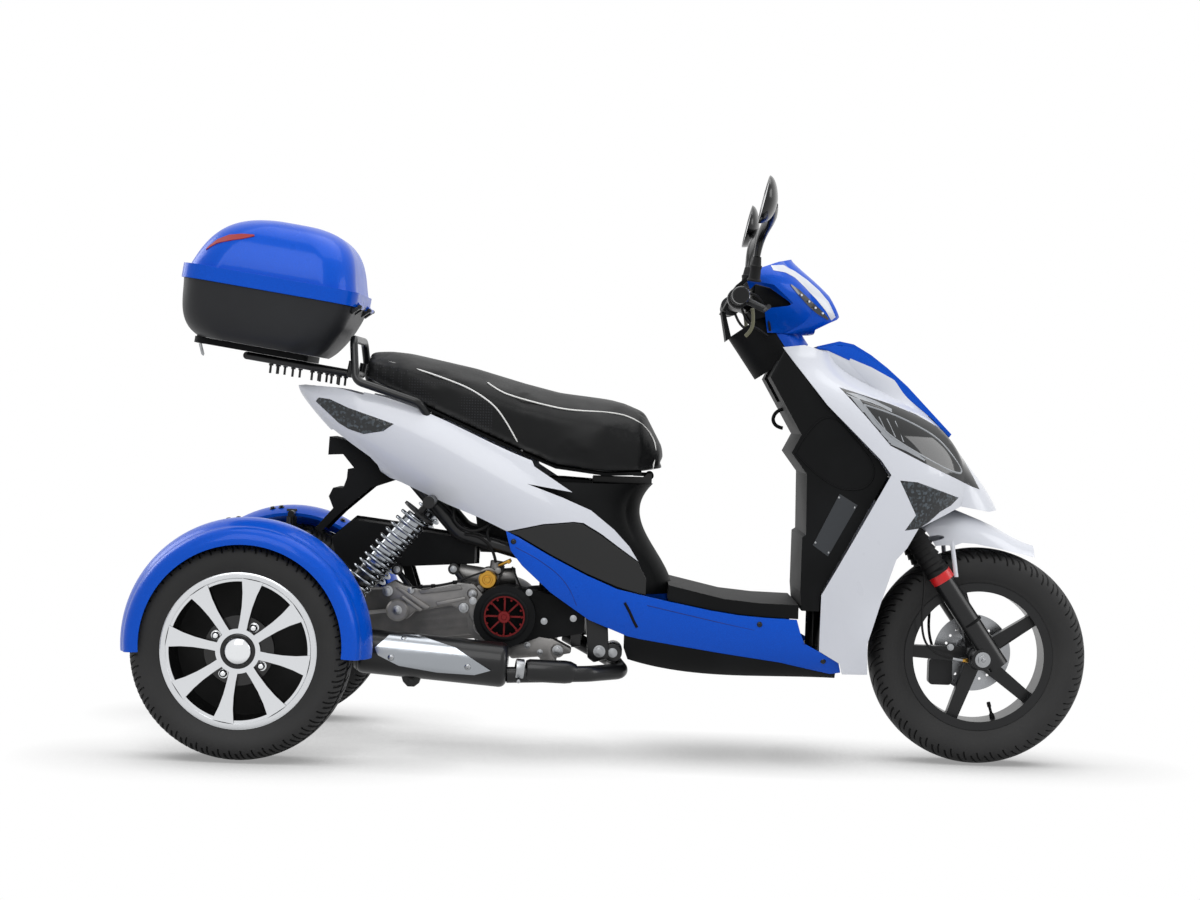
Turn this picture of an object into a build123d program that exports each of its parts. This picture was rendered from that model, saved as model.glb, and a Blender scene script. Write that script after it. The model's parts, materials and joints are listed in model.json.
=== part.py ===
"""Motor trike: a step-through scooter front on two driven rear wheels, in millimetres.

+X points forward, +Y to the rider's left and +Z up. The origin lies on the ground at the
centre of the overall box. Every share is a part of the size named beside it.
"""
import os
from math import asin, cos, degrees, radians, sin, sqrt

from build123d import *

# Wheels and axles
FRONT_AXLE_X = 787.0
REAR_AXLE_X = -773.0
FRONT_TYRE_R = 236.5
FRONT_TYRE_WIDTH = 118.0
REAR_TYRE_R = 228.0
REAR_TYRE_WIDTH = 140.0
REAR_TRACK = 710.0
BEAD_R = 152.4
RIM_FLANGE_R = 161.0
RIM_WALL = 5.0
FIT = 0.05            # running clearance of a shaft in its bore
SEAM = 0.4            # gap between two panels or between a soft part and its seat
CUT = 2.0             # overrun of a cutting tool

# Steering
RAKE = 35.0           # steering axis from the vertical, in degrees
AXLE_LEAD = 7.7       # axle ahead of the steering axis, square to it
LEG_LEAD = 30.0       # fork legs ahead of the steering axis, square to it
LEG_SPREAD = 90.0     # each fork leg from the centre plane
STEM_R = 15.0
HEAD_TUBE_R = 24.0
HEAD_LOW = 470.0      # lower end of the head tube, along the axis from the axle's foot
HEAD_LENGTH = 170.0
STEM_LENGTH = 905.0   # top of the stem, along the axis from the axle's foot
LEG_R = 17.5
SLIDER_R = 23.0
SLIDER_LENGTH = 205.0
CLAMP_LEVEL = 424.0   # underside of the fork crown, along the axis
CLAMP_THICK = 30.0
FRONT_AXLE_R = 7.0
HUB_R = 27.0
FRONT_HUB_WIDTH = 96.0

# Floor and lower body
FLOOR_HALF = 182.0
LOWER_HALF = 190.0
PANEL_WALL = 3.5

# Chassis tubes
TUBE_R = 16.0
AXLE_TUBE_R = 30.0
HALF_SHAFT_R = 14.0
AXLE_TUBE_HALF = 268.0


def share(low, size, part):
    """Place that lies a share of a size away from a low end."""
    return low + size * part


def placed(rows, low, size):
    """Side-view points from rows of shares of a box: along its length, up its height."""
    return [(share(low[0], size[0], a), share(low[1], size[1], b)) for a, b in rows]


def side_slab(points, near, far):
    """Right-hand slab with a side-view outline, between two distances from the centre plane."""
    with BuildPart() as slab:
        with BuildSketch(Plane.XZ.offset(near)):
            with BuildLine():
                Polyline(*points, close=True)
            make_face()
        extrude(amount=far - near)
    return slab.part


def wide_slab(points, half):
    """Slab with a side-view outline that reaches equally far to both sides."""
    with BuildPart() as slab:
        with BuildSketch(Plane.XZ):
            with BuildLine():
                Polyline(*points, close=True)
            make_face()
        extrude(amount=half, both=True)
    return slab.part


def other_side(solid):
    """The same solid on the left-hand side."""
    return mirror(solid, about=Plane.XZ)


def plan_loft(rows, wall=0.0):
    """Loft level sections: height, back, back half width, waist, waist half width, shoulder,
    shoulder half width and nose. The wall draws every section inwards."""
    with BuildPart() as body:
        for level, back, wide, mid, mid_wide, turn, turn_wide, nose in rows:
            with BuildSketch(Plane.XY.offset(level)):
                with BuildLine():
                    Line((back - wall, wide - wall), (back - wall, wall - wide))
                    ThreePointArc((back - wall, wall - wide), (mid, wall - mid_wide), (turn, wall - turn_wide))
                    ThreePointArc((turn, wall - turn_wide), (nose - wall, 0), (turn, turn_wide - wall))
                    ThreePointArc((turn, turn_wide - wall), (mid, mid_wide - wall), (back - wall, wide - wall))
                make_face()
        loft()
    return body.part


def cross_loft(rows, wall=0.0, foot_wall=0.0):
    """Loft upright sections: place, top, top half width, waist, waist half width, foot and
    foot half width. The walls draw every section inwards."""
    with BuildPart() as body:
        for place, top, top_wide, mid, mid_wide, foot, foot_wide in rows:
            low = foot + foot_wall if foot_wall else foot - wall
            high = top + wall
            with BuildSketch(Plane.YZ.offset(place)):
                with BuildLine():
                    Line((top_wide - wall, high), (wall - top_wide, high))
                    ThreePointArc((wall - top_wide, high), (wall - mid_wide, mid), (wall - foot_wide, low))
                    Line((wall - foot_wide, low), (foot_wide - wall, low))
                    ThreePointArc((foot_wide - wall, low), (mid_wide - wall, mid), (top_wide - wall, high))
                make_face()
        loft()
    return body.part


def stations(rows, low, size):
    """Rows of shares turned into sizes: each column follows its own low end and size."""
    return [[share(a, b, part) for a, b, part in zip(low, size, row)] for row in rows]


def rod(start, end, radius, mode=Mode.ADD):
    """Round bar between two points, added to the part in hand or cut from it."""
    run = Vector(*end) - Vector(*start)
    with Locations(Plane(origin=start, z_dir=run)):
        Cylinder(radius, run.length, align=(Align.CENTER, Align.CENTER, Align.MIN), mode=mode)


def bent_tube(points, radius, bend):
    """Tube of straight runs with equal bends, as a solid of its own."""
    with BuildPart() as tube:
        with BuildLine() as route:
            FilletPolyline(*points, radius=bend)
        with BuildSketch(Plane(origin=route.line @ 0, z_dir=route.line % 0)):
            Circle(radius)
        sweep()
    return tube.part


def axis_point(along, lead=0.0, side=0.0):
    """Point at a distance up the steering axis, ahead of it and to the left of it."""
    foot_x = FRONT_AXLE_X - AXLE_LEAD * cos(radians(RAKE))
    foot_z = FRONT_TYRE_R - AXLE_LEAD * sin(radians(RAKE))
    return (foot_x - along * sin(radians(RAKE)) + lead * cos(radians(RAKE)), side,
            foot_z + along * cos(radians(RAKE)) + lead * sin(radians(RAKE)))


UP_AXIS = (-sin(radians(RAKE)), 0, cos(radians(RAKE)))
LEAD_AXIS = (cos(radians(RAKE)), 0, sin(radians(RAKE)))
os.makedirs("parts", exist_ok=True)
pieces = {}

# Tyres: a rounded tread over two bulging walls, seated on the bead
TREAD_SHARE = 0.56        # flat-looking part of the tread, of the tyre's width
SHOULDER_SHARE = 0.60     # shoulder's height above the bead, of the wall's height
BEAD_SHARE = 0.70         # width across the beads, of the tyre's width


def tyre(radius, width, centre_x, centre_y, crown):
    """Tyre that turns about a level axle, with its crown rounded by the given drop."""
    half = width / 2
    wall = radius - BEAD_R
    bead = half * BEAD_SHARE
    lip = RIM_FLANGE_R + SEAM
    shoulder = (centre_y + half, BEAD_R + wall * SHOULDER_SHARE)
    tread = (centre_y + half * TREAD_SHARE, radius - crown)
    with BuildPart() as body:
        with BuildSketch(Plane.YZ.offset(centre_x)):
            with BuildLine():
                Line((centre_y - bead, radius + BEAD_R), (centre_y + bead, radius + BEAD_R))
                Line((centre_y + bead, radius + BEAD_R), (centre_y + bead, radius + lip))
                Line((centre_y + bead, radius + lip), (shoulder[0], radius + shoulder[1]))
                Line((shoulder[0], radius + shoulder[1]), (tread[0], radius + tread[1]))
                ThreePointArc((tread[0], radius + tread[1]), (centre_y, radius + radius),
                              (centre_y - half * TREAD_SHARE, radius + tread[1]))
                Line((centre_y - half * TREAD_SHARE, radius + tread[1]),
                     (centre_y - half, radius + shoulder[1]))
                Line((centre_y - half, radius + shoulder[1]), (centre_y - bead, radius + lip))
                Line((centre_y - bead, radius + lip), (centre_y - bead, radius + BEAD_R))
            make_face()
        revolve(axis=Axis((centre_x, 0, radius), (0, 1, 0)))
    return body.part


FRONT_CROWN = 20.0
REAR_CROWN = 9.0
SPOKE_THICK = 24.0


def rim_ring(radius, width, centre_x, centre_y):
    """Rim barrel with a flange at each side, under the tyre's beads."""
    half = width * BEAD_SHARE / 2
    deep = BEAD_R - RIM_WALL - RIM_WALL
    with BuildPart() as ring:
        with BuildSketch(Plane.YZ.offset(centre_x)):
            with BuildLine():
                Polyline((centre_y - half - RIM_WALL, radius + RIM_FLANGE_R),
                         (centre_y - half - SEAM, radius + RIM_FLANGE_R),
                         (centre_y - half - SEAM, radius + BEAD_R - SEAM),
                         (centre_y + half + SEAM, radius + BEAD_R - SEAM),
                         (centre_y + half + SEAM, radius + RIM_FLANGE_R),
                         (centre_y + half + RIM_WALL, radius + RIM_FLANGE_R),
                         (centre_y + half + RIM_WALL, radius + deep),
                         (centre_y - half - RIM_WALL, radius + deep), close=True)
            make_face()
        revolve(axis=Axis((centre_x, 0, radius), (0, 1, 0)))
    return ring.part


def axle_plane(centre_x, radius, place):
    """Sketch plane square to a level axle, seen from the right."""
    return Plane(origin=(centre_x, place, radius), x_dir=(1, 0, 0), z_dir=(0, -1, 0))


# Front wheel
FRONT_SPOKES = 5
FRONT_SPOKE_TURN = 34.0
FRONT_SPOKE_ROOT = 34.0
FRONT_SPOKE_TIP = 26.0
FRONT_SPOKE_THICK = 26.0
DISC_R = 85.0
DISC_HOLE_R = 36.0
DISC_THICK = 4.0
DISC_SIDE = 56.0
DISC_SLOTS = 20
DISC_SLOT_R = 3.0

pieces["front_tyre"] = tyre(FRONT_TYRE_R, FRONT_TYRE_WIDTH, FRONT_AXLE_X, 0, FRONT_CROWN)

with BuildPart() as front_rim:
    add(rim_ring(FRONT_TYRE_R, FRONT_TYRE_WIDTH, FRONT_AXLE_X, 0))
    with BuildSketch(axle_plane(FRONT_AXLE_X, FRONT_TYRE_R, FRONT_SPOKE_THICK / 2)) as front_spokes:
        with PolarLocations(0, FRONT_SPOKES, start_angle=FRONT_SPOKE_TURN):
            Polygon((0, -FRONT_SPOKE_ROOT / 2), (BEAD_R - RIM_WALL, -FRONT_SPOKE_TIP / 2),
                    (BEAD_R - RIM_WALL, FRONT_SPOKE_TIP / 2), (0, FRONT_SPOKE_ROOT / 2), align=None)
    extrude(amount=FRONT_SPOKE_THICK)
    with BuildSketch(axle_plane(FRONT_AXLE_X, FRONT_TYRE_R, FRONT_HUB_WIDTH / 2)):
        Circle(HUB_R)
    extrude(amount=FRONT_HUB_WIDTH)
    with BuildSketch(axle_plane(FRONT_AXLE_X, FRONT_TYRE_R, FRONT_HUB_WIDTH)):
        Circle(FRONT_AXLE_R + FIT)
    extrude(amount=FRONT_HUB_WIDTH * 2, mode=Mode.SUBTRACT)
pieces["front_rim"] = front_rim.part

with BuildPart() as front_disc:
    with BuildSketch(axle_plane(FRONT_AXLE_X, FRONT_TYRE_R, DISC_SIDE + DISC_THICK)):
        Circle(DISC_R)
        Circle(DISC_HOLE_R, mode=Mode.SUBTRACT)
        with PolarLocations((DISC_R + DISC_HOLE_R) / 2, DISC_SLOTS):
            Circle(DISC_SLOT_R, mode=Mode.SUBTRACT)
    extrude(amount=DISC_THICK)
    with BuildSketch(axle_plane(FRONT_AXLE_X, FRONT_TYRE_R, DISC_SIDE)):
        Circle(DISC_HOLE_R + DISC_THICK)
        Circle(FRONT_AXLE_R * 2, mode=Mode.SUBTRACT)
    extrude(amount=DISC_SIDE - FRONT_HUB_WIDTH / 2 - SEAM)
pieces["front_disc"] = front_disc.part

# Rear wheels
REAR_SPOKES = 8
REAR_SPOKE_TURN = 10.0
REAR_FACE_INSET = 12.0     # spoke face behind the tyre's outer face
REAR_BOSS_R = 46.0
REAR_FLANGE_R = 72.0       # lug flange, set back behind the spokes
REAR_FLANGE_SET = 16.0
REAR_HUB_DEPTH = 34.0
REAR_SPOKE_WIDTH = 44.0
# Columns: place along the rim's radius, half width as a share of the widest
REAR_SPOKE_SHARES = [(0.15, 0.20), (0.42, 0.20), (0.62, 0.24), (0.80, 0.33), (0.93, 0.44), (1.0, 0.5)]
LUG_PCD = 112.0
LUG_COUNT = 4
LUG_R = 6.5
LUG_TURN = 32.0
SHAFT_DEPTH = 190.0


def rear_spoke_outline():
    """Outline of one spoke along +X: slim at the boss, flared where it meets the rim."""
    reach = BEAD_R - RIM_WALL
    upper = [(reach * along, REAR_SPOKE_WIDTH * half) for along, half in REAR_SPOKE_SHARES]
    return upper + [(along, -half) for along, half in reversed(upper)]


def rear_rim(side):
    """Rear rim, dished hub, flared spokes and the half shaft that they are bolted to."""
    centre = side * REAR_TRACK / 2
    face = side * (REAR_TRACK / 2 + REAR_TYRE_WIDTH / 2 - REAR_FACE_INSET)
    inward = side * -1
    with BuildPart() as rim:
        add(rim_ring(REAR_TYRE_R, REAR_TYRE_WIDTH, REAR_AXLE_X, centre))
        with BuildSketch(Plane(origin=(REAR_AXLE_X, face, REAR_TYRE_R), x_dir=(1, 0, 0),
                               z_dir=(0, inward, 0))):
            with PolarLocations(0, REAR_SPOKES, start_angle=REAR_SPOKE_TURN):
                Polygon(*rear_spoke_outline(), align=None)
            Circle(REAR_BOSS_R)
        extrude(amount=SPOKE_THICK)
        with BuildSketch(Plane(origin=(REAR_AXLE_X, face + inward * REAR_FLANGE_SET, REAR_TYRE_R), x_dir=(1, 0, 0),
                               z_dir=(0, inward, 0))):
            Circle(REAR_FLANGE_R)
            with PolarLocations(LUG_PCD / 2, LUG_COUNT, start_angle=LUG_TURN):
                Circle(LUG_R, mode=Mode.SUBTRACT)
        extrude(amount=SPOKE_THICK - REAR_FLANGE_SET / 2)
        with BuildSketch(Plane(origin=(REAR_AXLE_X, face, REAR_TYRE_R), x_dir=(1, 0, 0),
                               z_dir=(0, inward, 0))):
            Circle(HALF_SHAFT_R)
        extrude(amount=SHAFT_DEPTH)
        with BuildSketch(Plane(origin=(REAR_AXLE_X, face, REAR_TYRE_R), x_dir=(1, 0, 0),
                               z_dir=(0, inward, 0))):
            Circle(REAR_BOSS_R)
        extrude(amount=SPOKE_THICK + REAR_HUB_DEPTH)
    return rim.part


for side, word in ((-1, "right"), (1, "left")):
    pieces[f"rear_tyre_{word}"] = tyre(REAR_TYRE_R, REAR_TYRE_WIDTH, REAR_AXLE_X,
                                       side * REAR_TRACK / 2, REAR_CROWN)
    pieces[f"rear_rim_{word}"] = rear_rim(side)

# Rear axle: tube, final drive and the arms that take the spring units
SPRING_TOP = (-409.0, 538.0)
SPRING_FOOT = (-612.0, 292.0)
SPRING_SIDE = 215.0
EYE_R = 13.0
DAMPER_R = 20.0
SPRING_ARM_SIDE = 182.0
SPRING_ARM_R = 9.0
DIFF_R = 92.0
DIFF_HALF = 62.0

with BuildPart() as axle_carrier:
    with BuildSketch(Plane.YZ.offset(REAR_AXLE_X)):
        with BuildLine():
            Polyline((-AXLE_TUBE_HALF, REAR_TYRE_R), (-AXLE_TUBE_HALF, REAR_TYRE_R + AXLE_TUBE_R),
                     (-DIFF_HALF * 2, REAR_TYRE_R + AXLE_TUBE_R), (-DIFF_HALF, REAR_TYRE_R + DIFF_R),
                     (DIFF_HALF, REAR_TYRE_R + DIFF_R), (DIFF_HALF * 2, REAR_TYRE_R + AXLE_TUBE_R),
                     (AXLE_TUBE_HALF, REAR_TYRE_R + AXLE_TUBE_R), (AXLE_TUBE_HALF, REAR_TYRE_R), close=True)
        make_face()
    revolve(axis=Axis((REAR_AXLE_X, 0, REAR_TYRE_R), (0, 1, 0)))
    for side in (-1, 1):
        with Locations((REAR_AXLE_X, side * AXLE_TUBE_HALF, REAR_TYRE_R)):
            Cylinder(HALF_SHAFT_R + FIT, SHAFT_DEPTH, rotation=(90, 0, 0), mode=Mode.SUBTRACT)
        rod((REAR_AXLE_X + AXLE_TUBE_R / 2, side * SPRING_ARM_SIDE, REAR_TYRE_R + SPRING_ARM_R),
            (SPRING_FOOT[0], side * SPRING_ARM_SIDE, SPRING_FOOT[1]), SPRING_ARM_R)
        rod((SPRING_FOOT[0], side * (SPRING_ARM_SIDE - SPRING_ARM_R), SPRING_FOOT[1]),
            (SPRING_FOOT[0], side * (SPRING_SIDE - DAMPER_R - SEAM), SPRING_FOOT[1]), SPRING_ARM_R)
        rod((REAR_AXLE_X, side * (AXLE_TUBE_HALF - SHAFT_DEPTH / 2), REAR_TYRE_R),
            (REAR_AXLE_X, side * AXLE_TUBE_HALF, REAR_TYRE_R), HALF_SHAFT_R + FIT, Mode.SUBTRACT)
pieces["axle_carrier"] = axle_carrier.part

# Steering: fork, crown, stem and front axle
CROWN_HALF = 112.0
CROWN_DEPTH = 62.0
AXLE_HALF = 122.0
LEG_FOOT = -34.0         # lower end of the sliders along the axis

with BuildPart() as fork:
    rod(axis_point(CLAMP_LEVEL), axis_point(STEM_LENGTH), STEM_R)
    with BuildSketch(Plane(origin=axis_point(CLAMP_LEVEL), x_dir=(0, 1, 0), z_dir=UP_AXIS)):
        RectangleRounded(CROWN_HALF * 2, CROWN_DEPTH, CROWN_DEPTH / 3)
    extrude(amount=CLAMP_THICK)
    for side in (-1, 1):
        rod(axis_point(SLIDER_LENGTH - SLIDER_R, LEG_LEAD, side * LEG_SPREAD),
            axis_point(CLAMP_LEVEL + CLAMP_THICK / 2, LEG_LEAD, side * LEG_SPREAD), LEG_R)
        rod(axis_point(LEG_FOOT, LEG_LEAD, side * LEG_SPREAD),
            axis_point(SLIDER_LENGTH, LEG_LEAD, side * LEG_SPREAD), SLIDER_R)
        rod(axis_point(0, AXLE_LEAD, side * (LEG_SPREAD - SLIDER_R / 2)),
            axis_point(0, AXLE_LEAD, side * (LEG_SPREAD + SLIDER_R)), SLIDER_R)
    rod(axis_point(0, AXLE_LEAD, -AXLE_HALF), axis_point(0, AXLE_LEAD, AXLE_HALF), FRONT_AXLE_R)
pieces["fork"] = fork.part

# Rubber gaiters over the upper legs: a stack of pleats
GAITER_R = 27.0
GAITER_LOW = SLIDER_LENGTH + SEAM
PLEATS = 9
PLEAT_PITCH = 13.0
PLEAT_DEPTH = 4.0

with BuildPart() as gaiters:
    for side in (-1, 1):
        for pleat in range(PLEATS):
            low = GAITER_LOW + pleat * PLEAT_PITCH
            with Locations(Plane(origin=axis_point(low, LEG_LEAD, side * LEG_SPREAD), z_dir=UP_AXIS)):
                Cone(GAITER_R, GAITER_R - PLEAT_DEPTH, PLEAT_PITCH,
                     align=(Align.CENTER, Align.CENTER, Align.MIN))
        with Locations(Plane(origin=axis_point(GAITER_LOW, LEG_LEAD, side * LEG_SPREAD), z_dir=UP_AXIS)):
            Cylinder(LEG_R + SEAM, PLEATS * PLEAT_PITCH * 2, mode=Mode.SUBTRACT)
pieces["fork_gaiters"] = gaiters.part

# Front fender: a peaked blade over the tyre, carried by the fork
FENDER_LOW = (655.0, 450.0)
FENDER_SIZE = (275.0, 105.0)
FENDER_HALF = 84.0
FENDER_WALL = 4.0
FENDER_SHARES = [(0.0, 0.62), (0.17, 0.98), (0.26, 1.0), (0.47, 0.79), (0.76, 0.48), (0.92, 0.29),
                 (1.0, 0.05), (0.90, 0.07), (0.62, 0.23), (0.40, 0.33), (0.30, 0.34), (0.12, 0.14)]
FENDER_PLAN_SHARES = [(0.0, 1.0), (0.5, 0.95), (0.9, 0.5), (1.0, 0.12)]
FENDER_PEAK = 26.0
STAY_R = 5.0
STAY_LOW = 178.0
STAY_TOP = (716.0, 79.5, 488.0)


def fender_section(shift):
    """Stations of the front fender: place, top, top half width, waist, foot, drawn in by a wall."""
    rows = []
    for along, top, wide in ((0.0, 0.92, 1.0), (0.26, 1.0, 0.98), (0.60, 0.64, 0.80), (0.90, 0.30, 0.42)):
        peak = share(FENDER_LOW[1], FENDER_SIZE[1], top) - shift
        half = FENDER_HALF * wide - shift
        rows.append((share(FENDER_LOW[0], FENDER_SIZE[0], along), peak, half * 0.3,
                     peak - FENDER_PEAK / 2, half * 0.8, peak - FENDER_PEAK * 3, half))
    return rows


with BuildPart() as front_fender:
    add(cross_loft(fender_section(0)))
    add(cross_loft(fender_section(FENDER_WALL)), mode=Mode.SUBTRACT)
    add(wide_slab(placed(FENDER_SHARES, FENDER_LOW, FENDER_SIZE), FENDER_HALF), mode=Mode.INTERSECT)
    for side in (-1, 1):
        rod(axis_point(STAY_LOW, LEG_LEAD + SLIDER_R + STAY_R + SEAM, side * LEG_SPREAD),
            (STAY_TOP[0], side * STAY_TOP[1], STAY_TOP[2]), STAY_R)
pieces["front_fender"] = front_fender.part

# Brake caliper on the left leg
CALIPER_SIZE = (52.0, 34.0, 58.0)
CALIPER_PLACE = (-70.0, -44.0)     # behind and below the axle
CALIPER_ARM_R = 9.0

with BuildPart() as caliper:
    with Locations((FRONT_AXLE_X + CALIPER_PLACE[0], DISC_SIDE + DISC_THICK / 2,
                    FRONT_TYRE_R + CALIPER_PLACE[1])):
        Box(*CALIPER_SIZE)
    fillet(caliper.edges().filter_by(Axis.Y), CALIPER_ARM_R)
    with Locations((FRONT_AXLE_X + CALIPER_PLACE[0] + CALIPER_SIZE[0] / 2, DISC_SIDE + DISC_THICK / 2,
                    FRONT_TYRE_R + CALIPER_PLACE[1])):
        Box(CALIPER_SIZE[0] * 1.6, DISC_THICK * 2, CALIPER_SIZE[2] * 2, mode=Mode.SUBTRACT)
    rod((FRONT_AXLE_X + CALIPER_PLACE[0], LEG_SPREAD - CALIPER_ARM_R, FRONT_TYRE_R + CALIPER_PLACE[1]),
        axis_point(0, AXLE_LEAD - SLIDER_R - SEAM * 2, LEG_SPREAD), CALIPER_ARM_R)
pieces["front_caliper"] = caliper.part

# Handlebar, grips, levers and mirrors
BAR_R = 11.0
GRIP_R = 16.0
GRIP_PLACE = (229.0, 992.0)
GRIP_INNER = 205.0
GRIP_OUTER = 340.0
BAR_BEND = 40.0
BAR_KNEE = 70.0
BAR_SHOULDER = 165.0
SWITCH_R = 22.0
SWITCH_LENGTH = 38.0
LEVER_R = 5.0
LEVER_REACH = 58.0
MIRROR_BASE = (268.0, 200.0, 1036.0)
MIRROR_STEM_R = 5.5
MIRROR_SIDE = 360.0
MIRROR_LOW = (259.0, 1139.0)
MIRROR_HIGH = (280.0, 1238.0)
MIRROR_WIDTH = 150.0
MIRROR_DEPTH = 30.0
GLASS_THICK = 3.0
GLASS_RIM = 6.0

BAR_CENTRE = axis_point(STEM_LENGTH + BAR_R + SEAM)
BAR_HALF_ROUTE = [(GRIP_PLACE[0], GRIP_OUTER, GRIP_PLACE[1]), (GRIP_PLACE[0], BAR_SHOULDER, GRIP_PLACE[1]),
                  (BAR_CENTRE[0], BAR_KNEE, BAR_CENTRE[2])]

with BuildPart() as handlebar:
    add(bent_tube(BAR_HALF_ROUTE + [(x, -y, z) for x, y, z in reversed(BAR_HALF_ROUTE)], BAR_R, BAR_BEND))
pieces["handlebar"] = handlebar.part

with BuildPart() as grips:
    for side in (-1, 1):
        rod((GRIP_PLACE[0], side * GRIP_INNER, GRIP_PLACE[1]),
            (GRIP_PLACE[0], side * (GRIP_OUTER + LEVER_R), GRIP_PLACE[1]), GRIP_R)
        with Locations(Plane(origin=(GRIP_PLACE[0], side * GRIP_INNER, GRIP_PLACE[1]),
                             z_dir=(0, side, 0))):
            Cylinder(BAR_R + SEAM, (GRIP_OUTER - GRIP_INNER) * 2, mode=Mode.SUBTRACT)
        rod((GRIP_PLACE[0], side * (GRIP_OUTER + SEAM), GRIP_PLACE[1]),
            (GRIP_PLACE[0], side * (GRIP_OUTER + LEVER_R), GRIP_PLACE[1]), BAR_R * 1.2)
pieces["grips"] = grips.part

with BuildPart() as controls:
    for side in (-1, 1):
        inner = (GRIP_PLACE[0], side * (GRIP_INNER - SWITCH_LENGTH), GRIP_PLACE[1])
        rod(inner, (GRIP_PLACE[0], side * (GRIP_INNER - SEAM), GRIP_PLACE[1]), SWITCH_R)
        rod((inner[0] + SWITCH_R / 2, inner[1] + side * SWITCH_LENGTH / 2, inner[2]),
            (inner[0] + LEVER_REACH, side * GRIP_INNER, inner[2] - SWITCH_R), LEVER_R * 1.5)
        rod((inner[0] + LEVER_REACH, side * (GRIP_INNER - SWITCH_R), inner[2] - SWITCH_R),
            (inner[0] + LEVER_REACH, side * GRIP_OUTER, inner[2] - SWITCH_R), LEVER_R)
        with Locations(Plane(origin=inner, z_dir=(0, side, 0))):
            Cylinder(BAR_R + SEAM, SWITCH_LENGTH * 3, mode=Mode.SUBTRACT)
pieces["brake_levers"] = controls.part

MIRROR_TILT = degrees(asin((MIRROR_HIGH[0] - MIRROR_LOW[0]) / (MIRROR_HIGH[1] - MIRROR_LOW[1])))
MIRROR_HEIGHT = sqrt((MIRROR_HIGH[0] - MIRROR_LOW[0]) ** 2 + (MIRROR_HIGH[1] - MIRROR_LOW[1]) ** 2)
MIRROR_MIDDLE = ((MIRROR_HIGH[0] + MIRROR_LOW[0]) / 2, (MIRROR_HIGH[1] + MIRROR_LOW[1]) / 2)


def mirror_plane(side):
    """Plane of a mirror's glass: it faces back and leans forward at its top."""
    lean = radians(MIRROR_TILT)
    return Plane(origin=(MIRROR_MIDDLE[0], side * MIRROR_SIDE, MIRROR_MIDDLE[1]), x_dir=(0, -1, 0),
                 z_dir=(-cos(lean), 0, sin(lean)))


with BuildPart() as mirrors:
    for side in (-1, 1):
        glass_plane = mirror_plane(side)
        with BuildSketch(glass_plane):
            Ellipse(MIRROR_WIDTH / 2, MIRROR_HEIGHT / 2)
        with BuildSketch(glass_plane.offset(-MIRROR_DEPTH)):
            Ellipse(MIRROR_WIDTH / 4, MIRROR_HEIGHT / 4)
        loft()
        with BuildSketch(glass_plane):
            Ellipse(MIRROR_WIDTH / 2 - GLASS_RIM, MIRROR_HEIGHT / 2 - GLASS_RIM)
        extrude(amount=-GLASS_THICK, mode=Mode.SUBTRACT)
        root = (GRIP_PLACE[0], side * (GRIP_INNER - SWITCH_LENGTH / 2), GRIP_PLACE[1] + SWITCH_R + MIRROR_STEM_R * 0.95)
        foot = (MIRROR_BASE[0], side * MIRROR_BASE[1], MIRROR_BASE[2])
        knee = (MIRROR_BASE[0], side * (MIRROR_BASE[1] + MIRROR_DEPTH), MIRROR_BASE[2] + MIRROR_HEIGHT)
        head = (MIRROR_MIDDLE[0] + MIRROR_DEPTH * 0.8, side * MIRROR_SIDE, MIRROR_MIDDLE[1] - MIRROR_HEIGHT / 6)
        add(bent_tube([root, foot, knee, head], MIRROR_STEM_R, MIRROR_STEM_R * 2))
pieces["mirrors"] = mirrors.part

with BuildPart() as glasses:
    for side in (-1, 1):
        with BuildSketch(mirror_plane(side)):
            Ellipse(MIRROR_WIDTH / 2 - GLASS_RIM - SEAM, MIRROR_HEIGHT / 2 - GLASS_RIM - SEAM)
        extrude(amount=SEAM - GLASS_THICK)
pieces["mirror_glass"] = glasses.part

# Handlebar cowl: a shell on a round neck that turns inside the front cowl
NECK_R = 70.0
NECK_LOW = 772.0
NECK_TOP = 880.0
HEAD_LOW_CORNER = (190.0, 885.0)
HEAD_SIZE = (270.0, 205.0)
HEAD_HALF = 150.0
HEAD_WALL = 4.0
HEAD_ROWS = [(0.20, 0.05, 0.50, 0.35, 0.55, 0.55, 0.42, 0.78), (0.38, 0.05, 0.60, 0.40, 0.70, 0.74, 0.45, 1.0),
             (0.62, 0.08, 0.90, 0.35, 1.0, 0.74, 0.50, 0.92), (0.85, 0.12, 0.85, 0.35, 0.90, 0.60, 0.45, 0.72),
             (1.0, 0.25, 0.45, 0.40, 0.50, 0.52, 0.30, 0.60)]
HEAD_COLUMN_SIZES = [HEAD_SIZE[1], HEAD_SIZE[0], HEAD_HALF, HEAD_SIZE[0], HEAD_HALF, HEAD_SIZE[0],
                     HEAD_HALF, HEAD_SIZE[0]]
HEAD_COLUMN_LOWS = [HEAD_LOW_CORNER[1], HEAD_LOW_CORNER[0], 0, HEAD_LOW_CORNER[0], 0, HEAD_LOW_CORNER[0],
                    0, HEAD_LOW_CORNER[0]]
HEAD_SHARES = [(0.43, 0.06), (0.37, 0.45), (0.26, 0.83), (0.41, 0.91), (0.48, 0.95), (0.60, 1.0),
               (0.83, 0.72), (0.91, 0.62), (1.0, 0.40), (0.98, 0.37), (0.93, 0.34), (0.80, 0.25),
               (0.79, 0.06)]
OPENING_SHARES = [(0.26, 0.72), (0.43, 0.69), (0.60, 0.51), (0.56, 0.48), (0.36, 0.44), (0.0, 0.44), (0.0, 0.72)]
DASH_SHARES = [(0.04, 0.41), (0.14, 0.68), (0.245, 0.80), (0.26, 0.77), (0.165, 0.655), (0.065, 0.40)]
DASH_HALF = 112.0
APRON_SHARES = [(0.04, 0.42), (0.085, 0.10), (0.125, 0.14), (0.068, 0.42)]
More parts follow.
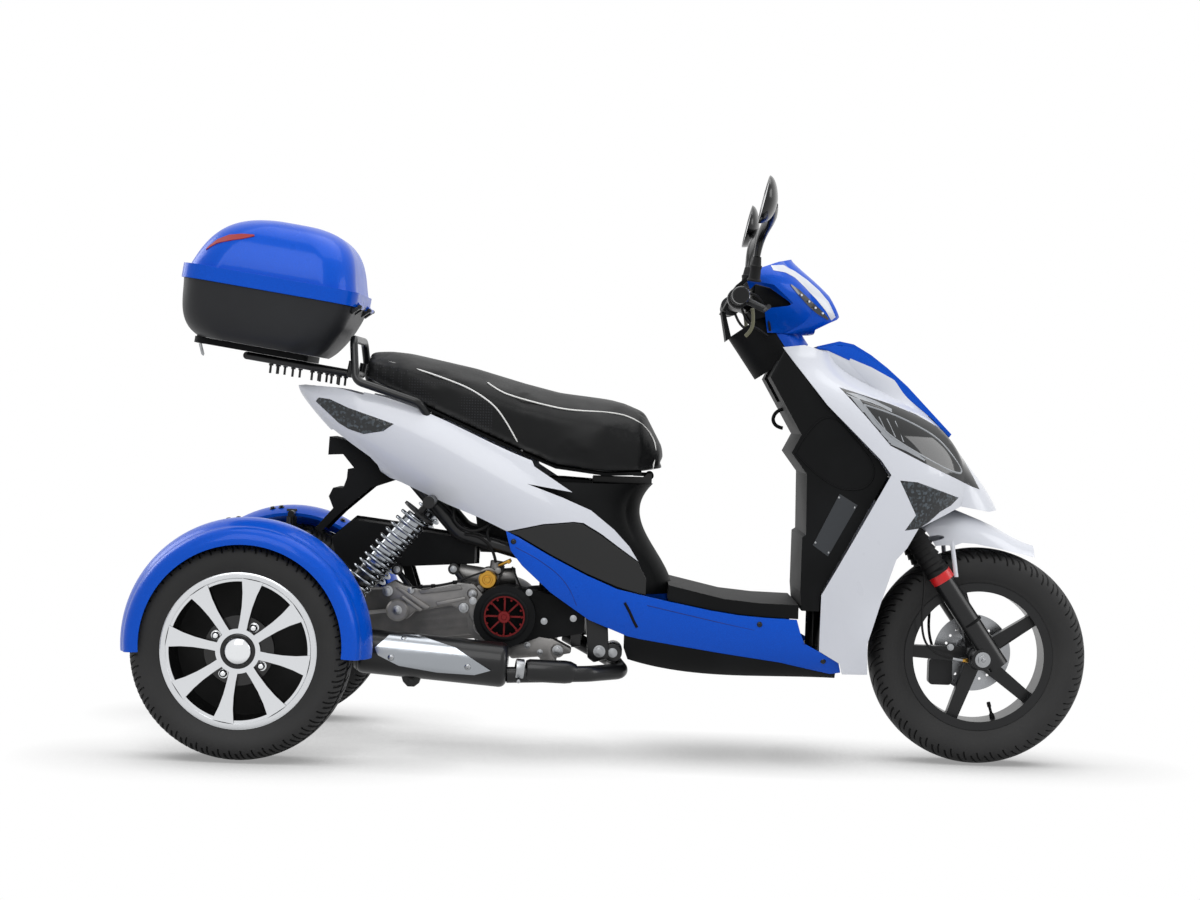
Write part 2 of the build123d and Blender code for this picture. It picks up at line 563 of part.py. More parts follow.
APRON_HALF = 50.0


def head_shell():
    """Hollow handlebar cowl before it is parted into its coloured cover and its dash."""
    rows = stations(HEAD_ROWS, HEAD_COLUMN_LOWS, HEAD_COLUMN_SIZES)
    with BuildPart() as shell:
        add(plan_loft(rows))
        add(plan_loft(rows, HEAD_WALL), mode=Mode.SUBTRACT)
    return shell.part


NECK_PARTING = 20.0      # joint between the coloured cover and the dash, ahead of the axis
NECK_FLOOR = 4.0
NECK_GAP = 7.0           # room for the neck to turn in the leg shield


def column_part(parting, kept):
    """Part of the round neck before or behind its parting plane, with a floor round the stem."""
    with BuildPart() as column:
        rod(axis_point(NECK_LOW), axis_point(NECK_TOP), NECK_R)
        rod(axis_point(NECK_LOW + NECK_FLOOR), axis_point(NECK_TOP + CUT), NECK_R - HEAD_WALL, Mode.SUBTRACT)
        rod(axis_point(NECK_LOW - CUT), axis_point(NECK_TOP + CUT), STEM_R + SEAM / 2, Mode.SUBTRACT)
        split(bisect_by=Plane(origin=axis_point(NECK_LOW, parting), z_dir=LEAD_AXIS), keep=kept)
    return column.part


HEAD_SHELL = head_shell()
with BuildPart() as handlebar_cowl:
    add(HEAD_SHELL)
    add(wide_slab(placed(HEAD_SHARES, HEAD_LOW_CORNER, HEAD_SIZE), HEAD_HALF), mode=Mode.INTERSECT)
    for side in (-1, 1):
        hole = side_slab(placed(OPENING_SHARES, HEAD_LOW_CORNER, HEAD_SIZE), NECK_R, HEAD_HALF * 1.2)
        add(hole if side < 0 else other_side(hole), mode=Mode.SUBTRACT)
    add(column_part(NECK_PARTING + SEAM, Keep.TOP))
pieces["handlebar_cowl"] = handlebar_cowl.part

with BuildPart() as dash_cowl:
    add(wide_slab(placed(DASH_SHARES, HEAD_LOW_CORNER, HEAD_SIZE), DASH_HALF))
    add(wide_slab(placed(APRON_SHARES, HEAD_LOW_CORNER, HEAD_SIZE), APRON_HALF))
    add(column_part(NECK_PARTING, Keep.BOTTOM))
pieces["dash_cowl"] = dash_cowl.part

# Lower body shell: blue side panels over a black belly, with the floor on top
LOWER_LOW = (-250.0, 186.0)
LOWER_SIZE = (730.0, 296.0)
LOWER_ROWS = [(0.0, 1.02, 0.92, 0.95, 0.94, 0.80, 0.90), (0.14, 0.86, 0.96, 0.66, 1.0, 0.40, 0.90),
              (0.36, 0.66, 0.98, 0.44, 1.0, 0.10, 0.72), (0.60, 0.56, 0.97, 0.36, 1.0, 0.0, 0.62),
              (0.84, 0.47, 0.96, 0.30, 0.98, 0.0, 0.62), (1.01, 0.45, 0.84, 0.28, 0.86, 0.0, 0.62)]
LOWER_COLUMN_LOWS = [LOWER_LOW[0], LOWER_LOW[1], 0, LOWER_LOW[1], 0, LOWER_LOW[1], 0]
LOWER_COLUMN_SIZES = [LOWER_SIZE[0], LOWER_SIZE[1], LOWER_HALF, LOWER_SIZE[1], LOWER_HALF, LOWER_SIZE[1],
                      LOWER_HALF]
PANEL_SHARES = [(0.005, 0.997), (0.042, 0.956), (0.138, 0.828), (0.245, 0.70), (0.335, 0.61), (0.402, 0.574),
                (0.485, 0.534), (0.607, 0.48), (0.69, 0.453), (0.77, 0.44), (0.862, 0.434), (0.873, 0.343),
                (0.886, 0.264), (0.938, 0.197), (0.992, 0.122), (1.0, 0.047), (0.97, 0.034), (0.816, 0.116),
                (0.652, 0.167), (0.407, 0.251), (0.369, 0.27), (0.256, 0.378), (0.142, 0.567), (0.056, 0.753),
                (0.021, 0.858)]
BELLY_SHARES = [(0.36, 0.40), (0.407, 0.35), (0.652, 0.25), (0.816, 0.20), (0.985, 0.10), (0.985, -0.1),
                (0.40, -0.1), (0.36, 0.18)]
FLOOR_SHARES = [(0.485, 0.65), (0.565, 0.608), (0.648, 0.564), (0.75, 0.543), (0.866, 0.538), (0.866, 0.437),
                (0.77, 0.444), (0.69, 0.457), (0.607, 0.484), (0.485, 0.538)]
FLOOR_UNDER_SHARES = [(0.50, 0.60), (0.565, 0.56), (0.648, 0.52), (0.75, 0.50), (0.85, 0.495), (0.85, 0.3),
                      (0.50, 0.3)]
FLOOR_RIM = 14.0

# Front cowl: one flowing shell, parted into two sides, a nose strip, lamps and indicators
COWL_LOW = (330.0, 200.0)
COWL_SIZE = (480.0, 700.0)
COWL_HALF = 200.0
COWL_WALL = 4.5
COWL_ROWS = [(-0.02, 0.10, 0.82, 0.30, 0.84, 0.46, 0.74, 0.50), (0.20, 0.12, 0.89, 0.34, 0.91, 0.54, 0.76, 0.57),
             (0.46, 0.28, 0.98, 0.55, 0.94, 0.80, 0.48, 1.04), (0.62, 0.38, 1.0, 0.62, 0.90, 0.84, 0.50, 0.915),
             (0.80, 0.18, 0.95, 0.46, 0.82, 0.64, 0.48, 0.71), (1.04, -0.06, 0.82, 0.10, 0.70, 0.22, 0.40, 0.24)]
COWL_COLUMN_LOWS = [COWL_LOW[1], COWL_LOW[0], 0, COWL_LOW[0], 0, COWL_LOW[0], 0, COWL_LOW[0]]
COWL_COLUMN_SIZES = [COWL_SIZE[1], COWL_SIZE[0], COWL_HALF, COWL_SIZE[0], COWL_HALF, COWL_SIZE[0],
                     COWL_HALF, COWL_SIZE[0]]
COWL_SHARES = [(0.0, 0.99), (0.10, 1.0), (0.19, 0.985), (0.32, 0.965), (0.415, 0.94), (0.515, 0.905),
               (0.66, 0.84), (0.78, 0.78), (0.90, 0.70), (1.02, 0.58), (1.02, 0.51), (0.97, 0.506),
               (0.833, 0.521), (0.63, 0.453), (0.58, 0.39), (0.535, 0.356), (0.42, 0.096), (0.427, 0.0),
               (0.208, 0.0), (0.206, 0.241), (0.494, 0.613), (0.448, 0.656), (0.204, 0.817)]
LAMP_SHARES = [(0.26, 0.873), (0.494, 0.828), (0.61, 0.80), (0.77, 0.744), (0.823, 0.694), (0.923, 0.575),
               (0.885, 0.583), (0.648, 0.651), (0.488, 0.702), (0.383, 0.783)]
LAMP_NEAR = 24.0
INDICATOR_SHARES = [(0.535, 0.597), (0.614, 0.593), (0.816, 0.548), (0.78, 0.525), (0.727, 0.505),
                    (0.675, 0.473), (0.63, 0.453), (0.567, 0.446), (0.614, 0.493)]
NOSE_SHARES = [(0.165, 1.0), (0.265, 1.018), (0.33, 1.01), (0.41, 0.979), (0.485, 0.941), (0.58, 0.885),
               (0.785, 0.742), (0.775, 0.732), (0.57, 0.873), (0.475, 0.929), (0.40, 0.967), (0.33, 0.997),
               (0.265, 1.005), (0.18, 0.99)]
NOSE_CLEAR_SHARES = [(-0.2, 0.86), (0.20, 0.86), (0.45, 0.85), (0.775, 0.72), (1.1, 0.76), (1.1, 1.2), (-0.2, 1.2)]
NOSE_HALF = 76.0
OUTER_REACH = 1.3


def cowl_shell():
    """Hollow front cowl before it is parted."""
    rows = stations(COWL_ROWS, COWL_COLUMN_LOWS, COWL_COLUMN_SIZES)
    with BuildPart() as shell:
        add(plan_loft(rows))
        add(plan_loft(rows, COWL_WALL), mode=Mode.SUBTRACT)
    return shell.part


def skin_piece(shell, outline, near, far):
    """Right-hand piece of a shell inside a side-view outline."""
    with BuildPart() as piece:
        add(shell)
        add(side_slab(outline, near, far), mode=Mode.INTERSECT)
    return piece.part


def grown(points, gap):
    """Side-view outline pushed outwards by a gap."""
    with BuildSketch() as shape:
        with BuildLine():
            Polyline(*points, close=True)
        make_face()
        offset(amount=gap, kind=Kind.INTERSECTION)
    return [(corner.X, corner.Y) for corner in
            [edge @ 0 for edge in shape.face().outer_wire().order_edges()]]


COWL_SHELL = cowl_shell()
COWL_OUTLINE = placed(COWL_SHARES, COWL_LOW, COWL_SIZE)
LAMP_OUTLINE = placed(LAMP_SHARES, COWL_LOW, COWL_SIZE)
INDICATOR_OUTLINE = placed(INDICATOR_SHARES, COWL_LOW, COWL_SIZE)

with BuildPart() as front_cowl_right:
    add(COWL_SHELL)
    add(side_slab(COWL_OUTLINE, SEAM / 2, COWL_HALF * OUTER_REACH), mode=Mode.INTERSECT)
    add(side_slab(grown(LAMP_OUTLINE, SEAM), LAMP_NEAR - SEAM, COWL_HALF * OUTER_REACH), mode=Mode.SUBTRACT)
    add(side_slab(grown(INDICATOR_OUTLINE, SEAM), LAMP_NEAR, COWL_HALF * OUTER_REACH), mode=Mode.SUBTRACT)
    add(wide_slab(placed(NOSE_CLEAR_SHARES, COWL_LOW, COWL_SIZE), NOSE_HALF + SEAM), mode=Mode.SUBTRACT)
    add(side_slab(grown(placed(PANEL_SHARES, LOWER_LOW, LOWER_SIZE), SEAM), LAMP_NEAR, COWL_HALF * OUTER_REACH),
        mode=Mode.SUBTRACT)
pieces["front_cowl_right"] = front_cowl_right.solids().sort_by(SortBy.VOLUME)[-1]
pieces["front_cowl_left"] = other_side(pieces["front_cowl_right"])

lamp = skin_piece(COWL_SHELL, LAMP_OUTLINE, LAMP_NEAR, COWL_HALF * OUTER_REACH)
with BuildPart() as headlamps:
    add(lamp)
    add(other_side(lamp))
    add(wide_slab(placed(NOSE_CLEAR_SHARES, COWL_LOW, COWL_SIZE), NOSE_HALF + SEAM), mode=Mode.SUBTRACT)
pieces["headlamps"] = headlamps.part

indicator = skin_piece(COWL_SHELL, INDICATOR_OUTLINE, LAMP_NEAR, COWL_HALF * OUTER_REACH)
with BuildPart() as front_indicators:
    add(indicator)
    add(other_side(indicator))
pieces["front_indicators"] = front_indicators.part

pieces["nose_panel"] = wide_slab(placed(NOSE_SHARES, COWL_LOW, COWL_SIZE), NOSE_HALF)

# Inner leg shield: a deep tub behind the cowl, closed towards the rider
SHIELD_LOW = (305.0, 333.0)
SHIELD_SIZE = (262.0, 560.0)
SHIELD_HALF = 174.4
SHIELD_WALL = 5.0
SHIELD_CORNER = 26.0
SHIELD_SHARES = [(0.0, 0.885), (0.1065, 0.9875), (0.4665, 0.7865), (0.905, 0.582), (0.985, 0.527), (0.465, 0.064),
                 (0.465, 0.0), (0.32, 0.0), (0.305, 0.07), (0.305, 0.28), (0.335, 0.29), (0.325, 0.52),
                 (0.195, 0.60), (0.27, 0.67)]
SHIELD_INSIDE_SHARES = [(0.05, 0.87), (0.12, 1.2), (1.2, 1.2), (1.2, -0.1), (0.34, -0.1), (0.325, 0.07),
                        (0.325, 0.28), (0.355, 0.29), (0.345, 0.53), (0.24, 0.605), (0.30, 0.68)]

with BuildPart() as leg_shield:
    add(wide_slab(placed(SHIELD_SHARES, SHIELD_LOW, SHIELD_SIZE), SHIELD_HALF))
    fillet(leg_shield.faces().sort_by(Axis.X)[0:1].edges().filter_by(Axis.Y, reverse=True), SHIELD_CORNER / 4)
    add(wide_slab(placed(SHIELD_INSIDE_SHARES, SHIELD_LOW, SHIELD_SIZE), SHIELD_HALF - SHIELD_WALL),
        mode=Mode.SUBTRACT)
    rod(axis_point(NECK_LOW - NECK_R), axis_point(NECK_TOP + NECK_R), NECK_R + NECK_GAP, Mode.SUBTRACT)
pieces["leg_shield"] = leg_shield.part

# Splash guard behind the front wheel
GUARD_HALF = 180.0
GUARD_WALL = 4.0
GUARD_LOW = (505.0, 204.0)
GUARD_SIZE = (26.0, 250.0)
GUARD_SHARES = [(0.6, 0.0), (0.2, 0.35), (0.35, 0.75), (1.0, 1.0), (0.85, 1.0), (0.2, 0.76), (0.04, 0.35),
                (0.44, 0.0)]
with BuildPart() as splash_guard:
    add(wide_slab(placed(GUARD_SHARES, GUARD_LOW, GUARD_SIZE), GUARD_HALF))
    add(plan_loft(stations(COWL_ROWS, COWL_COLUMN_LOWS, COWL_COLUMN_SIZES), COWL_WALL + SEAM), mode=Mode.INTERSECT)
pieces["splash_guard"] = splash_guard.part

def lower_shell():
    """Hollow lower body, open at its top and its ends."""
    rows = stations(LOWER_ROWS, LOWER_COLUMN_LOWS, LOWER_COLUMN_SIZES)
    with BuildPart() as shell:
        add(cross_loft(rows))
        add(cross_loft(rows, PANEL_WALL, PANEL_WALL), mode=Mode.SUBTRACT)
    return shell.part


LOWER_SHELL = lower_shell()
PANEL_OUTLINE = placed(PANEL_SHARES, LOWER_LOW, LOWER_SIZE)
pieces["side_panel_right"] = skin_piece(LOWER_SHELL, PANEL_OUTLINE, LOWER_HALF / 2, LOWER_HALF * OUTER_REACH)
pieces["side_panel_left"] = other_side(pieces["side_panel_right"])

with BuildPart() as belly_tray:
    add(LOWER_SHELL)
    add(wide_slab(placed(BELLY_SHARES, LOWER_LOW, LOWER_SIZE), LOWER_HALF), mode=Mode.INTERSECT)
    add(wide_slab(grown(PANEL_OUTLINE, SEAM), LOWER_HALF * OUTER_REACH), mode=Mode.SUBTRACT)
pieces["belly_tray"] = belly_tray.part

with BuildPart() as floorboard:
    add(wide_slab(placed(FLOOR_SHARES, LOWER_LOW, LOWER_SIZE), FLOOR_HALF))
    add(wide_slab(placed(FLOOR_UNDER_SHARES, LOWER_LOW, LOWER_SIZE), FLOOR_HALF - FLOOR_RIM),
        mode=Mode.SUBTRACT)
pieces["floorboard"] = floorboard.part

# Rear body shell: a white cowl with a tail lamp each side, over a black insert
TAIL_LOW = (-720.0, 345.0)
TAIL_SIZE = (780.0, 440.0)
TAIL_HALF = 185.0
TAIL_WALL = 3.5
TAIL_ROWS = [(0.0, 0.995, 0.22, 0.985, 0.25, 0.975, 0.22), (0.15, 0.97, 0.55, 0.87, 0.66, 0.70, 0.52),
             (0.36, 0.88, 0.70, 0.68, 0.84, 0.46, 0.70), (0.60, 0.70, 0.80, 0.52, 0.97, 0.24, 0.86),
             (0.80, 0.59, 0.80, 0.40, 1.0, 0.06, 0.94), (1.0, 0.53, 0.78, 0.24, 0.98, -0.04, 0.94)]
TAIL_COLUMN_LOWS = [TAIL_LOW[0], TAIL_LOW[1], 0, TAIL_LOW[1], 0, TAIL_LOW[1], 0]
TAIL_COLUMN_SIZES = [TAIL_SIZE[0], TAIL_SIZE[1], TAIL_HALF, TAIL_SIZE[1], TAIL_HALF, TAIL_SIZE[1], TAIL_HALF]
TAIL_SHARES = [(0.005, 0.982), (0.047, 0.990), (0.13, 0.972), (0.196, 0.945), (0.202, 0.978), (0.36, 0.880),
               (0.50, 0.782), (0.647, 0.684), (0.669, 0.660), (0.678, 0.625), (0.785, 0.507), (0.66, 0.541),
               (0.759, 0.480), (0.838, 0.423), (0.903, 0.334), (0.946, 0.255), (0.971, 0.186), (0.92, 0.248),
               (0.867, 0.314), (0.819, 0.362), (0.792, 0.366), (0.709, 0.350), (0.610, 0.307), (0.535, 0.366),
               (0.444, 0.425), (0.311, 0.524), (0.256, 0.557), (0.243, 0.605), (0.221, 0.643), (0.165, 0.707),
               (0.114, 0.770), (0.087, 0.761), (0.042, 0.864), (0.013, 0.948)]
TAIL_LAMP_SHARES = [(0.070, 0.923), (0.062, 0.905), (0.132, 0.802), (0.160, 0.775), (0.203, 0.753),
                    (0.258, 0.771), (0.286, 0.807), (0.158, 0.877), (0.103, 0.917)]
INSERT_SHARES = [(0.612, 0.303), (0.709, 0.344), (0.792, 0.360), (0.817, 0.356), (0.865, 0.308),
                 (0.917, 0.243), (0.971, 0.180), (0.995, 0.10), (0.995, 0.02), (0.917, 0.058),
                 (0.833, 0.117), (0.733, 0.203), (0.643, 0.289), (0.612, 0.303)]
TAIL_NEAR = 6.0


def tail_shell():
    """Hollow rear body, open below and under the seat."""
    rows = stations(TAIL_ROWS, TAIL_COLUMN_LOWS, TAIL_COLUMN_SIZES)
    with BuildPart() as shell:
        add(cross_loft(rows))
        add(cross_loft(rows, TAIL_WALL), mode=Mode.SUBTRACT)
    return shell.part


# Half of the grab rail comes first, because its feet stand in the cowl
RAIL_TUBE_R = 8.5
RAIL_BEND = 24.0
# Half of its route: foot in the cowl, foot beside the seat, knee, and the crest that crosses behind it
RAIL_HALF_ROUTE = [(-418.0, 118.0, 712.0), (-444.0, 145.0, 748.0), (-582.0, 140.0, 790.0), (-592.0, 108.0, 880.0)]

TAIL_SHELL = tail_shell()
TAIL_OUTLINE = placed(TAIL_SHARES, TAIL_LOW, TAIL_SIZE)
TAIL_LAMP_OUTLINE = placed(TAIL_LAMP_SHARES, TAIL_LOW, TAIL_SIZE)

with BuildPart() as tail_cowl_right:
    add(TAIL_SHELL)
    add(side_slab(TAIL_OUTLINE, TAIL_NEAR, TAIL_HALF * OUTER_REACH), mode=Mode.INTERSECT)
    add(side_slab(grown(TAIL_LAMP_OUTLINE, SEAM), TAIL_NEAR, TAIL_HALF * OUTER_REACH), mode=Mode.SUBTRACT)
    rod((RAIL_HALF_ROUTE[0][0], -RAIL_HALF_ROUTE[0][1], RAIL_HALF_ROUTE[0][2]),
        (RAIL_HALF_ROUTE[1][0], -RAIL_HALF_ROUTE[1][1], RAIL_HALF_ROUTE[1][2]), RAIL_TUBE_R + SEAM, Mode.SUBTRACT)
    rod((SPRING_TOP[0], -TAIL_NEAR, SPRING_TOP[1]), (SPRING_TOP[0], -SPRING_SIDE, SPRING_TOP[1]), EYE_R + SEAM,
        Mode.SUBTRACT)
pieces["tail_cowl_right"] = tail_cowl_right.part
pieces["tail_cowl_left"] = other_side(tail_cowl_right.part)

lamp = skin_piece(TAIL_SHELL, TAIL_LAMP_OUTLINE, TAIL_NEAR, TAIL_HALF * OUTER_REACH)
with BuildPart() as tail_lamps:
    add(lamp)
    add(other_side(lamp))
pieces["tail_lamps"] = tail_lamps.part

insert = skin_piece(TAIL_SHELL, placed(INSERT_SHARES[:-1], TAIL_LOW, TAIL_SIZE), TAIL_NEAR,
                    TAIL_HALF * OUTER_REACH)
with BuildPart() as side_inserts:
    add(insert)
    add(other_side(insert))
pieces["side_inserts"] = side_inserts.part

# Cover below the seat's nose, waisted where the rider's legs pass
COVER_LOW = (-150.0, 352.0)
COVER_SIZE = (266.0, 236.0)
COVER_HALF = 150.0
COVER_WALL = 3.5
COVER_ROWS = [(0.0, 0.0, 1.0, 0.50, 0.99, 0.86, 0.66, 1.0), (0.38, 0.0, 0.98, 0.45, 0.95, 0.74, 0.56, 0.85),
              (0.62, 0.0, 0.96, 0.42, 0.90, 0.62, 0.50, 0.73), (1.0, 0.0, 0.90, 0.42, 0.84, 0.70, 0.52, 0.81)]
COVER_COLUMN_LOWS = [COVER_LOW[1], COVER_LOW[0], 0, COVER_LOW[0], 0, COVER_LOW[0], 0, COVER_LOW[0]]
COVER_COLUMN_SIZES = [COVER_SIZE[1], COVER_SIZE[0], COVER_HALF, COVER_SIZE[0], COVER_HALF, COVER_SIZE[0],
                      COVER_HALF, COVER_SIZE[0]]
COVER_BACK_SHARES = [(-0.1, -0.1), (0.12, -0.1), (0.02, 1.1), (-0.1, 1.1)]

with BuildPart() as seat_cover:
    rows = stations(COVER_ROWS, COVER_COLUMN_LOWS, COVER_COLUMN_SIZES)
    add(plan_loft(rows))
    add(plan_loft(rows, COVER_WALL), mode=Mode.SUBTRACT)
    add(wide_slab(placed(COVER_BACK_SHARES, COVER_LOW, COVER_SIZE), COVER_HALF * OUTER_REACH),
        mode=Mode.SUBTRACT)
    add(wide_slab(grown(placed(FLOOR_SHARES, LOWER_LOW, LOWER_SIZE), SEAM), FLOOR_HALF + SEAM), mode=Mode.SUBTRACT)
pieces["seat_cover"] = seat_cover.part

# Storage box under the seat
BOX_LOW = (-330.0, 430.0)
BOX_SIZE = (262.0, 166.0)
BOX_HALF = 100.0
BOX_WALL = 4.0
BOX_SHARES = [(0.10, 0.0), (0.92, 0.0), (1.0, 0.98), (0.75, 1.0), (0.0, 1.0)]
BOX_INSIDE_SHARES = [(0.12, 0.03), (0.90, 0.03), (0.98, 1.2), (0.02, 1.2), (0.02, 0.97)]

with BuildPart() as storage_box:
    add(wide_slab(placed(BOX_SHARES, BOX_LOW, BOX_SIZE), BOX_HALF))
    add(wide_slab(placed(BOX_INSIDE_SHARES, BOX_LOW, BOX_SIZE), BOX_HALF - BOX_WALL), mode=Mode.SUBTRACT)
pieces["storage_box"] = storage_box.part

# Seat and its pan, hinged at the nose
SEAT_LOW = (-572.0, 600.0)
SEAT_SIZE = (664.0, 260.0)
SEAT_HALF = 150.0
SEAT_ROWS = [(0.0, 0.775, 0.90, 0.985, 0.62), (0.14, 0.62, 0.83, 0.955, 0.84), (0.36, 0.385, 0.66, 0.845, 0.90),
             (0.52, 0.21, 0.54, 0.735, 0.90), (0.64, 0.09, 0.46, 0.665, 0.98), (0.80, 0.045, 0.40, 0.625, 0.99),
             (0.92, 0.06, 0.34, 0.555, 0.80), (0.995, 0.09, 0.18, 0.27, 0.36)]
PAN_THICK = 7.0
PAN_HALF_SHARE = 0.80
SEAT_HINGE = (57.0, 606.0)
SEAT_PIN_R = 5.0
SEAT_BARREL_R = 9.0
SEAT_HINGE_HALF = 34.0
SEAT_EAR = 5.0
STRAP_TOP = 601.0


def seat_loft(rows):
    """Seat cushion: level foot, upright flanks and a crowned top, by stations along its length."""
    with BuildPart() as cushion:
        for along, foot, flank, crown, wide in rows:
            half = SEAT_HALF * wide
            low, side_top, top = (share(SEAT_LOW[1], SEAT_SIZE[1], part) for part in (foot, flank, crown))
            with BuildSketch(Plane.YZ.offset(share(SEAT_LOW[0], SEAT_SIZE[0], along))):
                with BuildLine():
                    Line((-half, side_top), (-half, low))
                    Line((-half, low), (half, low))
                    Line((half, low), (half, side_top))
                    ThreePointArc((half, side_top), (0, top), (-half, side_top))
                make_face()
        loft(ruled=True)
    return cushion.part


pieces["seat"] = seat_loft(SEAT_ROWS)
PAN_TOP = [(share(SEAT_LOW[0], SEAT_SIZE[0], row[0]), share(SEAT_LOW[1], SEAT_SIZE[1], row[1]) - SEAM)
           for row in SEAT_ROWS[1:-1]]
PAN_FOOT = [(x, z - PAN_THICK) for x, z in reversed(PAN_TOP)]

with BuildPart() as seat_pan:
    add(wide_slab(PAN_TOP + PAN_FOOT, SEAT_HALF * PAN_HALF_SHARE))
    with Locations((PAN_TOP[-1][0], 0, PAN_TOP[-2][1] - PAN_THICK / 2)):
        Box((SEAT_HINGE[0] - PAN_TOP[-1][0]) * 2, SEAT_HINGE_HALF * 2, PAN_THICK)
    rod((SEAT_HINGE[0], -SEAT_HINGE_HALF, SEAT_HINGE[1]), (SEAT_HINGE[0], SEAT_HINGE_HALF, SEAT_HINGE[1]),
        SEAT_BARREL_R)
    rod((SEAT_HINGE[0], -SEAT_HINGE_HALF - CUT, SEAT_HINGE[1]),
        (SEAT_HINGE[0], SEAT_HINGE_HALF + CUT, SEAT_HINGE[1]), SEAT_PIN_R + FIT, Mode.SUBTRACT)
pieces["seat_pan"] = seat_pan.part

with BuildPart() as seat_hinge:
    ear_side = SEAT_HINGE_HALF + SEAT_EAR
    rod((SEAT_HINGE[0], -ear_side, SEAT_HINGE[1]), (SEAT_HINGE[0], ear_side, SEAT_HINGE[1]), SEAT_PIN_R)
    strap = [(SEAT_HINGE[0] + SEAT_PIN_R, SEAT_HINGE[1] + SEAT_PIN_R),
             (SEAT_HINGE[0] - SEAT_PIN_R, SEAT_HINGE[1] + SEAT_PIN_R),
             (SEAT_HINGE[0] - SEAT_BARREL_R * 1.5, STRAP_TOP), (BOX_LOW[0] + BOX_SIZE[0] + SEAM, STRAP_TOP),
             (BOX_LOW[0] + BOX_SIZE[0] + SEAM, COVER_LOW[1] + COVER_SIZE[1] + SEAM),
             (SEAT_HINGE[0] + SEAT_PIN_R, COVER_LOW[1] + COVER_SIZE[1] + SEAM)]
    for side in (-1, 1):
        add(side_slab(strap, side * ear_side - SEAT_EAR / 2, side * ear_side + SEAT_EAR / 2))
pieces["seat_hinge"] = seat_hinge.part

# Rear fenders: a curved crown with an outer skirt, over each wheel
ARCH_CENTRE = (-765.0, 240.0)
ARCH_R = 247.0
ARCH_WALL = 3.0
ARCH_INNER = 285.0
ARCH_OUTER = 445.0
ARCH_CORNER = 34.0
SKIRT_R = 207.0
ARCH_START = -5.0
ARCH_SWEEP = 190.0
LIP = 11.5


def rear_fender(side):
    """One rear fender, swept about the arch's centre from its front edge to its back edge."""
    inner = side * ARCH_INNER
    outer = side * ARCH_OUTER
    inward = side * ARCH_WALL
    turn = radians(ARCH_START)
    start = Plane(origin=(ARCH_CENTRE[0], 0, ARCH_CENTRE[1]), x_dir=(0, 1, 0), z_dir=(sin(turn), 0, -cos(turn)))
    with BuildPart() as fender:
        with BuildSketch(start):
            with BuildLine():
                Line((inner, ARCH_R - LIP), (inner, ARCH_R - LIP / 3))
                ThreePointArc((inner, ARCH_R - LIP / 3), ((inner + outer) / 2, ARCH_R + LIP),
                              (outer - side * ARCH_CORNER, ARCH_R - LIP / 3))
                ThreePointArc((outer - side * ARCH_CORNER, ARCH_R - LIP / 3),
                              (outer - side * ARCH_CORNER * 0.24, ARCH_R - ARCH_CORNER * 0.45),
                              (outer, ARCH_R - ARCH_CORNER))
                Line((outer, ARCH_R - ARCH_CORNER), (outer, SKIRT_R))
                Line((outer, SKIRT_R), (outer - inward, SKIRT_R))
                Line((outer - inward, SKIRT_R), (outer - inward, ARCH_R - ARCH_CORNER))
                ThreePointArc((outer - inward, ARCH_R - ARCH_CORNER),
                              (outer - inward - side * ARCH_CORNER * 0.24, ARCH_R - ARCH_CORNER * 0.45 - ARCH_WALL),
                              (outer - side * ARCH_CORNER, ARCH_R - LIP / 3 - ARCH_WALL))
                ThreePointArc((outer - side * ARCH_CORNER, ARCH_R - LIP / 3 - ARCH_WALL),
                              ((inner + outer) / 2, ARCH_R + LIP - ARCH_WALL),
                              (inner + inward, ARCH_R - LIP / 3 - ARCH_WALL))
                Line((inner + inward, ARCH_R - LIP / 3 - ARCH_WALL), (inner + inward, ARCH_R - LIP))
                Line((inner + inward, ARCH_R - LIP), (inner, ARCH_R - LIP))
            make_face()
        revolve(axis=Axis((ARCH_CENTRE[0], 0, ARCH_CENTRE[1]), (0, -1, 0)), revolution_arc=ARCH_SWEEP)
    return fender.part


pieces["rear_fender_right"] = rear_fender(-1)
pieces["rear_fender_left"] = rear_fender(1)

# Stays that carry the rear fenders from the ends of the axle tube
FENDER_STAY_R = 6.0
FENDER_FOOT_R = 8.0
FENDER_STAY_TURNS = (35.0, 90.0, 150.0)

with BuildPart() as fender_stays:
    for side in (-1, 1):
        rail = side * (AXLE_TUBE_HALF - FENDER_STAY_R)
        for turn in FENDER_STAY_TURNS:
            out = (cos(radians(turn)), sin(radians(turn)))
            foot = (REAR_AXLE_X + out[0] * (AXLE_TUBE_R + SEAM), rail, REAR_TYRE_R + out[1] * (AXLE_TUBE_R + SEAM))
            head = (ARCH_CENTRE[0] + out[0] * (ARCH_R - LIP / 2), rail, ARCH_CENTRE[1] + out[1] * (ARCH_R - LIP / 2))
            rod(foot, head, FENDER_STAY_R)
            rod((head[0], rail - side * FENDER_FOOT_R, head[2]), (head[0], side * (ARCH_INNER - SEAM), head[2]),
                FENDER_FOOT_R)
pieces["fender_stays"] = fender_stays.part

# Top case on its plate, tipped forward with the rack
CASE_TIP = 8.0
CASE_PLACE = (-770.0, 853.0)
CASE_PLANE = Plane(origin=(CASE_PLACE[0], 0, CASE_PLACE[1]),
                   x_dir=(cos(radians(CASE_TIP)), 0, -sin(radians(CASE_TIP))),
                   z_dir=(sin(radians(CASE_TIP)), 0, cos(radians(CASE_TIP))))
CASE_BELT = 119.0
CASE_LENGTH = 374.0
CASE_WIDTH = 386.0
CASE_WALL = 3.5
CASE_SHIFT = -22.0
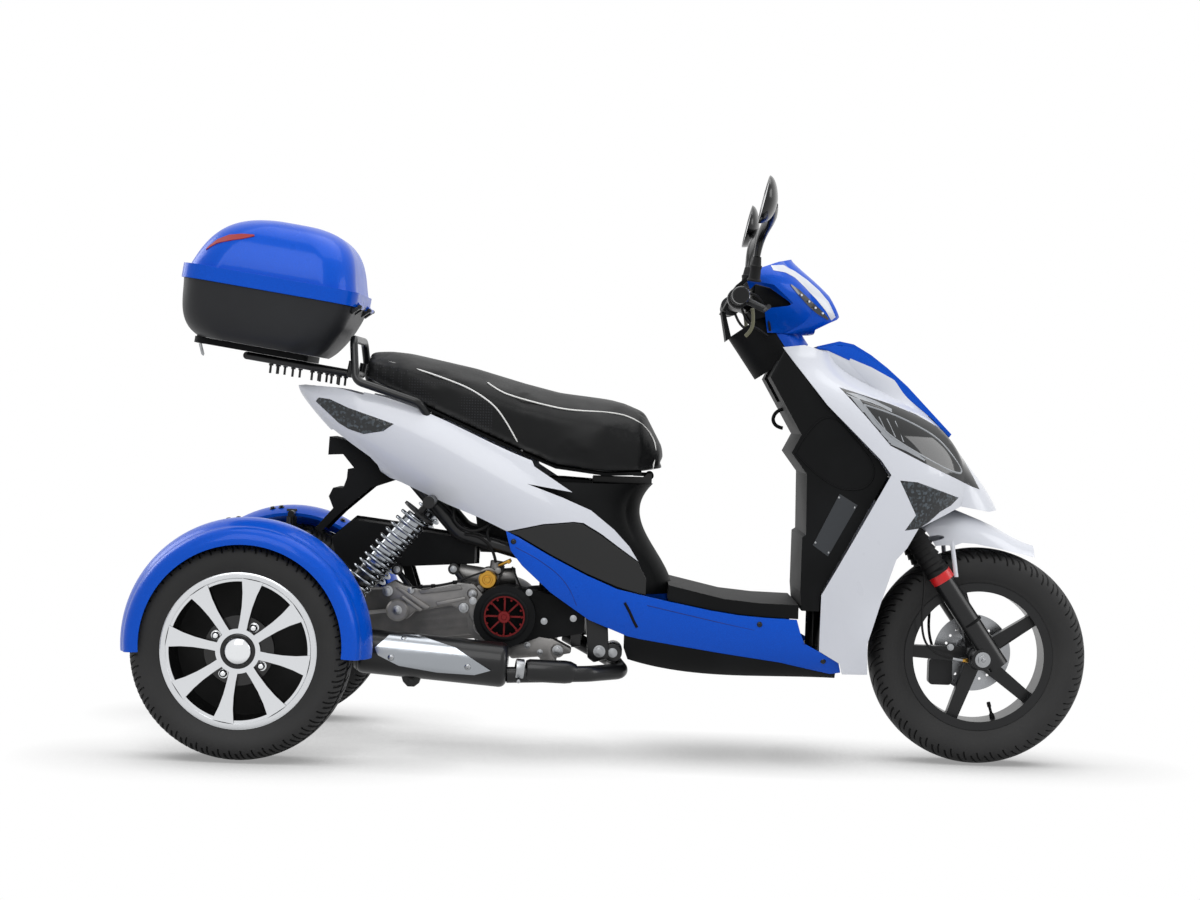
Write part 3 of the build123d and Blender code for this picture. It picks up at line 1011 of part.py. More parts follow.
# Columns: height up to the belt, length, width, shift along the length, corner radius
TUB_SHARES = [(0.0, 0.70, 0.80, -0.02, 0.18), (0.12, 0.80, 0.88, -0.03, 0.20), (0.50, 0.93, 0.96, -0.02, 0.20),
              (1.0, 1.0, 1.0, 0.0, 0.20)]
LID_HEIGHT = 157.0
LID_FLANGE = 9.0
LID_SHARES = [(0.20, 0.97, 0.985, 0.01, 0.20), (0.50, 0.885, 0.93, 0.02, 0.21), (0.78, 0.74, 0.80, 0.035, 0.22),
              (0.95, 0.50, 0.58, 0.045, 0.20), (1.0, 0.30, 0.36, 0.05, 0.12)]
BELT_SHARE = 0.20


def case_loft(rows, low, height, wall, lengthen=0.0):
    """Rounded oblong sections of the top case, stacked square to its tipped plane."""
    with BuildPart() as body:
        for up, long, wide, shift, corner in rows:
            with BuildSketch(CASE_PLANE.offset(low + height * up)):
                with Locations((CASE_SHIFT + CASE_LENGTH * shift, 0)):
                    RectangleRounded(CASE_LENGTH * long + lengthen - wall * 2,
                                     CASE_WIDTH * wide + lengthen - wall * 2, CASE_LENGTH * corner)
        loft()
    return body.part


# Hinge of the lid at the case's front: two sets of knuckles, in the case's own plane
LID_HINGE = (-579.0, 949.0)
LID_PIN_R = 2.5
LID_KNUCKLE_R = 4.5
LID_HINGE_SIDE = 95.0
TUB_KNUCKLE = 20.0
LID_KNUCKLE = 44.0
KNUCKLE_GAP = 0.5
TUB_LUG_SHARES = [(-3.6, -3.6), (-3.6, -0.6), (-1.3, -0.7), (0.0, 0.9), (0.9, 0.0), (0.0, -1.0)]
LID_LUG_SHARES = [(0.0, 0.95), (-1.6, 3.0), (-2.4, 4.2), (-2.8, 1.4), (-1.5, 0.4), (-0.5, -0.6)]


def lid_lugs(shares, low, high):
    """Knuckles and lugs between two distances from the middle of each hinge set."""
    outline = placed(shares, LID_HINGE, (LID_KNUCKLE_R, LID_KNUCKLE_R))
    with BuildPart() as lugs:
        for side in (-1, 1):
            for inward in (-1, 1):
                near = side * LID_HINGE_SIDE + inward * low
                far = side * LID_HINGE_SIDE + inward * high
                rod((LID_HINGE[0], near, LID_HINGE[1]), (LID_HINGE[0], far, LID_HINGE[1]), LID_KNUCKLE_R)
                add(side_slab(outline, -near, -far))
    return lugs.part


with BuildPart() as case_tub:
    add(case_loft(TUB_SHARES, 0, CASE_BELT, 0))
    add(lid_lugs(TUB_LUG_SHARES, LID_KNUCKLE / 2 + KNUCKLE_GAP, LID_KNUCKLE / 2 + TUB_KNUCKLE))
    add(case_loft(TUB_SHARES, CASE_WALL, CASE_BELT, CASE_WALL), mode=Mode.SUBTRACT)
    for side in (-1, 1):
        rod((LID_HINGE[0], side * LID_HINGE_SIDE - LID_KNUCKLE, LID_HINGE[1]),
            (LID_HINGE[0], side * LID_HINGE_SIDE + LID_KNUCKLE, LID_HINGE[1]), LID_PIN_R)
pieces["case_tub"] = case_tub.part

with BuildPart() as case_lid:
    add(case_loft(LID_SHARES, CASE_BELT, LID_HEIGHT, 0))
    with BuildSketch(CASE_PLANE.offset(CASE_BELT + SEAM)):
        with Locations((CASE_SHIFT, 0)):
            RectangleRounded(CASE_LENGTH + LID_FLANGE, CASE_WIDTH + LID_FLANGE, CASE_LENGTH * BELT_SHARE)
    extrude(amount=LID_HEIGHT * BELT_SHARE - SEAM)
    add(lid_lugs(LID_LUG_SHARES, 0, LID_KNUCKLE / 2))
    add(case_loft(LID_SHARES, CASE_BELT - CASE_WALL, LID_HEIGHT, CASE_WALL), mode=Mode.SUBTRACT)
    with BuildSketch(CASE_PLANE.offset(CASE_BELT - CUT)):
        with Locations((CASE_SHIFT + CASE_LENGTH * LID_SHARES[0][3], 0)):
            RectangleRounded(CASE_LENGTH * LID_SHARES[0][1] - CASE_WALL * 2,
                             CASE_WIDTH * LID_SHARES[0][2] - CASE_WALL * 2, CASE_LENGTH * BELT_SHARE)
    extrude(amount=LID_HEIGHT * BELT_SHARE + CUT, mode=Mode.SUBTRACT)
    for side in (-1, 1):
        rod((LID_HINGE[0], side * LID_HINGE_SIDE - LID_KNUCKLE, LID_HINGE[1]),
            (LID_HINGE[0], side * LID_HINGE_SIDE + LID_KNUCKLE, LID_HINGE[1]), LID_PIN_R + FIT, Mode.SUBTRACT)
pieces["case_lid"] = case_lid.part

# Plate and rack below the top case
PLATE_LENGTH = 250.0
PLATE_WIDTH = 240.0
PLATE_THICK = 14.0

with BuildPart() as case_plate:
    with BuildSketch(CASE_PLANE.offset(-SEAM)):
        with Locations((CASE_SHIFT * 2, 0)):
            RectangleRounded(PLATE_LENGTH, PLATE_WIDTH, PLATE_THICK * 2)
    extrude(amount=-PLATE_THICK)
pieces["case_plate"] = case_plate.part

# Rack bars under the case's plate, along its tipped plane
RACK_BACK = -55.0
RACK_FRONT = 178.0
RACK_HALF = 70.0
RACK_DROP = PLATE_THICK + RAIL_TUBE_R + SEAM * 2


def rack_point(along, side):
    """Point of the rack in the case's tipped plane."""
    return CASE_PLANE.from_local_coords(Vector(along, side, -RACK_DROP))


with BuildPart() as grab_rail:
    add(bent_tube(RAIL_HALF_ROUTE + [(x, -y, z) for x, y, z in reversed(RAIL_HALF_ROUTE)], RAIL_TUBE_R, RAIL_BEND))
    rod(rack_point(RACK_FRONT, -RAIL_HALF_ROUTE[-1][1]), rack_point(RACK_FRONT, RAIL_HALF_ROUTE[-1][1]), RAIL_TUBE_R)
    rod(rack_point(RACK_BACK, -RACK_HALF), rack_point(RACK_BACK, RACK_HALF), RAIL_TUBE_R)
    for side in (-1, 1):
        rod(rack_point(RACK_BACK, side * RACK_HALF), rack_point(RACK_FRONT, side * RACK_HALF), RAIL_TUBE_R)
        rod(rack_point(RACK_FRONT, side * RAIL_HALF_ROUTE[-1][1]),
            (RAIL_HALF_ROUTE[-1][0], side * RAIL_HALF_ROUTE[-1][1], RAIL_HALF_ROUTE[-1][2] - RAIL_BEND * 2), RAIL_TUBE_R)
pieces["grab_rail"] = grab_rail.part

# Power unit: crankcase, shroud, fan grille, drive case and silencer
CASE_MIDDLE = (-250.0, 290.0)
CRANK_R = 78.0
CRANK_HALF = 95.0
ARM_DEPTH = 70.0
BARREL_R = 58.0
BARREL_END = -75.0
FIN_R = 71.0
FIN_THICK = 3.0
FIN_PITCH = 9.0
FIN_COUNT = 4
FIN_FROM = 82.0      # first fin, along the barrel from the crankshaft
FAN_PLACE = (-243.0, 299.0)
FAN_R = 66.0
FAN_FACE = 182.0
SHROUD_DEPTH = 50.0
GRILLE_R = 44.0
GRILLE_THICK = 5.0
GRILLE_RINGS = 3
GRILLE_BARS = 8
GRILLE_WEB = 3.6

with BuildPart() as engine_case:
    with BuildSketch(Plane.XZ.offset(-CRANK_HALF)):
        with Locations(CASE_MIDDLE):
            Circle(CRANK_R)
    extrude(amount=CRANK_HALF * 2)
    rod((CASE_MIDDLE[0], 0, CASE_MIDDLE[1]), (BARREL_END, 0, CASE_MIDDLE[1] + ARM_DEPTH / 4), BARREL_R)
    barrel_way = Vector(BARREL_END - CASE_MIDDLE[0], 0, ARM_DEPTH / 4).normalized()
    for fin in range(FIN_COUNT):
        with Locations(Plane(origin=Vector(CASE_MIDDLE[0], 0, CASE_MIDDLE[1]) + barrel_way * (FIN_FROM + fin * FIN_PITCH),
                             z_dir=barrel_way)):
            Cylinder(FIN_R, FIN_THICK)
    add(side_slab([(CASE_MIDDLE[0], CASE_MIDDLE[1] + ARM_DEPTH / 2), (REAR_AXLE_X + DIFF_R - CUT, REAR_TYRE_R + ARM_DEPTH / 2),
                   (REAR_AXLE_X + DIFF_R - CUT, REAR_TYRE_R - ARM_DEPTH / 3),
                   (CASE_MIDDLE[0], CASE_MIDDLE[1] - ARM_DEPTH / 2)], -DIFF_HALF, DIFF_HALF))
    add(axle_carrier.part, mode=Mode.SUBTRACT)
pieces["engine_case"] = engine_case.part

with BuildPart() as engine_shroud:
    with BuildSketch(Plane.XZ.offset(CRANK_HALF + SEAM)):
        with Locations(FAN_PLACE):
            Circle(FAN_R)
    extrude(amount=FAN_FACE - CRANK_HALF)
    with BuildSketch(Plane.XZ.offset(CRANK_HALF + SEAM)):
        with BuildLine():
            Polyline((FAN_PLACE[0], FAN_PLACE[1] + FAN_R), (BARREL_END + CUT, FAN_PLACE[1] + FAN_R / 2),
                     (BARREL_END + CUT, FAN_PLACE[1] - FAN_R / 2), (FAN_PLACE[0], FAN_PLACE[1] - FAN_R), close=True)
        make_face()
    extrude(amount=SHROUD_DEPTH)
    with BuildSketch(Plane.XZ.offset(FAN_FACE - SHROUD_DEPTH)):
        with Locations(FAN_PLACE):
            Circle(GRILLE_R + SEAM)
    extrude(amount=SHROUD_DEPTH * 2, mode=Mode.SUBTRACT)
pieces["engine_shroud"] = engine_shroud.part

with BuildPart() as fan_grille:
    with BuildSketch(Plane.XZ.offset(FAN_FACE - GRILLE_THICK)):
        with Locations(FAN_PLACE):
            for ring in range(GRILLE_RINGS):
                Circle(GRILLE_R * (ring + 1) / GRILLE_RINGS)
                Circle(GRILLE_R * (ring + 1) / GRILLE_RINGS - GRILLE_WEB, mode=Mode.SUBTRACT)
            with PolarLocations(GRILLE_R / 2, GRILLE_BARS):
                Rectangle(GRILLE_R - GRILLE_WEB, GRILLE_WEB)
            Circle(GRILLE_R / GRILLE_BARS)
    extrude(amount=GRILLE_THICK)
pieces["fan_grille"] = fan_grille.part

DRIVE_FACE = 172.0
DRIVE_HEIGHT = 120.0
with BuildPart() as drive_case:
    with BuildSketch(Plane.XZ.offset(-CRANK_HALF - SEAM)):
        with Locations(CASE_MIDDLE):
            Circle(DRIVE_HEIGHT / 2)
        with Locations((REAR_AXLE_X + DIFF_R * 2, REAR_TYRE_R + ARM_DEPTH / 2)):
            Circle(DRIVE_HEIGHT / 2)
        make_hull()
    extrude(amount=CRANK_HALF - DRIVE_FACE)
pieces["drive_case"] = drive_case.part

MUFFLER_BACK = (-548.0, 222.0)
MUFFLER_FRONT = (-230.0, 200.0)
MUFFLER_SIDE = 232.0
MUFFLER_R = 47.0
PIPE_R = 17.0
PIPE_BEND = 40.0
SHIELD_PLATE = 2.5

with BuildPart() as muffler:
    rod((MUFFLER_BACK[0], -MUFFLER_SIDE, MUFFLER_BACK[1]), (MUFFLER_FRONT[0], -MUFFLER_SIDE, MUFFLER_FRONT[1]),
        MUFFLER_R)
    fillet(muffler.edges(), MUFFLER_R / 3)
pieces["muffler"] = muffler.part

HEAT_SHARES = [(0.0, 0.65), (0.12, 1.0), (0.36, 1.0), (0.69, 0.72), (1.0, 0.14), (0.86, 0.0), (0.54, 0.03),
               (0.21, 0.18), (0.03, 0.45)]
HEAT_LOW = (-507.0, 182.0)
HEAT_SIZE = (244.0, 78.0)
with BuildPart() as heat_shield:
    rod((MUFFLER_BACK[0], -MUFFLER_SIDE, MUFFLER_BACK[1]), (MUFFLER_FRONT[0], -MUFFLER_SIDE, MUFFLER_FRONT[1]),
        MUFFLER_R + SHIELD_PLATE * 2)
    rod((MUFFLER_BACK[0] - CUT, -MUFFLER_SIDE, MUFFLER_BACK[1]),
        (MUFFLER_FRONT[0] + CUT, -MUFFLER_SIDE, MUFFLER_FRONT[1]), MUFFLER_R + SHIELD_PLATE - SEAM * 4, Mode.SUBTRACT)
    add(side_slab(placed(HEAT_SHARES, HEAT_LOW, HEAT_SIZE), MUFFLER_SIDE, MUFFLER_SIDE + MUFFLER_R * 2),
        mode=Mode.INTERSECT)
pieces["heat_shield"] = heat_shield.part

PIPE_LEVEL = 186.0
PORT_LEVEL = 250.0
# Corners of the exhaust pipe: along, to the left and up
PIPE_POINTS = [(MUFFLER_FRONT[0] - CUT, -MUFFLER_SIDE, MUFFLER_FRONT[1] - PIPE_BEND / 2),
               (-60.0, -209.0, PIPE_LEVEL), (10.0, -130.0, PIPE_LEVEL), (-10.0, -40.0, 200.0),
               (BARREL_END - PIPE_BEND, 0.0, PORT_LEVEL)]
with BuildPart() as exhaust_pipe:
    add(bent_tube(PIPE_POINTS, PIPE_R, PIPE_BEND))
    add(muffler.part, mode=Mode.SUBTRACT)
    add(engine_case.part, mode=Mode.SUBTRACT)
pieces["exhaust_pipe"] = exhaust_pipe.part

# Spring units from the frame down to the axle
ROD_R = 7.0
SPRING_R = 35.0
WIRE_R = 4.5
COILS = 9
SEAT_R = 38.0
SEAT_THICK = 5.0


def along_spring(part, side):
    """Point on a spring unit's centre line, from its top eye down to its foot."""
    return (share(SPRING_TOP[0], SPRING_FOOT[0] - SPRING_TOP[0], part), side * SPRING_SIDE,
            share(SPRING_TOP[1], SPRING_FOOT[1] - SPRING_TOP[1], part))


SPRING_FROM = 0.10
SPRING_TO = 0.82
with BuildPart() as spring_units:
    for side in (-1, 1):
        rod(along_spring(0, side), along_spring(1, side), ROD_R)
        rod(along_spring(SPRING_TO / 2, side), along_spring(1, side), DAMPER_R)
        for end in (SPRING_FROM, SPRING_TO):
            middle = Vector(*along_spring(end, side))
            down = Vector(*along_spring(1, side)) - Vector(*along_spring(0, side))
            with Locations(Plane(origin=middle, z_dir=down)):
                Cylinder(SEAT_R, SEAT_THICK)
        for end in (0, 1):
            with Locations(Plane(origin=along_spring(end, side), z_dir=(0, 1, 0))):
                Cylinder(EYE_R, EYE_R * 2)
pieces["spring_units"] = spring_units.part

SPRING_RUN = sqrt((SPRING_FOOT[0] - SPRING_TOP[0]) ** 2 + (SPRING_FOOT[1] - SPRING_TOP[1]) ** 2)
SPRING_LENGTH = SPRING_RUN * (SPRING_TO - SPRING_FROM) - SEAT_THICK


def coil_spring(length):
    """Open coil spring from the origin up +Z."""
    with BuildPart() as coil:
        with BuildLine() as wire:
            Helix(length / COILS, length, SPRING_R - WIRE_R)
        with BuildSketch(Plane(origin=wire.line @ 0, z_dir=wire.line % 0)):
            Circle(WIRE_R)
        sweep(is_frenet=True)
    return coil.part


with BuildPart() as springs:
    for side in (-1, 1):
        down = Vector(*along_spring(1, side)) - Vector(*along_spring(0, side))
        start = Vector(*along_spring(SPRING_FROM, side)) + down.normalized() * (SEAT_THICK / 2 + WIRE_R + SEAM)
        add(coil_spring(SPRING_LENGTH - (WIRE_R + SEAM) * 2).moved(Plane(origin=start, z_dir=down).location))
pieces["springs"] = springs.part

# Frame: head tube, down tube, floor rails that rise to the tail, and cross members
DOWN_TUBE_X = 427.0
RAIL_LOW = 226.0
RAIL_HALF_GAP = 118.0
CROSS_TUBE_R = 19.0
CROSS_END = 12.0
RAIL_TAPER = 10.0     # each rail's draw inwards at the tail
CROSS_PLACE = (90.0, 226.0)
DOWN_TOP = axis_point(HEAD_LOW + HEAD_LENGTH * 0.75, -HEAD_TUBE_R / 2)
RAIL_ROUTE = [(DOWN_TUBE_X, RAIL_LOW), (60.0, RAIL_LOW), (-20.0, 400.0), (-120.0, 424.0 - TUBE_R),
              (-350.0, 470.0), (-500.0, 634.0)]

with BuildPart() as frame:
    add(bent_tube([DOWN_TOP, (DOWN_TUBE_X, 0, DOWN_TOP[2] - HEAD_LENGTH * 0.8), (DOWN_TUBE_X, 0, RAIL_LOW)],
                  TUBE_R, TUBE_R * 3))
    rod((DOWN_TUBE_X, -RAIL_HALF_GAP - CROSS_END, RAIL_LOW), (DOWN_TUBE_X, RAIL_HALF_GAP + CROSS_END, RAIL_LOW),
        CROSS_TUBE_R)
    for side in (-1, 1):
        tail = (RAIL_ROUTE[-1][0], side * (RAIL_HALF_GAP - RAIL_TAPER), RAIL_ROUTE[-1][1])
        add(bent_tube([(x, side * RAIL_HALF_GAP, z) for x, z in RAIL_ROUTE[:-1]] + [tail], TUBE_R, TUBE_R * 3))
    for (x, z), half in ((CROSS_PLACE, RAIL_HALF_GAP + CROSS_END), (RAIL_ROUTE[-1], RAIL_HALF_GAP - RAIL_TAPER / 5)):
        rod((x, -half, z), (x, half, z), CROSS_TUBE_R)
    rod(axis_point(HEAD_LOW), axis_point(HEAD_LOW + HEAD_LENGTH), HEAD_TUBE_R)
    rod(axis_point(HEAD_LOW - CUT), axis_point(HEAD_LOW + HEAD_LENGTH + CUT), STEM_R + FIT, Mode.SUBTRACT)
    for side in (-1, 1):
        rod((SPRING_TOP[0], side * RAIL_HALF_GAP, SPRING_TOP[1]),
            (SPRING_TOP[0], side * (SPRING_SIDE - EYE_R - SEAM), SPRING_TOP[1]), EYE_R)
pieces["frame"] = frame.part

# Rear mudguard under the tail: a channel with three steps up its back, bolted to the rear cross tube
MUD_LOW = (-668.0, 460.0)
MUD_SIZE = (162.0, 210.0)
MUD_HALF = 70.0
MUD_WALL = 4.0
MUD_STEP_SHARES = [(0.16, 0.99), (0.15, 0.80), (0.35, 0.81), (0.505, 0.67), (0.42, 0.66), (0.41, 0.56), (0.365, 0.46),
                   (0.23, 0.46), (0.175, 0.37), (0.24, 0.25), (0.0, 0.03), (0.09, 0.0)]
MUD_FRONT_SHARES = [(0.33, 0.195), (0.73, 0.47), (1.0, 0.545), (0.96, 0.70)]
MUD_SEAT = (RAIL_ROUTE[-1][0] - CROSS_TUBE_R - SEAM, RAIL_ROUTE[-1][1])
mud_outline = (placed(MUD_STEP_SHARES, MUD_LOW, MUD_SIZE) + placed(MUD_FRONT_SHARES, MUD_LOW, MUD_SIZE)
               + [(MUD_SEAT[0], MUD_SEAT[1] - CROSS_TUBE_R / 2), (MUD_SEAT[0], MUD_SEAT[1] + CROSS_TUBE_R / 2)])

with BuildPart() as rear_mudguard:
    add(wide_slab(mud_outline, MUD_HALF))
    add(wide_slab([(x + MUD_WALL, z - MUD_WALL) for x, z in mud_outline], MUD_HALF - MUD_WALL), mode=Mode.SUBTRACT)
pieces["rear_mudguard"] = rear_mudguard.part

# Air box over the engine's arm, on two straps each side, with a parting flange round it
BOX_BACK = (-627.0, 382.0)
BOX_REACH = (311.0, 108.0)
AIR_HALF = 95.0
AIR_FLANGE = 5.0
AIR_SHARES = [(0.0, 0.63), (0.145, 1.0), (0.425, 0.91), (0.62, 0.81), (0.89, 0.72), (1.0, 0.60), (1.0, 0.20),
              (0.80, 0.155), (0.52, 0.10), (0.15, 0.0), (0.025, 0.34)]
# Straps by columns: place of the top along the box, lean of the foot
AIR_STRAPS = [(0.47, 34.0), (0.85, 17.0)]
AIR_STRAP_WIDE = 20.0
AIR_STRAP_SIDE = 40.0
AIR_STRAP_THICK = 10.0


def arm_top(x):
    """Height of the engine arm's upper face."""
    run = REAR_AXLE_X + DIFF_R - CUT - CASE_MIDDLE[0]
    return share(CASE_MIDDLE[1], REAR_TYRE_R - CASE_MIDDLE[1], (x - CASE_MIDDLE[0]) / run) + ARM_DEPTH / 2


with BuildPart() as air_box:
    outline = placed(AIR_SHARES, BOX_BACK, BOX_REACH)
    add(wide_slab(outline, AIR_HALF))
    add(wide_slab(grown(outline, AIR_FLANGE), AIR_FLANGE / 2))
    for along, lean in AIR_STRAPS:
        top = share(BOX_BACK[0], BOX_REACH[0], along)
        foot = top + lean
        strap = [(top, BOX_BACK[1] + AIR_STRAP_WIDE), (top + AIR_STRAP_WIDE, BOX_BACK[1] + AIR_STRAP_WIDE),
                 (foot + AIR_STRAP_WIDE, arm_top(foot + AIR_STRAP_WIDE) + SEAM), (foot, arm_top(foot) + SEAM)]
        for side in (-1, 1):
            add(side_slab(strap, side * AIR_STRAP_SIDE - AIR_STRAP_THICK / 2, side * AIR_STRAP_SIDE + AIR_STRAP_THICK / 2))
pieces["air_box"] = air_box.part

for name, solid in pieces.items():
    solid.label = name
    export_step(solid, f"parts/{name}.step")
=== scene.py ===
"""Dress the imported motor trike: paint, moulded plastic, rubber, metal, seat, lamps and small fittings.

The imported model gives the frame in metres: +X forward, +Y to the rider's left, +Z up, with the
origin on the ground. Sizes in this file are in millimetres unless a name says otherwise.
"""
from __future__ import annotations

import json
import logging
import math
from dataclasses import dataclass
from enum import Enum
from typing import Sequence

import bmesh
import bpy
from mathutils import Matrix, Vector
from mathutils.bvhtree import BVHTree

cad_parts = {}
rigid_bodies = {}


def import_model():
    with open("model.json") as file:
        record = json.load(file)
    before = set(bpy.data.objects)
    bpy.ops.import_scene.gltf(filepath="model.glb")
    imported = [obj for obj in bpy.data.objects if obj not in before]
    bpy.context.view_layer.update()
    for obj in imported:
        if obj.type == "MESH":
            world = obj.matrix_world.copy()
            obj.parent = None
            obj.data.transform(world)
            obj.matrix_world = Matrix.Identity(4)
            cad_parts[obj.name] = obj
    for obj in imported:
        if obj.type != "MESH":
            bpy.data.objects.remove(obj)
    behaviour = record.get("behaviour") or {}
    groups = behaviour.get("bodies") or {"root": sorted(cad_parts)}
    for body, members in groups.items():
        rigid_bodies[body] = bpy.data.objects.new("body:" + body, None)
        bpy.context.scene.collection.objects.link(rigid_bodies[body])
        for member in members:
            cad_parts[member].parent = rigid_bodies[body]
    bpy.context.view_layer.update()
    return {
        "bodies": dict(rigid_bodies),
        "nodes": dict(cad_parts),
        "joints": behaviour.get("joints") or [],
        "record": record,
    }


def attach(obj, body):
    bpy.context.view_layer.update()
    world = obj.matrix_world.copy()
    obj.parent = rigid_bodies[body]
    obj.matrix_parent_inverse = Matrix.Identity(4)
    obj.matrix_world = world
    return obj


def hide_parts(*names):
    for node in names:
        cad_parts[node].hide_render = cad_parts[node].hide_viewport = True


LOG = logging.getLogger("trike")
MM = 0.001
SIDES = (-1, 1)
WORD = {-1: "right", 1: "left"}
RIGHT = (0, -1, 0)
LEFT = (0, 1, 0)
FRONT_AXLE = (787.0, 236.5)     # x and z
REAR_AXLE = (-773.0, 228.0)
REAR_MIDDLE = 355.0             # from the vehicle's middle to a rear tyre's
CAD_MERGE_MM = 0.004            # points of a CAD mesh that are nearer than this are one
FLAT_DEG = 0.8                  # faces of a CAD mesh that bend less than this become one
MERGE_MM = 0.01                 # points of a form that are nearer than this are one
BEVEL_DEG = 40.0                # edges of a form that are sharper than this take its bevel


class Body(Enum):
    """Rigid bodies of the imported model."""

    CHASSIS = "chassis"
    STEERING = "steering"
    FRONT_WHEEL = "front_wheel"
    REAR_RIGHT = "rear_wheel_right"
    REAR_LEFT = "rear_wheel_left"
    SEAT = "seat"
    LID = "case_lid"


def linear(colour: str, alpha: float = 1.0) -> tuple[float, float, float, float]:
    """Turn an sRGB hex colour to linear.

    Args:
        colour: Six hex digits after a hash sign.
        alpha: Opacity to append.

    Returns:
        Red, green, blue and alpha.
    """
    parts = [int(colour[i:i + 2], 16) / 255 for i in (1, 3, 5)]
    red, green, blue = (c / 12.92 if c <= 0.04045 else ((c + 0.055) / 1.055) ** 2.4 for c in parts)
    return red, green, blue, alpha


def add_node(tree: bpy.types.NodeTree, kind: str, settings: dict | None = None, values: dict | None = None,
             links: dict | None = None) -> bpy.types.Node:
    """Add a shader node.

    Args:
        tree: Node tree that takes it.
        kind: Its type name.
        settings: Attributes of the node.
        values: Values of its input sockets, by name or number.
        links: Output sockets to join to its inputs, by name or number.

    Returns:
        The new node.
    """
    node = tree.nodes.new(kind)
    for key, value in (settings or {}).items():
        setattr(node, key, value)
    for key, value in (values or {}).items():
        node.inputs[key].default_value = value
    for key, socket in (links or {}).items():
        tree.links.new(socket, node.inputs[key])
    return node


@dataclass(frozen=True)
class Finish:
    """A surface: its base colour and gloss, with the detail that its making leaves."""

    name: str
    colour: str
    roughness: float
    metallic: float = 0.0
    ior: float = 1.5
    coat: float = 0.0
    coat_roughness: float = 0.05
    transmission: float = 0.0
    sheen: float = 0.0
    specular: float = 0.5

    def material(self) -> bpy.types.Material:
        """Return the finish as a material, made on first use."""
        found = bpy.data.materials.get(self.name)
        if found:
            return found
        made = bpy.data.materials.new(self.name)
        made.use_nodes = True
        tree = made.node_tree
        tree.nodes.clear()
        shader = add_node(tree, "ShaderNodeBsdfPrincipled", values={
            "Base Color": linear(self.colour), "Roughness": self.roughness, "Metallic": self.metallic,
            "IOR": self.ior, "Coat Weight": self.coat, "Coat Roughness": self.coat_roughness,
            "Transmission Weight": self.transmission, "Sheen Weight": self.sheen,
            "Specular IOR Level": self.specular})
        add_node(tree, "ShaderNodeOutputMaterial", links={"Surface": shader.outputs["BSDF"]})
        coords = add_node(tree, "ShaderNodeTexCoord").outputs["Object"]
        self.detail(tree, shader, coords)
        return made

    def detail(self, tree: bpy.types.NodeTree, shader: bpy.types.Node, coords: bpy.types.NodeSocket) -> None:
        """Add the texture of the surface; a plain finish gets a faint unevenness of gloss."""
        self.uneven_gloss(tree, shader, coords, 6.0, 0.06)

    def uneven_gloss(self, tree: bpy.types.NodeTree, shader: bpy.types.Node, coords: bpy.types.NodeSocket,
                     scale: float, spread: float) -> None:
        """Vary the roughness softly over the surface.

        Args:
            tree: Material's node tree.
            shader: Its principled shader.
            coords: Object coordinates.
            scale: Waves to a metre.
            spread: Change of roughness from side to side.
        """
        wave = add_node(tree, "ShaderNodeTexNoise", values={"Scale": scale, "Detail": 4.0}, links={"Vector": coords})
        level = add_node(tree, "ShaderNodeMapRange", values={
            "From Min": 0.3, "From Max": 0.7, "To Min": max(self.roughness - spread, 0.02),
            "To Max": self.roughness + spread}, links={"Value": wave.outputs["Fac"]})
        tree.links.new(level.outputs["Result"], shader.inputs["Roughness"])

    def two_tones(self, tree: bpy.types.NodeTree, shader: bpy.types.Node, factor: bpy.types.NodeSocket,
                  second: str) -> None:
        """Mix the base colour with a second one by a factor.

        Args:
            tree: Material's node tree.
            shader: Its principled shader.
            factor: Share of the second colour.
            second: Second colour in hex.
        """
        mix = add_node(tree, "ShaderNodeMix", {"data_type": "RGBA"},
                       {6: linear(self.colour), 7: linear(second)}, {0: factor})
        tree.links.new(mix.outputs[2], shader.inputs["Base Color"])

    def raised(self, tree: bpy.types.NodeTree, shader: bpy.types.Node, height: bpy.types.NodeSocket,
               depth_mm: float) -> None:
        """Press a height pattern into the surface, as deep as the given size."""
        bump = add_node(tree, "ShaderNodeBump", values={"Strength": 1.0, "Distance": depth_mm * MM},
                        links={"Height": height})
        tree.links.new(bump.outputs["Normal"], shader.inputs["Normal"])


@dataclass(frozen=True)
class MetallicPaint(Finish):
    """Metallic basecoat under clear lacquer: small flakes, their sparkle painted in as a lighter colour, and the
    lacquer is glass smooth.
    """

    # lighter colour of the flakes: painted highlight on the real metal flakes
    flake_glint: str = "#005ede"
    flake_mm: float = 0.9      # real flakes are about 0.05 mm, drawn coarser so that they show

    def detail(self, tree: bpy.types.NodeTree, shader: bpy.types.Node, coords: bpy.types.NodeSocket) -> None:
        """Scatter flakes of a lighter colour: real flakes with a painted highlight."""
        cells = add_node(tree, "ShaderNodeTexVoronoi", values={"Scale": 1 / (self.flake_mm * MM)},
                         links={"Vector": coords})
        pick = add_node(tree, "ShaderNodeSeparateColor", links={"Color": cells.outputs["Color"]})
        share = add_node(tree, "ShaderNodeMapRange", values={"From Min": 0.55, "To Max": 0.5},
                         links={"Value": pick.outputs["Red"]})
        self.two_tones(tree, shader, share.outputs["Result"], self.flake_glint)
        self.uneven_gloss(tree, shader, coords, 9.0, 0.04)


@dataclass(frozen=True)
class GlossShell(Finish):
    """Pigmented ABS under lacquer: even colour, mirror gloss, faint orange peel from the spray."""

    peel_mm: float = 7.0

    def detail(self, tree: bpy.types.NodeTree, shader: bpy.types.Node, coords: bpy.types.NodeSocket) -> None:
        """Ripple the lacquer slightly."""
        wave = add_node(tree, "ShaderNodeTexNoise", values={"Scale": 1 / (self.peel_mm * MM), "Detail": 1.0},
                        links={"Vector": coords})
        self.raised(tree, shader, wave.outputs["Fac"], 0.02)
        self.uneven_gloss(tree, shader, coords, 5.0, 0.03)


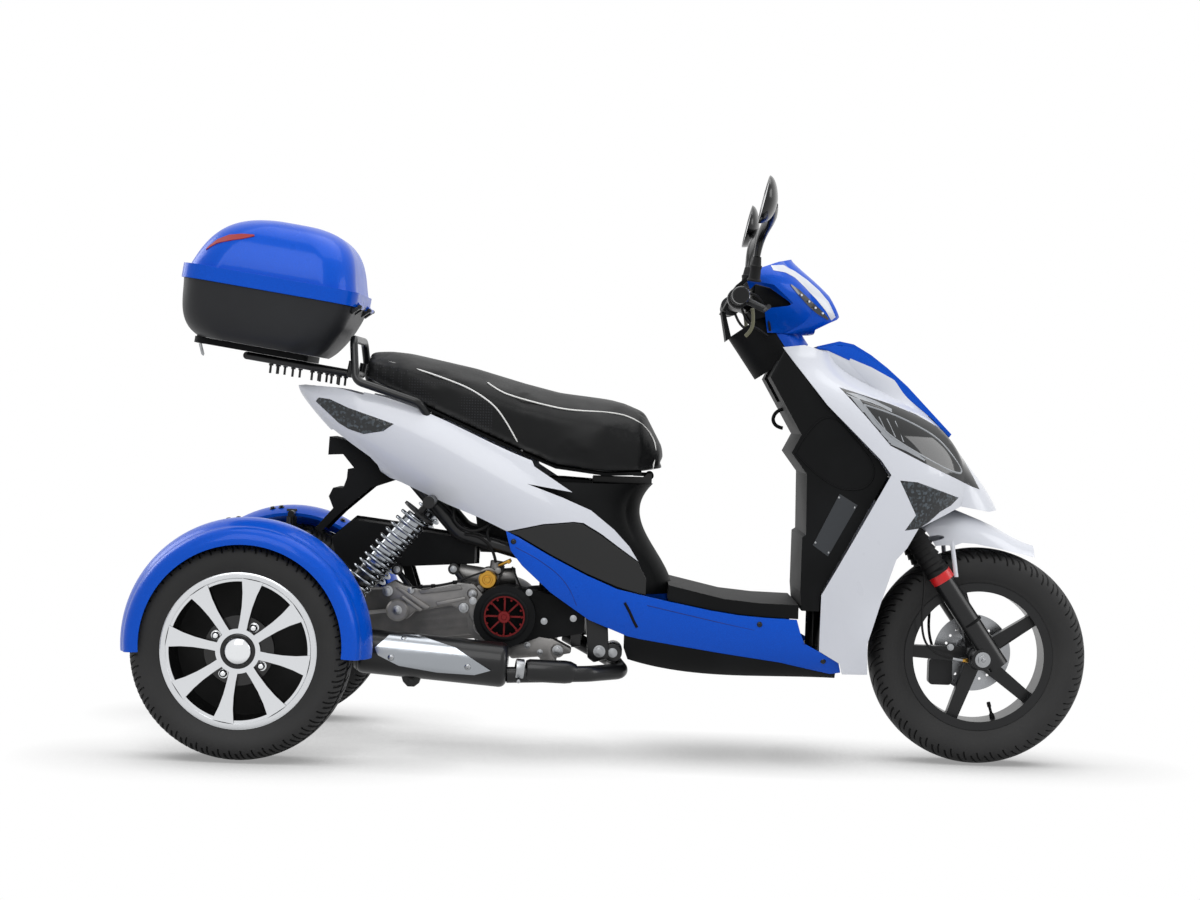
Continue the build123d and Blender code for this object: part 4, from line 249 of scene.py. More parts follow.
@dataclass(frozen=True)
class GrainedPlastic(Finish):
    """Polypropylene from an etched mould: pebbled grain, paler where hands and shoes rub it."""

    grain_mm: float = 1.3
    depth_mm: float = 0.12
    rubbed: str = "#1b1c1e"

    def detail(self, tree: bpy.types.NodeTree, shader: bpy.types.Node, coords: bpy.types.NodeSocket) -> None:
        """Press the grain in and lighten broad patches."""
        cells = add_node(tree, "ShaderNodeTexVoronoi", {"feature": "SMOOTH_F1"},
                         {"Scale": 1 / (self.grain_mm * MM)}, {"Vector": coords})
        self.raised(tree, shader, cells.outputs["Distance"], self.depth_mm)
        patch = add_node(tree, "ShaderNodeTexNoise", values={"Scale": 7.0, "Detail": 5.0}, links={"Vector": coords})
        share = add_node(tree, "ShaderNodeMapRange", values={"From Min": 0.45, "From Max": 0.8, "To Max": 0.55},
                         links={"Value": patch.outputs["Fac"]})
        self.two_tones(tree, shader, share.outputs["Result"], self.rubbed)


@dataclass(frozen=True)
class TyreRubber(Finish):
    """Cured tyre rubber: sooty black and finely rough, with paler dusty patches."""

    dust: str = "#1f1f1f"

    def detail(self, tree: bpy.types.NodeTree, shader: bpy.types.Node, coords: bpy.types.NodeSocket) -> None:
        """Roughen the rubber and dust it."""
        speck = add_node(tree, "ShaderNodeTexNoise", values={"Scale": 420.0, "Detail": 3.0}, links={"Vector": coords})
        self.raised(tree, shader, speck.outputs["Fac"], 0.15)
        patch = add_node(tree, "ShaderNodeTexNoise", values={"Scale": 14.0, "Detail": 6.0}, links={"Vector": coords})
        share = add_node(tree, "ShaderNodeMapRange", values={"From Min": 0.4, "From Max": 0.75, "To Max": 0.5},
                         links={"Value": patch.outputs["Fac"]})
        self.two_tones(tree, shader, share.outputs["Result"], self.dust)


@dataclass(frozen=True)
class MachinedAlloy(Finish):
    """Cast wheel with its outer face turned bright after painting: the recesses keep the gloss black."""

    recess: str = "#070708"
    turned_mm: float = 1.2
    plane_mm: float = 405.0    # how far from the vehicle's middle the turned face starts

    def detail(self, tree: bpy.types.NodeTree, shader: bpy.types.Node, coords: bpy.types.NodeSocket) -> None:
        """Show the turned metal only where the surface faces sideways, far enough out."""
        normal = add_node(tree, "ShaderNodeNewGeometry").outputs["True Normal"]
        parts = add_node(tree, "ShaderNodeSeparateXYZ", links={"Vector": normal})
        size = add_node(tree, "ShaderNodeMath", {"operation": "ABSOLUTE"}, links={0: parts.outputs["Y"]})
        place = add_node(tree, "ShaderNodeSeparateXYZ", links={"Vector": coords})
        outer = add_node(tree, "ShaderNodeMath", {"operation": "ABSOLUTE"}, links={0: place.outputs["Y"]})
        near = add_node(tree, "ShaderNodeMath", {"operation": "GREATER_THAN"}, {1: self.plane_mm * MM},
                        {0: outer.outputs[0]})
        flat = add_node(tree, "ShaderNodeMapRange", values={"From Min": 0.55, "From Max": 0.7},
                        links={"Value": size.outputs[0]})
        face = add_node(tree, "ShaderNodeMapRange", values={"From Min": 0.4, "From Max": 0.6},
                        links={"Value": add_node(tree, "ShaderNodeMath", {"operation": "MULTIPLY"}, None,
                                                 {0: near.outputs[0], 1: flat.outputs["Result"]}).outputs[0]})
        bright = add_node(tree, "ShaderNodeMix", {"data_type": "RGBA"},
                          {6: linear(self.recess), 7: linear(self.colour)}, {0: face.outputs["Result"]})
        tree.links.new(bright.outputs[2], shader.inputs["Base Color"])
        tree.links.new(face.outputs["Result"], shader.inputs["Metallic"])
        ring = add_node(tree, "ShaderNodeTexNoise", values={"Scale": 1 / (self.turned_mm * MM), "Detail": 1.0},
                        links={"Vector": coords})
        self.raised(tree, shader, ring.outputs["Fac"], 0.01)


@dataclass(frozen=True)
class CastMetal(Finish):
    """Die-cast or sand-cast metal: granular skin, dull, greyer in patches."""

    grain_mm: float = 1.8
    shade: str = "#56585a"

    def detail(self, tree: bpy.types.NodeTree, shader: bpy.types.Node, coords: bpy.types.NodeSocket) -> None:
        """Grain the skin and vary its tone."""
        grain = add_node(tree, "ShaderNodeTexNoise", values={"Scale": 1 / (self.grain_mm * MM), "Detail": 3.0},
                         links={"Vector": coords})
        self.raised(tree, shader, grain.outputs["Fac"], 0.12)
        patch = add_node(tree, "ShaderNodeTexNoise", values={"Scale": 22.0, "Detail": 5.0}, links={"Vector": coords})
        self.two_tones(tree, shader, patch.outputs["Fac"], self.shade)


@dataclass(frozen=True)
class BrushedMetal(Finish):
    """Ground or brushed metal: fine scratches that run one way and stretch the highlight."""

    scratch_mm: float = 0.8
    along: tuple[float, float, float] = (1.0, 1.0, 0.03)

    def detail(self, tree: bpy.types.NodeTree, shader: bpy.types.Node, coords: bpy.types.NodeSocket) -> None:
        """Draw the scratches as stretched noise."""
        run = add_node(tree, "ShaderNodeMapping", values={"Scale": self.along}, links={"Vector": coords})
        lines = add_node(tree, "ShaderNodeTexNoise", values={"Scale": 1 / (self.scratch_mm * MM), "Detail": 2.0},
                         links={"Vector": run.outputs["Vector"]})
        self.raised(tree, shader, lines.outputs["Fac"], 0.02)
        self.uneven_gloss(tree, shader, coords, 30.0, 0.06)


@dataclass(frozen=True)
class SeatVinyl(Finish):
    """Coated fabric: calendered hide grain over foam, soft sheen."""

    grain_mm: float = 1.6

    def detail(self, tree: bpy.types.NodeTree, shader: bpy.types.Node, coords: bpy.types.NodeSocket) -> None:
        """Crease the hide grain."""
        bend = add_node(tree, "ShaderNodeTexNoise", values={"Scale": 180.0, "Detail": 2.0}, links={"Vector": coords})
        cells = add_node(tree, "ShaderNodeTexVoronoi", {"feature": "DISTANCE_TO_EDGE"},
                         {"Scale": 1 / (self.grain_mm * MM)}, {"Vector": coords})
        mixed = add_node(tree, "ShaderNodeMath", {"operation": "MULTIPLY_ADD"}, {1: 0.6},
                         {0: cells.outputs["Distance"], 2: bend.outputs["Fac"]})
        self.raised(tree, shader, mixed.outputs[0], 0.10)
        self.uneven_gloss(tree, shader, coords, 12.0, 0.06)


@dataclass(frozen=True)
class DottedVinyl(Finish):
    """Embossed vinyl of a seat's middle panel: rows of small round pips."""

    pitch_mm: float = 6.0
    # paler colour that the raised pips are drawn in
    pip_tone: str = "#232427"

    def detail(self, tree: bpy.types.NodeTree, shader: bpy.types.Node, coords: bpy.types.NodeSocket) -> None:
        """Emboss the pips, and make them a little paler."""
        pips = add_node(tree, "ShaderNodeTexVoronoi", values={"Scale": 1 / (self.pitch_mm * MM), "Randomness": 0.0},
                        links={"Vector": coords})
        step = add_node(tree, "ShaderNodeMapRange", values={"From Min": 0.22, "From Max": 0.34, "To Min": 1.0,
                                                            "To Max": 0.0}, links={"Value": pips.outputs["Distance"]})
        self.raised(tree, shader, step.outputs["Result"], 0.5)
        self.two_tones(tree, shader, step.outputs["Result"], self.pip_tone)


@dataclass(frozen=True)
class LensFacets(Finish):
    """Moulded prisms behind a smoked lens: small facets under a glossy skin, the bright ones painted highlights and the
    rest dark.
    """

    facet_mm: float = 5.0
    # paler facet colour: painted highlights of light off the prisms
    painted_glint: str = "#4c565e"

    def detail(self, tree: bpy.types.NodeTree, shader: bpy.types.Node, coords: bpy.types.NodeSocket) -> None:
        """Scatter facets of two tones: the dark lens colour and a painted highlight."""
        cells = add_node(tree, "ShaderNodeTexVoronoi", values={"Scale": 1 / (self.facet_mm * MM)},
                         links={"Vector": coords})
        pick = add_node(tree, "ShaderNodeSeparateColor", links={"Color": cells.outputs["Color"]})
        share = add_node(tree, "ShaderNodeMapRange", values={"From Min": 0.6, "From Max": 0.95, "To Max": 0.8},
                         links={"Value": pick.outputs["Red"]})
        self.two_tones(tree, shader, share.outputs["Result"], self.painted_glint)
        self.raised(tree, shader, cells.outputs["Distance"], 0.5)


BLUE = MetallicPaint("metallic_blue_lacquer", "#004cc0", 0.30, 0.06, coat=0.16, coat_roughness=0.03, specular=0.08)
WHITE = GlossShell("white_lacquered_abs", "#d2d5dd", 0.30, coat=0.5, coat_roughness=0.04, specular=0.3)
BLACK_GLOSS = GlossShell("black_gloss_abs", "#08090a", 0.24, coat=0.25, specular=0.3)
BLACK_ABS = GrainedPlastic("black_grained_polypropylene", "#08090a", 0.58, specular=0.12)
DARK_GREY = GrainedPlastic("charcoal_moulded_case", "#17181b", 0.48, specular=0.3, grain_mm=1.0, rubbed="#202225")
RUBBER = GrainedPlastic("black_moulded_rubber", "#0b0b0c", 0.62, specular=0.25, grain_mm=0.9, rubbed="#151515")
TYRE = TyreRubber("cured_tyre_rubber", "#0f0f10", 0.66)
WHEEL = MachinedAlloy("machined_cast_alloy", "#d8dadd", 0.17)
WHEEL_BLACK = GlossShell("black_powder_coated_alloy", "#0d0e10", 0.34, coat=0.12, specular=0.3)
CHROME = BrushedMetal("chrome_plated_steel", "#e4e6e8", 0.12, 1.0, scratch_mm=2.5, along=(1, 1, 1))
SHIELD = BrushedMetal("dull_chrome_shield", "#9a9ea3", 0.20, 1.0, scratch_mm=2.0, along=(1, 1, 1))
SPRING_WIRE = BrushedMetal("chromed_spring_wire", "#85898e", 0.16, 1.0, scratch_mm=1.5)
STEEL = BrushedMetal("ground_stainless_steel", "#9c9ea1", 0.28, 1.0)
ZINC = CastMetal("zinc_plated_fixing", "#a9abad", 0.34, 1.0, grain_mm=1.0, shade="#8d8f92")
CASTING = CastMetal("sand_cast_aluminium", "#9a9794", 0.46, 0.9)
BLACK_STEEL = GlossShell("black_enamelled_steel", "#0b0c0e", 0.36, coat=0.15, specular=0.3)
BLACK_CAST = CastMetal("black_coated_casting", "#17181a", 0.44, 0.3, shade="#232426")
VINYL = SeatVinyl("black_seat_vinyl", "#090a0b", 0.44, sheen=0.0, specular=0.18)
PIPS = DottedVinyl("embossed_seat_vinyl", "#0c0d0e", 0.48, sheen=0.0, specular=0.18)
PIPING = GlossShell("white_vinyl_piping", "#e6e6e4", 0.42)
RED_ANODISED = BrushedMetal("red_anodised_aluminium", "#6e1013", 0.40, 0.6, scratch_mm=1.0)
RED_LENS = GlossShell("red_acrylic_lens", "#9c0d10", 0.12, coat=0.6)
RED_RUBBER = GlossShell("red_fork_band", "#c8161b", 0.35)
SMOKED = Finish("smoked_polycarbonate_lens", "#0f1214", 0.05, ior=1.5, transmission=0.12, coat=0.3, specular=0.4)
REFLECTOR = BrushedMetal("vacuum_metallised_reflector", "#d9dcdf", 0.10, 1.0, scratch_mm=4.0, along=(1, 1, 1))
LAMP_BLACK = GlossShell("black_lamp_housing", "#0a0b0d", 0.18, coat=0.6)
SILVERED = Finish("silvered_mirror_glass", "#dfe3e6", 0.02, 1.0)
BRASS = BrushedMetal("brass_fitting", "#b98d3c", 0.30, 1.0)
LABEL = GlossShell("bare_foil_plate", "#34373b", 0.34, specular=0.3)
RIM_LIP = BrushedMetal("turned_rim_edge", "#d3d5d8", 0.22, 1.0, scratch_mm=1.5, along=(1, 1, 1))
SHEATH = GlossShell("woven_cable_sheath", "#6b6a54", 0.60)
LAMP_TRIM = GlossShell("grey_lamp_trim", "#8d9196", 0.25, coat=0.5)
LAMP_FACET = LensFacets("faceted_smoked_lens", "#11161a", 0.14, coat=0.4, specular=0.3)
BLUE_SHADE = GlossShell("blue_crease_shadow", "#032a7c", 0.34, coat=0.2, specular=0.2)

# The nodes that keep their CAD shape; the tyres, springs, seat and mirrors are made anew below.
CAD_FINISHES: dict[str, Finish] = {
    "axle_carrier": BLACK_CAST, "belly_tray": BLACK_ABS, "brake_levers": BLACK_CAST, "case_lid": BLUE,
    "case_plate": BLACK_ABS, "case_tub": DARK_GREY, "dash_cowl": BLACK_ABS, "drive_case": CASTING,
    "engine_case": CASTING, "engine_shroud": BLACK_ABS, "exhaust_pipe": BLACK_STEEL, "fan_grille": RED_ANODISED,
    "fender_stays": BLACK_STEEL, "floorboard": BLACK_ABS, "fork": BLACK_STEEL, "fork_gaiters": RUBBER,
    "frame": BLACK_STEEL, "front_caliper": BLACK_CAST, "front_cowl_left": WHITE, "front_cowl_right": WHITE,
    "front_disc": STEEL, "front_fender": WHITE, "front_indicators": LAMP_FACET, "front_rim": WHEEL_BLACK,
    "grab_rail": BLACK_STEEL, "grips": RUBBER, "handlebar": BLACK_STEEL,
    "handlebar_cowl": BLUE, "headlamps": SMOKED, "heat_shield": SHIELD, "leg_shield": BLACK_ABS,
    "mirror_glass": SILVERED, "muffler": BLACK_STEEL, "nose_panel": BLUE,
    "rear_fender_left": BLUE, "rear_fender_right": BLUE, "rear_rim_left": WHEEL, "rear_rim_right": WHEEL,
    "seat_cover": BLACK_ABS,
    "seat_hinge": BLACK_STEEL, "seat_pan": BLACK_ABS, "side_inserts": BLACK_GLOSS, "side_panel_left": BLUE,
    "side_panel_right": BLUE, "splash_guard": BLACK_ABS, "spring_units": BLACK_STEEL,
    "storage_box": BLACK_ABS, "tail_cowl_left": WHITE, "tail_cowl_right": WHITE, "tail_lamps": LAMP_FACET,
    "rear_mudguard": BLACK_ABS, "air_box": BLACK_ABS,
}


class Workshop:
    """Makes finished pieces from bmeshes and hands them to the frame."""

    def __init__(self, frame: dict) -> None:
        """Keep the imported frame.
        """
        self.frame = frame
        self.slots = {part["node"]: part["material_slot"] for part in frame["record"]["subparts"]}
        self.body_of = {node: body for body, nodes in frame["record"]["behaviour"]["bodies"].items()
                        for node in nodes}

    def piece(self, name: str, shape: bmesh.types.BMesh, finish: Finish, body: Body, slot: str,
              smooth_deg: float = 35.0) -> bpy.types.Object:
        """Turn a bmesh in millimetres into a piece that rides on a body.

        Args:
            name: Name of the new object.
            shape: Its shape, freed here.
            finish: Its surface.
            body: Body that carries it.
            slot: Material slot of the record that it belongs to; not used.
            smooth_deg: Edges sharper than this stay sharp.

        Returns:
            The new object.
        """
        bmesh.ops.scale(shape, vec=(MM, MM, MM), verts=shape.verts)
        mesh = bpy.data.meshes.new(name)
        shape.to_mesh(mesh)
        shape.free()
        mesh.shade_smooth()
        mesh.set_sharp_from_angle(angle=math.radians(smooth_deg))
        return self._placed(name, mesh, finish, body, slot)

    @staticmethod
    def _placed(name: str, data: bpy.types.ID, finish: Finish, body: Body, slot: str) -> bpy.types.Object:
        data.materials.append(finish.material())
        made = bpy.data.objects.new(name, data)
        bpy.context.scene.collection.objects.link(made)
        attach(made, body.value)
        LOG.info("%s rides on %s", name, body.value)
        return made

    def node_shape(self, node: str) -> bmesh.types.BMesh:
        """Return a merged copy of a CAD node's mesh, in millimetres."""
        shape = bmesh.new()
        shape.from_mesh(self.frame["nodes"][node].data)
        bmesh.ops.scale(shape, vec=(1 / MM, 1 / MM, 1 / MM), verts=shape.verts)
        bmesh.ops.remove_doubles(shape, verts=shape.verts, dist=CAD_MERGE_MM)
        bmesh.ops.dissolve_degenerate(shape, edges=shape.edges, dist=CAD_MERGE_MM)
        return shape

    def refine(self, node: str, finish: Finish, edge_mm: float = 0.8, smooth_deg: float = 30.0,
               segments: int = 2) -> bpy.types.Object:
        """Replace a CAD node by its own shape with softened edges and smooth shading.

        Args:
            node: Name of the node.
            finish: Its surface.
            edge_mm: Width of the softened edge; zero leaves the edges sharp.
            smooth_deg: Edges sharper than this are softened and kept crisp.
            segments: Faces across a softened edge.

        Returns:
            The new object.
        """
        shape = self.node_shape(node)
        bmesh.ops.dissolve_limit(shape, angle_limit=math.radians(FLAT_DEG), verts=shape.verts, edges=shape.edges)
        made = self.piece(f"{node}_skin", shape, finish, Body(self.body_of[node]), self.slots[node], smooth_deg)
        if edge_mm:
            bevel = made.modifiers.new("soft_edges", "BEVEL")
            bevel.width = edge_mm * MM
            bevel.segments = segments
            bevel.limit_method = "ANGLE"
            bevel.angle_limit = math.radians(smooth_deg)
            bevel.harden_normals = True
        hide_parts(node)
        return made

    def cable(self, name: str, routes: Sequence[Sequence[Sequence[float]]], diameter: float, finish: Finish,
              body: Body, slot: str, radii: Sequence[float] | None = None, resolution: int = 8) -> bpy.types.Object:
        """Run short hoses or cables that are held at both ends.

        Args:
            name: Name of the new object.
            routes: Control points of each, in millimetres.
            diameter: Outer diameter in millimetres.
            finish: Their surface.
            body: Body that carries them.
            slot: Material slot of the record; not used.
            radii: Thickness at each control point, as a share of the diameter.
            resolution: Steps between control points.

        Returns:
            The new object, a curve.
        """
        data = bpy.data.curves.new(name, "CURVE")
        data.dimensions = "3D"
        data.bevel_depth = diameter / 2 * MM
        data.bevel_resolution = 4
        data.resolution_u = resolution
        data.use_fill_caps = True
        for route in routes:
            line = data.splines.new("NURBS")
            line.points.add(len(route) - 1)
            for step, (point, place) in enumerate(zip(line.points, route)):
                point.co = (*(Vector(place) * MM), 1.0)
                point.radius = radii[step] if radii else 1.0
            line.order_u = 3
            line.use_endpoint_u = True
            line.use_smooth = True
        return self._placed(name, data, finish, body, slot)


def stand(at: Sequence[float], along: Sequence[float], turn_deg: float = 0.0) -> Matrix:
    """Return the matrix that stands a shape made about +Z at a point.

    Args:
        at: Where its origin goes.
        along: Where its +Z points.
        turn_deg: Turn about that direction.

    Returns:
        A matrix that keeps local +Y as near to world up as it can.
    """
    ahead = Vector(along).normalized()
    up = Vector((1, 0, 0)) if abs(ahead.z) > 0.99 else Vector((0, 0, 1))
    side = up.cross(ahead).normalized()
    above = ahead.cross(side)
    return Matrix.Translation(at) @ Matrix((side, above, ahead)).transposed().to_4x4() @ Matrix.Rotation(
        math.radians(turn_deg), 4, "Z")


def about(axle: tuple[float, float], radius: float, angle: float, y: float) -> tuple[float, float, float]:
    """Return the point at an angle round an axle that runs sideways, given by its x and z."""
    return axle[0] + radius * math.cos(angle), y, axle[1] + radius * math.sin(angle)


class Form:
    """Collects shapes, in millimetres, into one bmesh."""

    def __init__(self) -> None:
        """Start empty."""
        self.mesh = bmesh.new()

    def _settle(self, before: set, matrix: Matrix) -> None:
        """Merge, turn outwards and place what was added since."""
        verts = [v for v in self.mesh.verts if v not in before]
        bmesh.ops.remove_doubles(self.mesh, verts=verts, dist=MERGE_MM)
        verts = [v for v in self.mesh.verts if v not in before]
        bmesh.ops.recalc_face_normals(self.mesh, faces=list({f for v in verts for f in v.link_faces}))
        bmesh.ops.transform(self.mesh, matrix=matrix, verts=verts)
    def _soften(self, verts: Sequence[bmesh.types.BMVert], edge: float) -> None:
        """Bevel the sharp edges at these points, if the bevel has a width."""
        if edge:
            rim = [e for e in {e for v in verts for e in v.link_edges}
                   if len(e.link_faces) == 2 and e.calc_face_angle(0) > math.radians(BEVEL_DEG)]
            bmesh.ops.bevel(self.mesh, geom=rim, offset=edge, segments=2, affect="EDGES", profile=0.5, material=-1)
    def turned(self, profile: Sequence[tuple[float, float]], at: Sequence[float], along: Sequence[float],
               steps: int = 40) -> "Form":
        """Turn a profile of (radius, height) about an axis.

        Args:
            profile: Points from one pole or edge to the other.
            at: Origin of the axis.
            along: Direction of the axis.
            steps: Facets round it.

        Returns:
            This form.
        """
        before = set(self.mesh.verts)
        verts = [self.mesh.verts.new((radius, 0, height)) for radius, height in profile]
        edges = [self.mesh.edges.new(pair) for pair in zip(verts, verts[1:])]
        bmesh.ops.spin(self.mesh, geom=verts + edges, cent=(0, 0, 0), axis=(0, 0, 1), dvec=(0, 0, 0),
                       angle=math.tau, steps=steps, use_merge=True, use_duplicate=False)
        self._settle(before, stand(at, along))
        return self

    def prism(self, at: Sequence[float], along: Sequence[float], radius: float, depth: float, sides: int = 24,
              top: float | None = None, edge: float = 0.0, turn_deg: float = 0.0) -> "Form":
        """Add a capped cone or cylinder that starts at a point.

        Args:
            at: Middle of its foot.
            along: Direction of its axis.
            radius: Radius at the foot.
            depth: Its height.
            sides: Facets round it.
            top: Radius at the top; the foot's if left out.
            edge: Width of its bevelled edges.
            turn_deg: Turn about its axis.

        Returns:
            This form.
        """
        before = set(self.mesh.verts)
        made = bmesh.ops.create_cone(self.mesh, cap_ends=True, segments=sides, radius1=radius,
                                     radius2=radius if top is None else top, depth=depth)
        bmesh.ops.translate(self.mesh, verts=made["verts"], vec=(0, 0, depth / 2))
        self._soften(made["verts"], edge)
        self._settle(before, stand(at, along, turn_deg))
        return self

    def plate(self, outline: Sequence[tuple[float, float]], at: Sequence[float], along: Sequence[float],
              thick: float, edge: float = 0.0, turn_deg: float = 0.0) -> "Form":
        """Add a flat plate of any outline.

        Args:
            outline: Its corners, in the plane square to the direction.
            at: Origin of the outline.
            along: Direction that it is thick in.
            thick: Its thickness.
            edge: Width of its bevelled edges.
            turn_deg: Turn about the direction.

        Returns:
            This form.
        """
        before = set(self.mesh.verts)
        face = self.mesh.faces.new([self.mesh.verts.new((x, y, 0)) for x, y in outline])
        grown = bmesh.ops.extrude_face_region(self.mesh, geom=[face], use_keep_orig=True)["geom"]
        bmesh.ops.translate(self.mesh, vec=(0, 0, thick), verts=[g for g in grown if isinstance(g, bmesh.types.BMVert)])
        self._soften([v for v in self.mesh.verts if v not in before], edge)
        self._settle(before, stand(at, along, turn_deg))
        return self

    def bolt(self, at: Sequence[float], along: Sequence[float], size: float = 6.0, washer: bool = True) -> "Form":
        """Add a hexagon head, with a washer under it.

        Args:
            at: Point of the surface that it sits on.
            along: Outwards from that surface.
            size: Radius across the head's corners.
            washer: Whether it has a washer.

        Returns:
            This form.
        """
        start = Vector(at) - Vector(along).normalized() * 0.6
        if washer:
            self.prism(start, along, size * 1.45, 1.8, 20, edge=0.3)
        return self.prism(start, along, size, 1.8 + size * 0.75, 6, edge=0.5)

    def domed(self, at: Sequence[float], along: Sequence[float], radius: float, rise: float) -> "Form":
        """Add a low domed head with a flat socket in its crown."""
        return self.turned([(0, rise * 0.45), (radius * 0.30, rise * 0.45), (radius * 0.34, rise),
                            (radius * 0.6, rise * 0.92),
                            (radius * 0.86, rise * 0.6), (radius, rise * 0.1), (radius, -1.0), (0, -1.0)], at, along,
                           24)

    def both_sides(self) -> "Form":
        """Add the mirror image across the vehicle's middle."""
        twin = bmesh.ops.duplicate(self.mesh, geom=self.mesh.verts[:] + self.mesh.edges[:] + self.mesh.faces[:])["geom"]
        bmesh.ops.scale(self.mesh, vec=(1, -1, 1), verts=[g for g in twin if isinstance(g, bmesh.types.BMVert)])
        bmesh.ops.reverse_faces(self.mesh, faces=[g for g in twin if isinstance(g, bmesh.types.BMFace)])
        return self


class Skin:
    """A finished surface that trim is laid on, asked in millimetres."""

    def __init__(self, piece: bpy.types.Object) -> None:
        """Read the piece with its modifiers applied."""
        bpy.context.view_layer.update()
        self.tree = BVHTree.FromObject(piece, bpy.context.evaluated_depsgraph_get())

    def beside(self, x: float, z: float, side: int, proud: float = 0.0) -> Vector:
        """Return the point that a look from one side meets.

        Args:
            x: How far forward.
            z: How high.
            side: -1 for the right, 1 for the left.
            proud: How far off the surface to stay.

        Returns:
            The point, or the nearest one where the look misses.
        """
        start = Vector((x, side * 600.0, z)) * MM
        place, normal, _, _ = self.tree.ray_cast(start, Vector((0, -side, 0)))
        if place is None:
            place, normal, _, _ = self.tree.find_nearest(Vector((x, side * 120.0, z)) * MM)
        return place / MM + normal * proud

    def nearest(self, point: Sequence[float]) -> tuple[Vector, Vector]:
        """Return the nearest point of the surface and its outward direction."""
        place, normal, _, _ = self.tree.find_nearest(Vector(point) * MM)
        return place / MM, normal

    def strip(self, shape: bmesh.types.BMesh, upper: Sequence[tuple[float, float]],
              lower: Sequence[tuple[float, float]], side: int, thick: float = 0.8, across: int = 6) -> None:
        """Lay a thin closed strip on the surface, between two lines of (x, z) places.

        Args:
            shape: Mesh that takes it, in millimetres.
            upper: Upper edge.
            lower: Lower edge, with as many places.
            side: -1 for the right, 1 for the left.
            thick: Thickness.
            across: Rows over its width, and between places along it.
        """
        tops, feet = self.denser(upper, across), self.denser(lower, across)
        rows = []
        for row in range(across + 1):
            part = row / across
            rows.append([self.beside(a[0] + (b[0] - a[0]) * part, a[1] + (b[1] - a[1]) * part, side, 0.1)
                         for a, b in zip(tops, feet)])
        skins = [[[shape.verts.new(p + Vector((0, side * lift, 0))) for p in row] for row in rows]
                 for lift in (0.0, thick)]
        for level, grid in enumerate(skins):
            for one, two in zip(grid, grid[1:]):
                for a, b, c, d in zip(one, one[1:], two[1:], two):
                    shape.faces.new((a, b, c, d) if (side > 0) == (level == 0) else (d, c, b, a))
        under, over = ([*grid[0], *(row[-1] for row in grid[1:]), *grid[-1][-2::-1], *(row[0] for row in grid[-2:0:-1])]
                       for grid in skins)
        for i in range(len(under)):
            j = (i + 1) % len(under)
            quad = (under[i], under[j], over[j], over[i])
            shape.faces.new(quad if side < 0 else quad[::-1])

    @staticmethod
    def denser(line: Sequence[tuple[float, float]], steps: int) -> list[tuple[float, float]]:
        """Return a line of places with more of them, evenly between the given ones."""
        found = [(a[0] + (b[0] - a[0]) * k / steps, a[1] + (b[1] - a[1]) * k / steps)
                 for a, b in zip(line, line[1:]) for k in range(steps)]
        return found + [tuple(line[-1])]


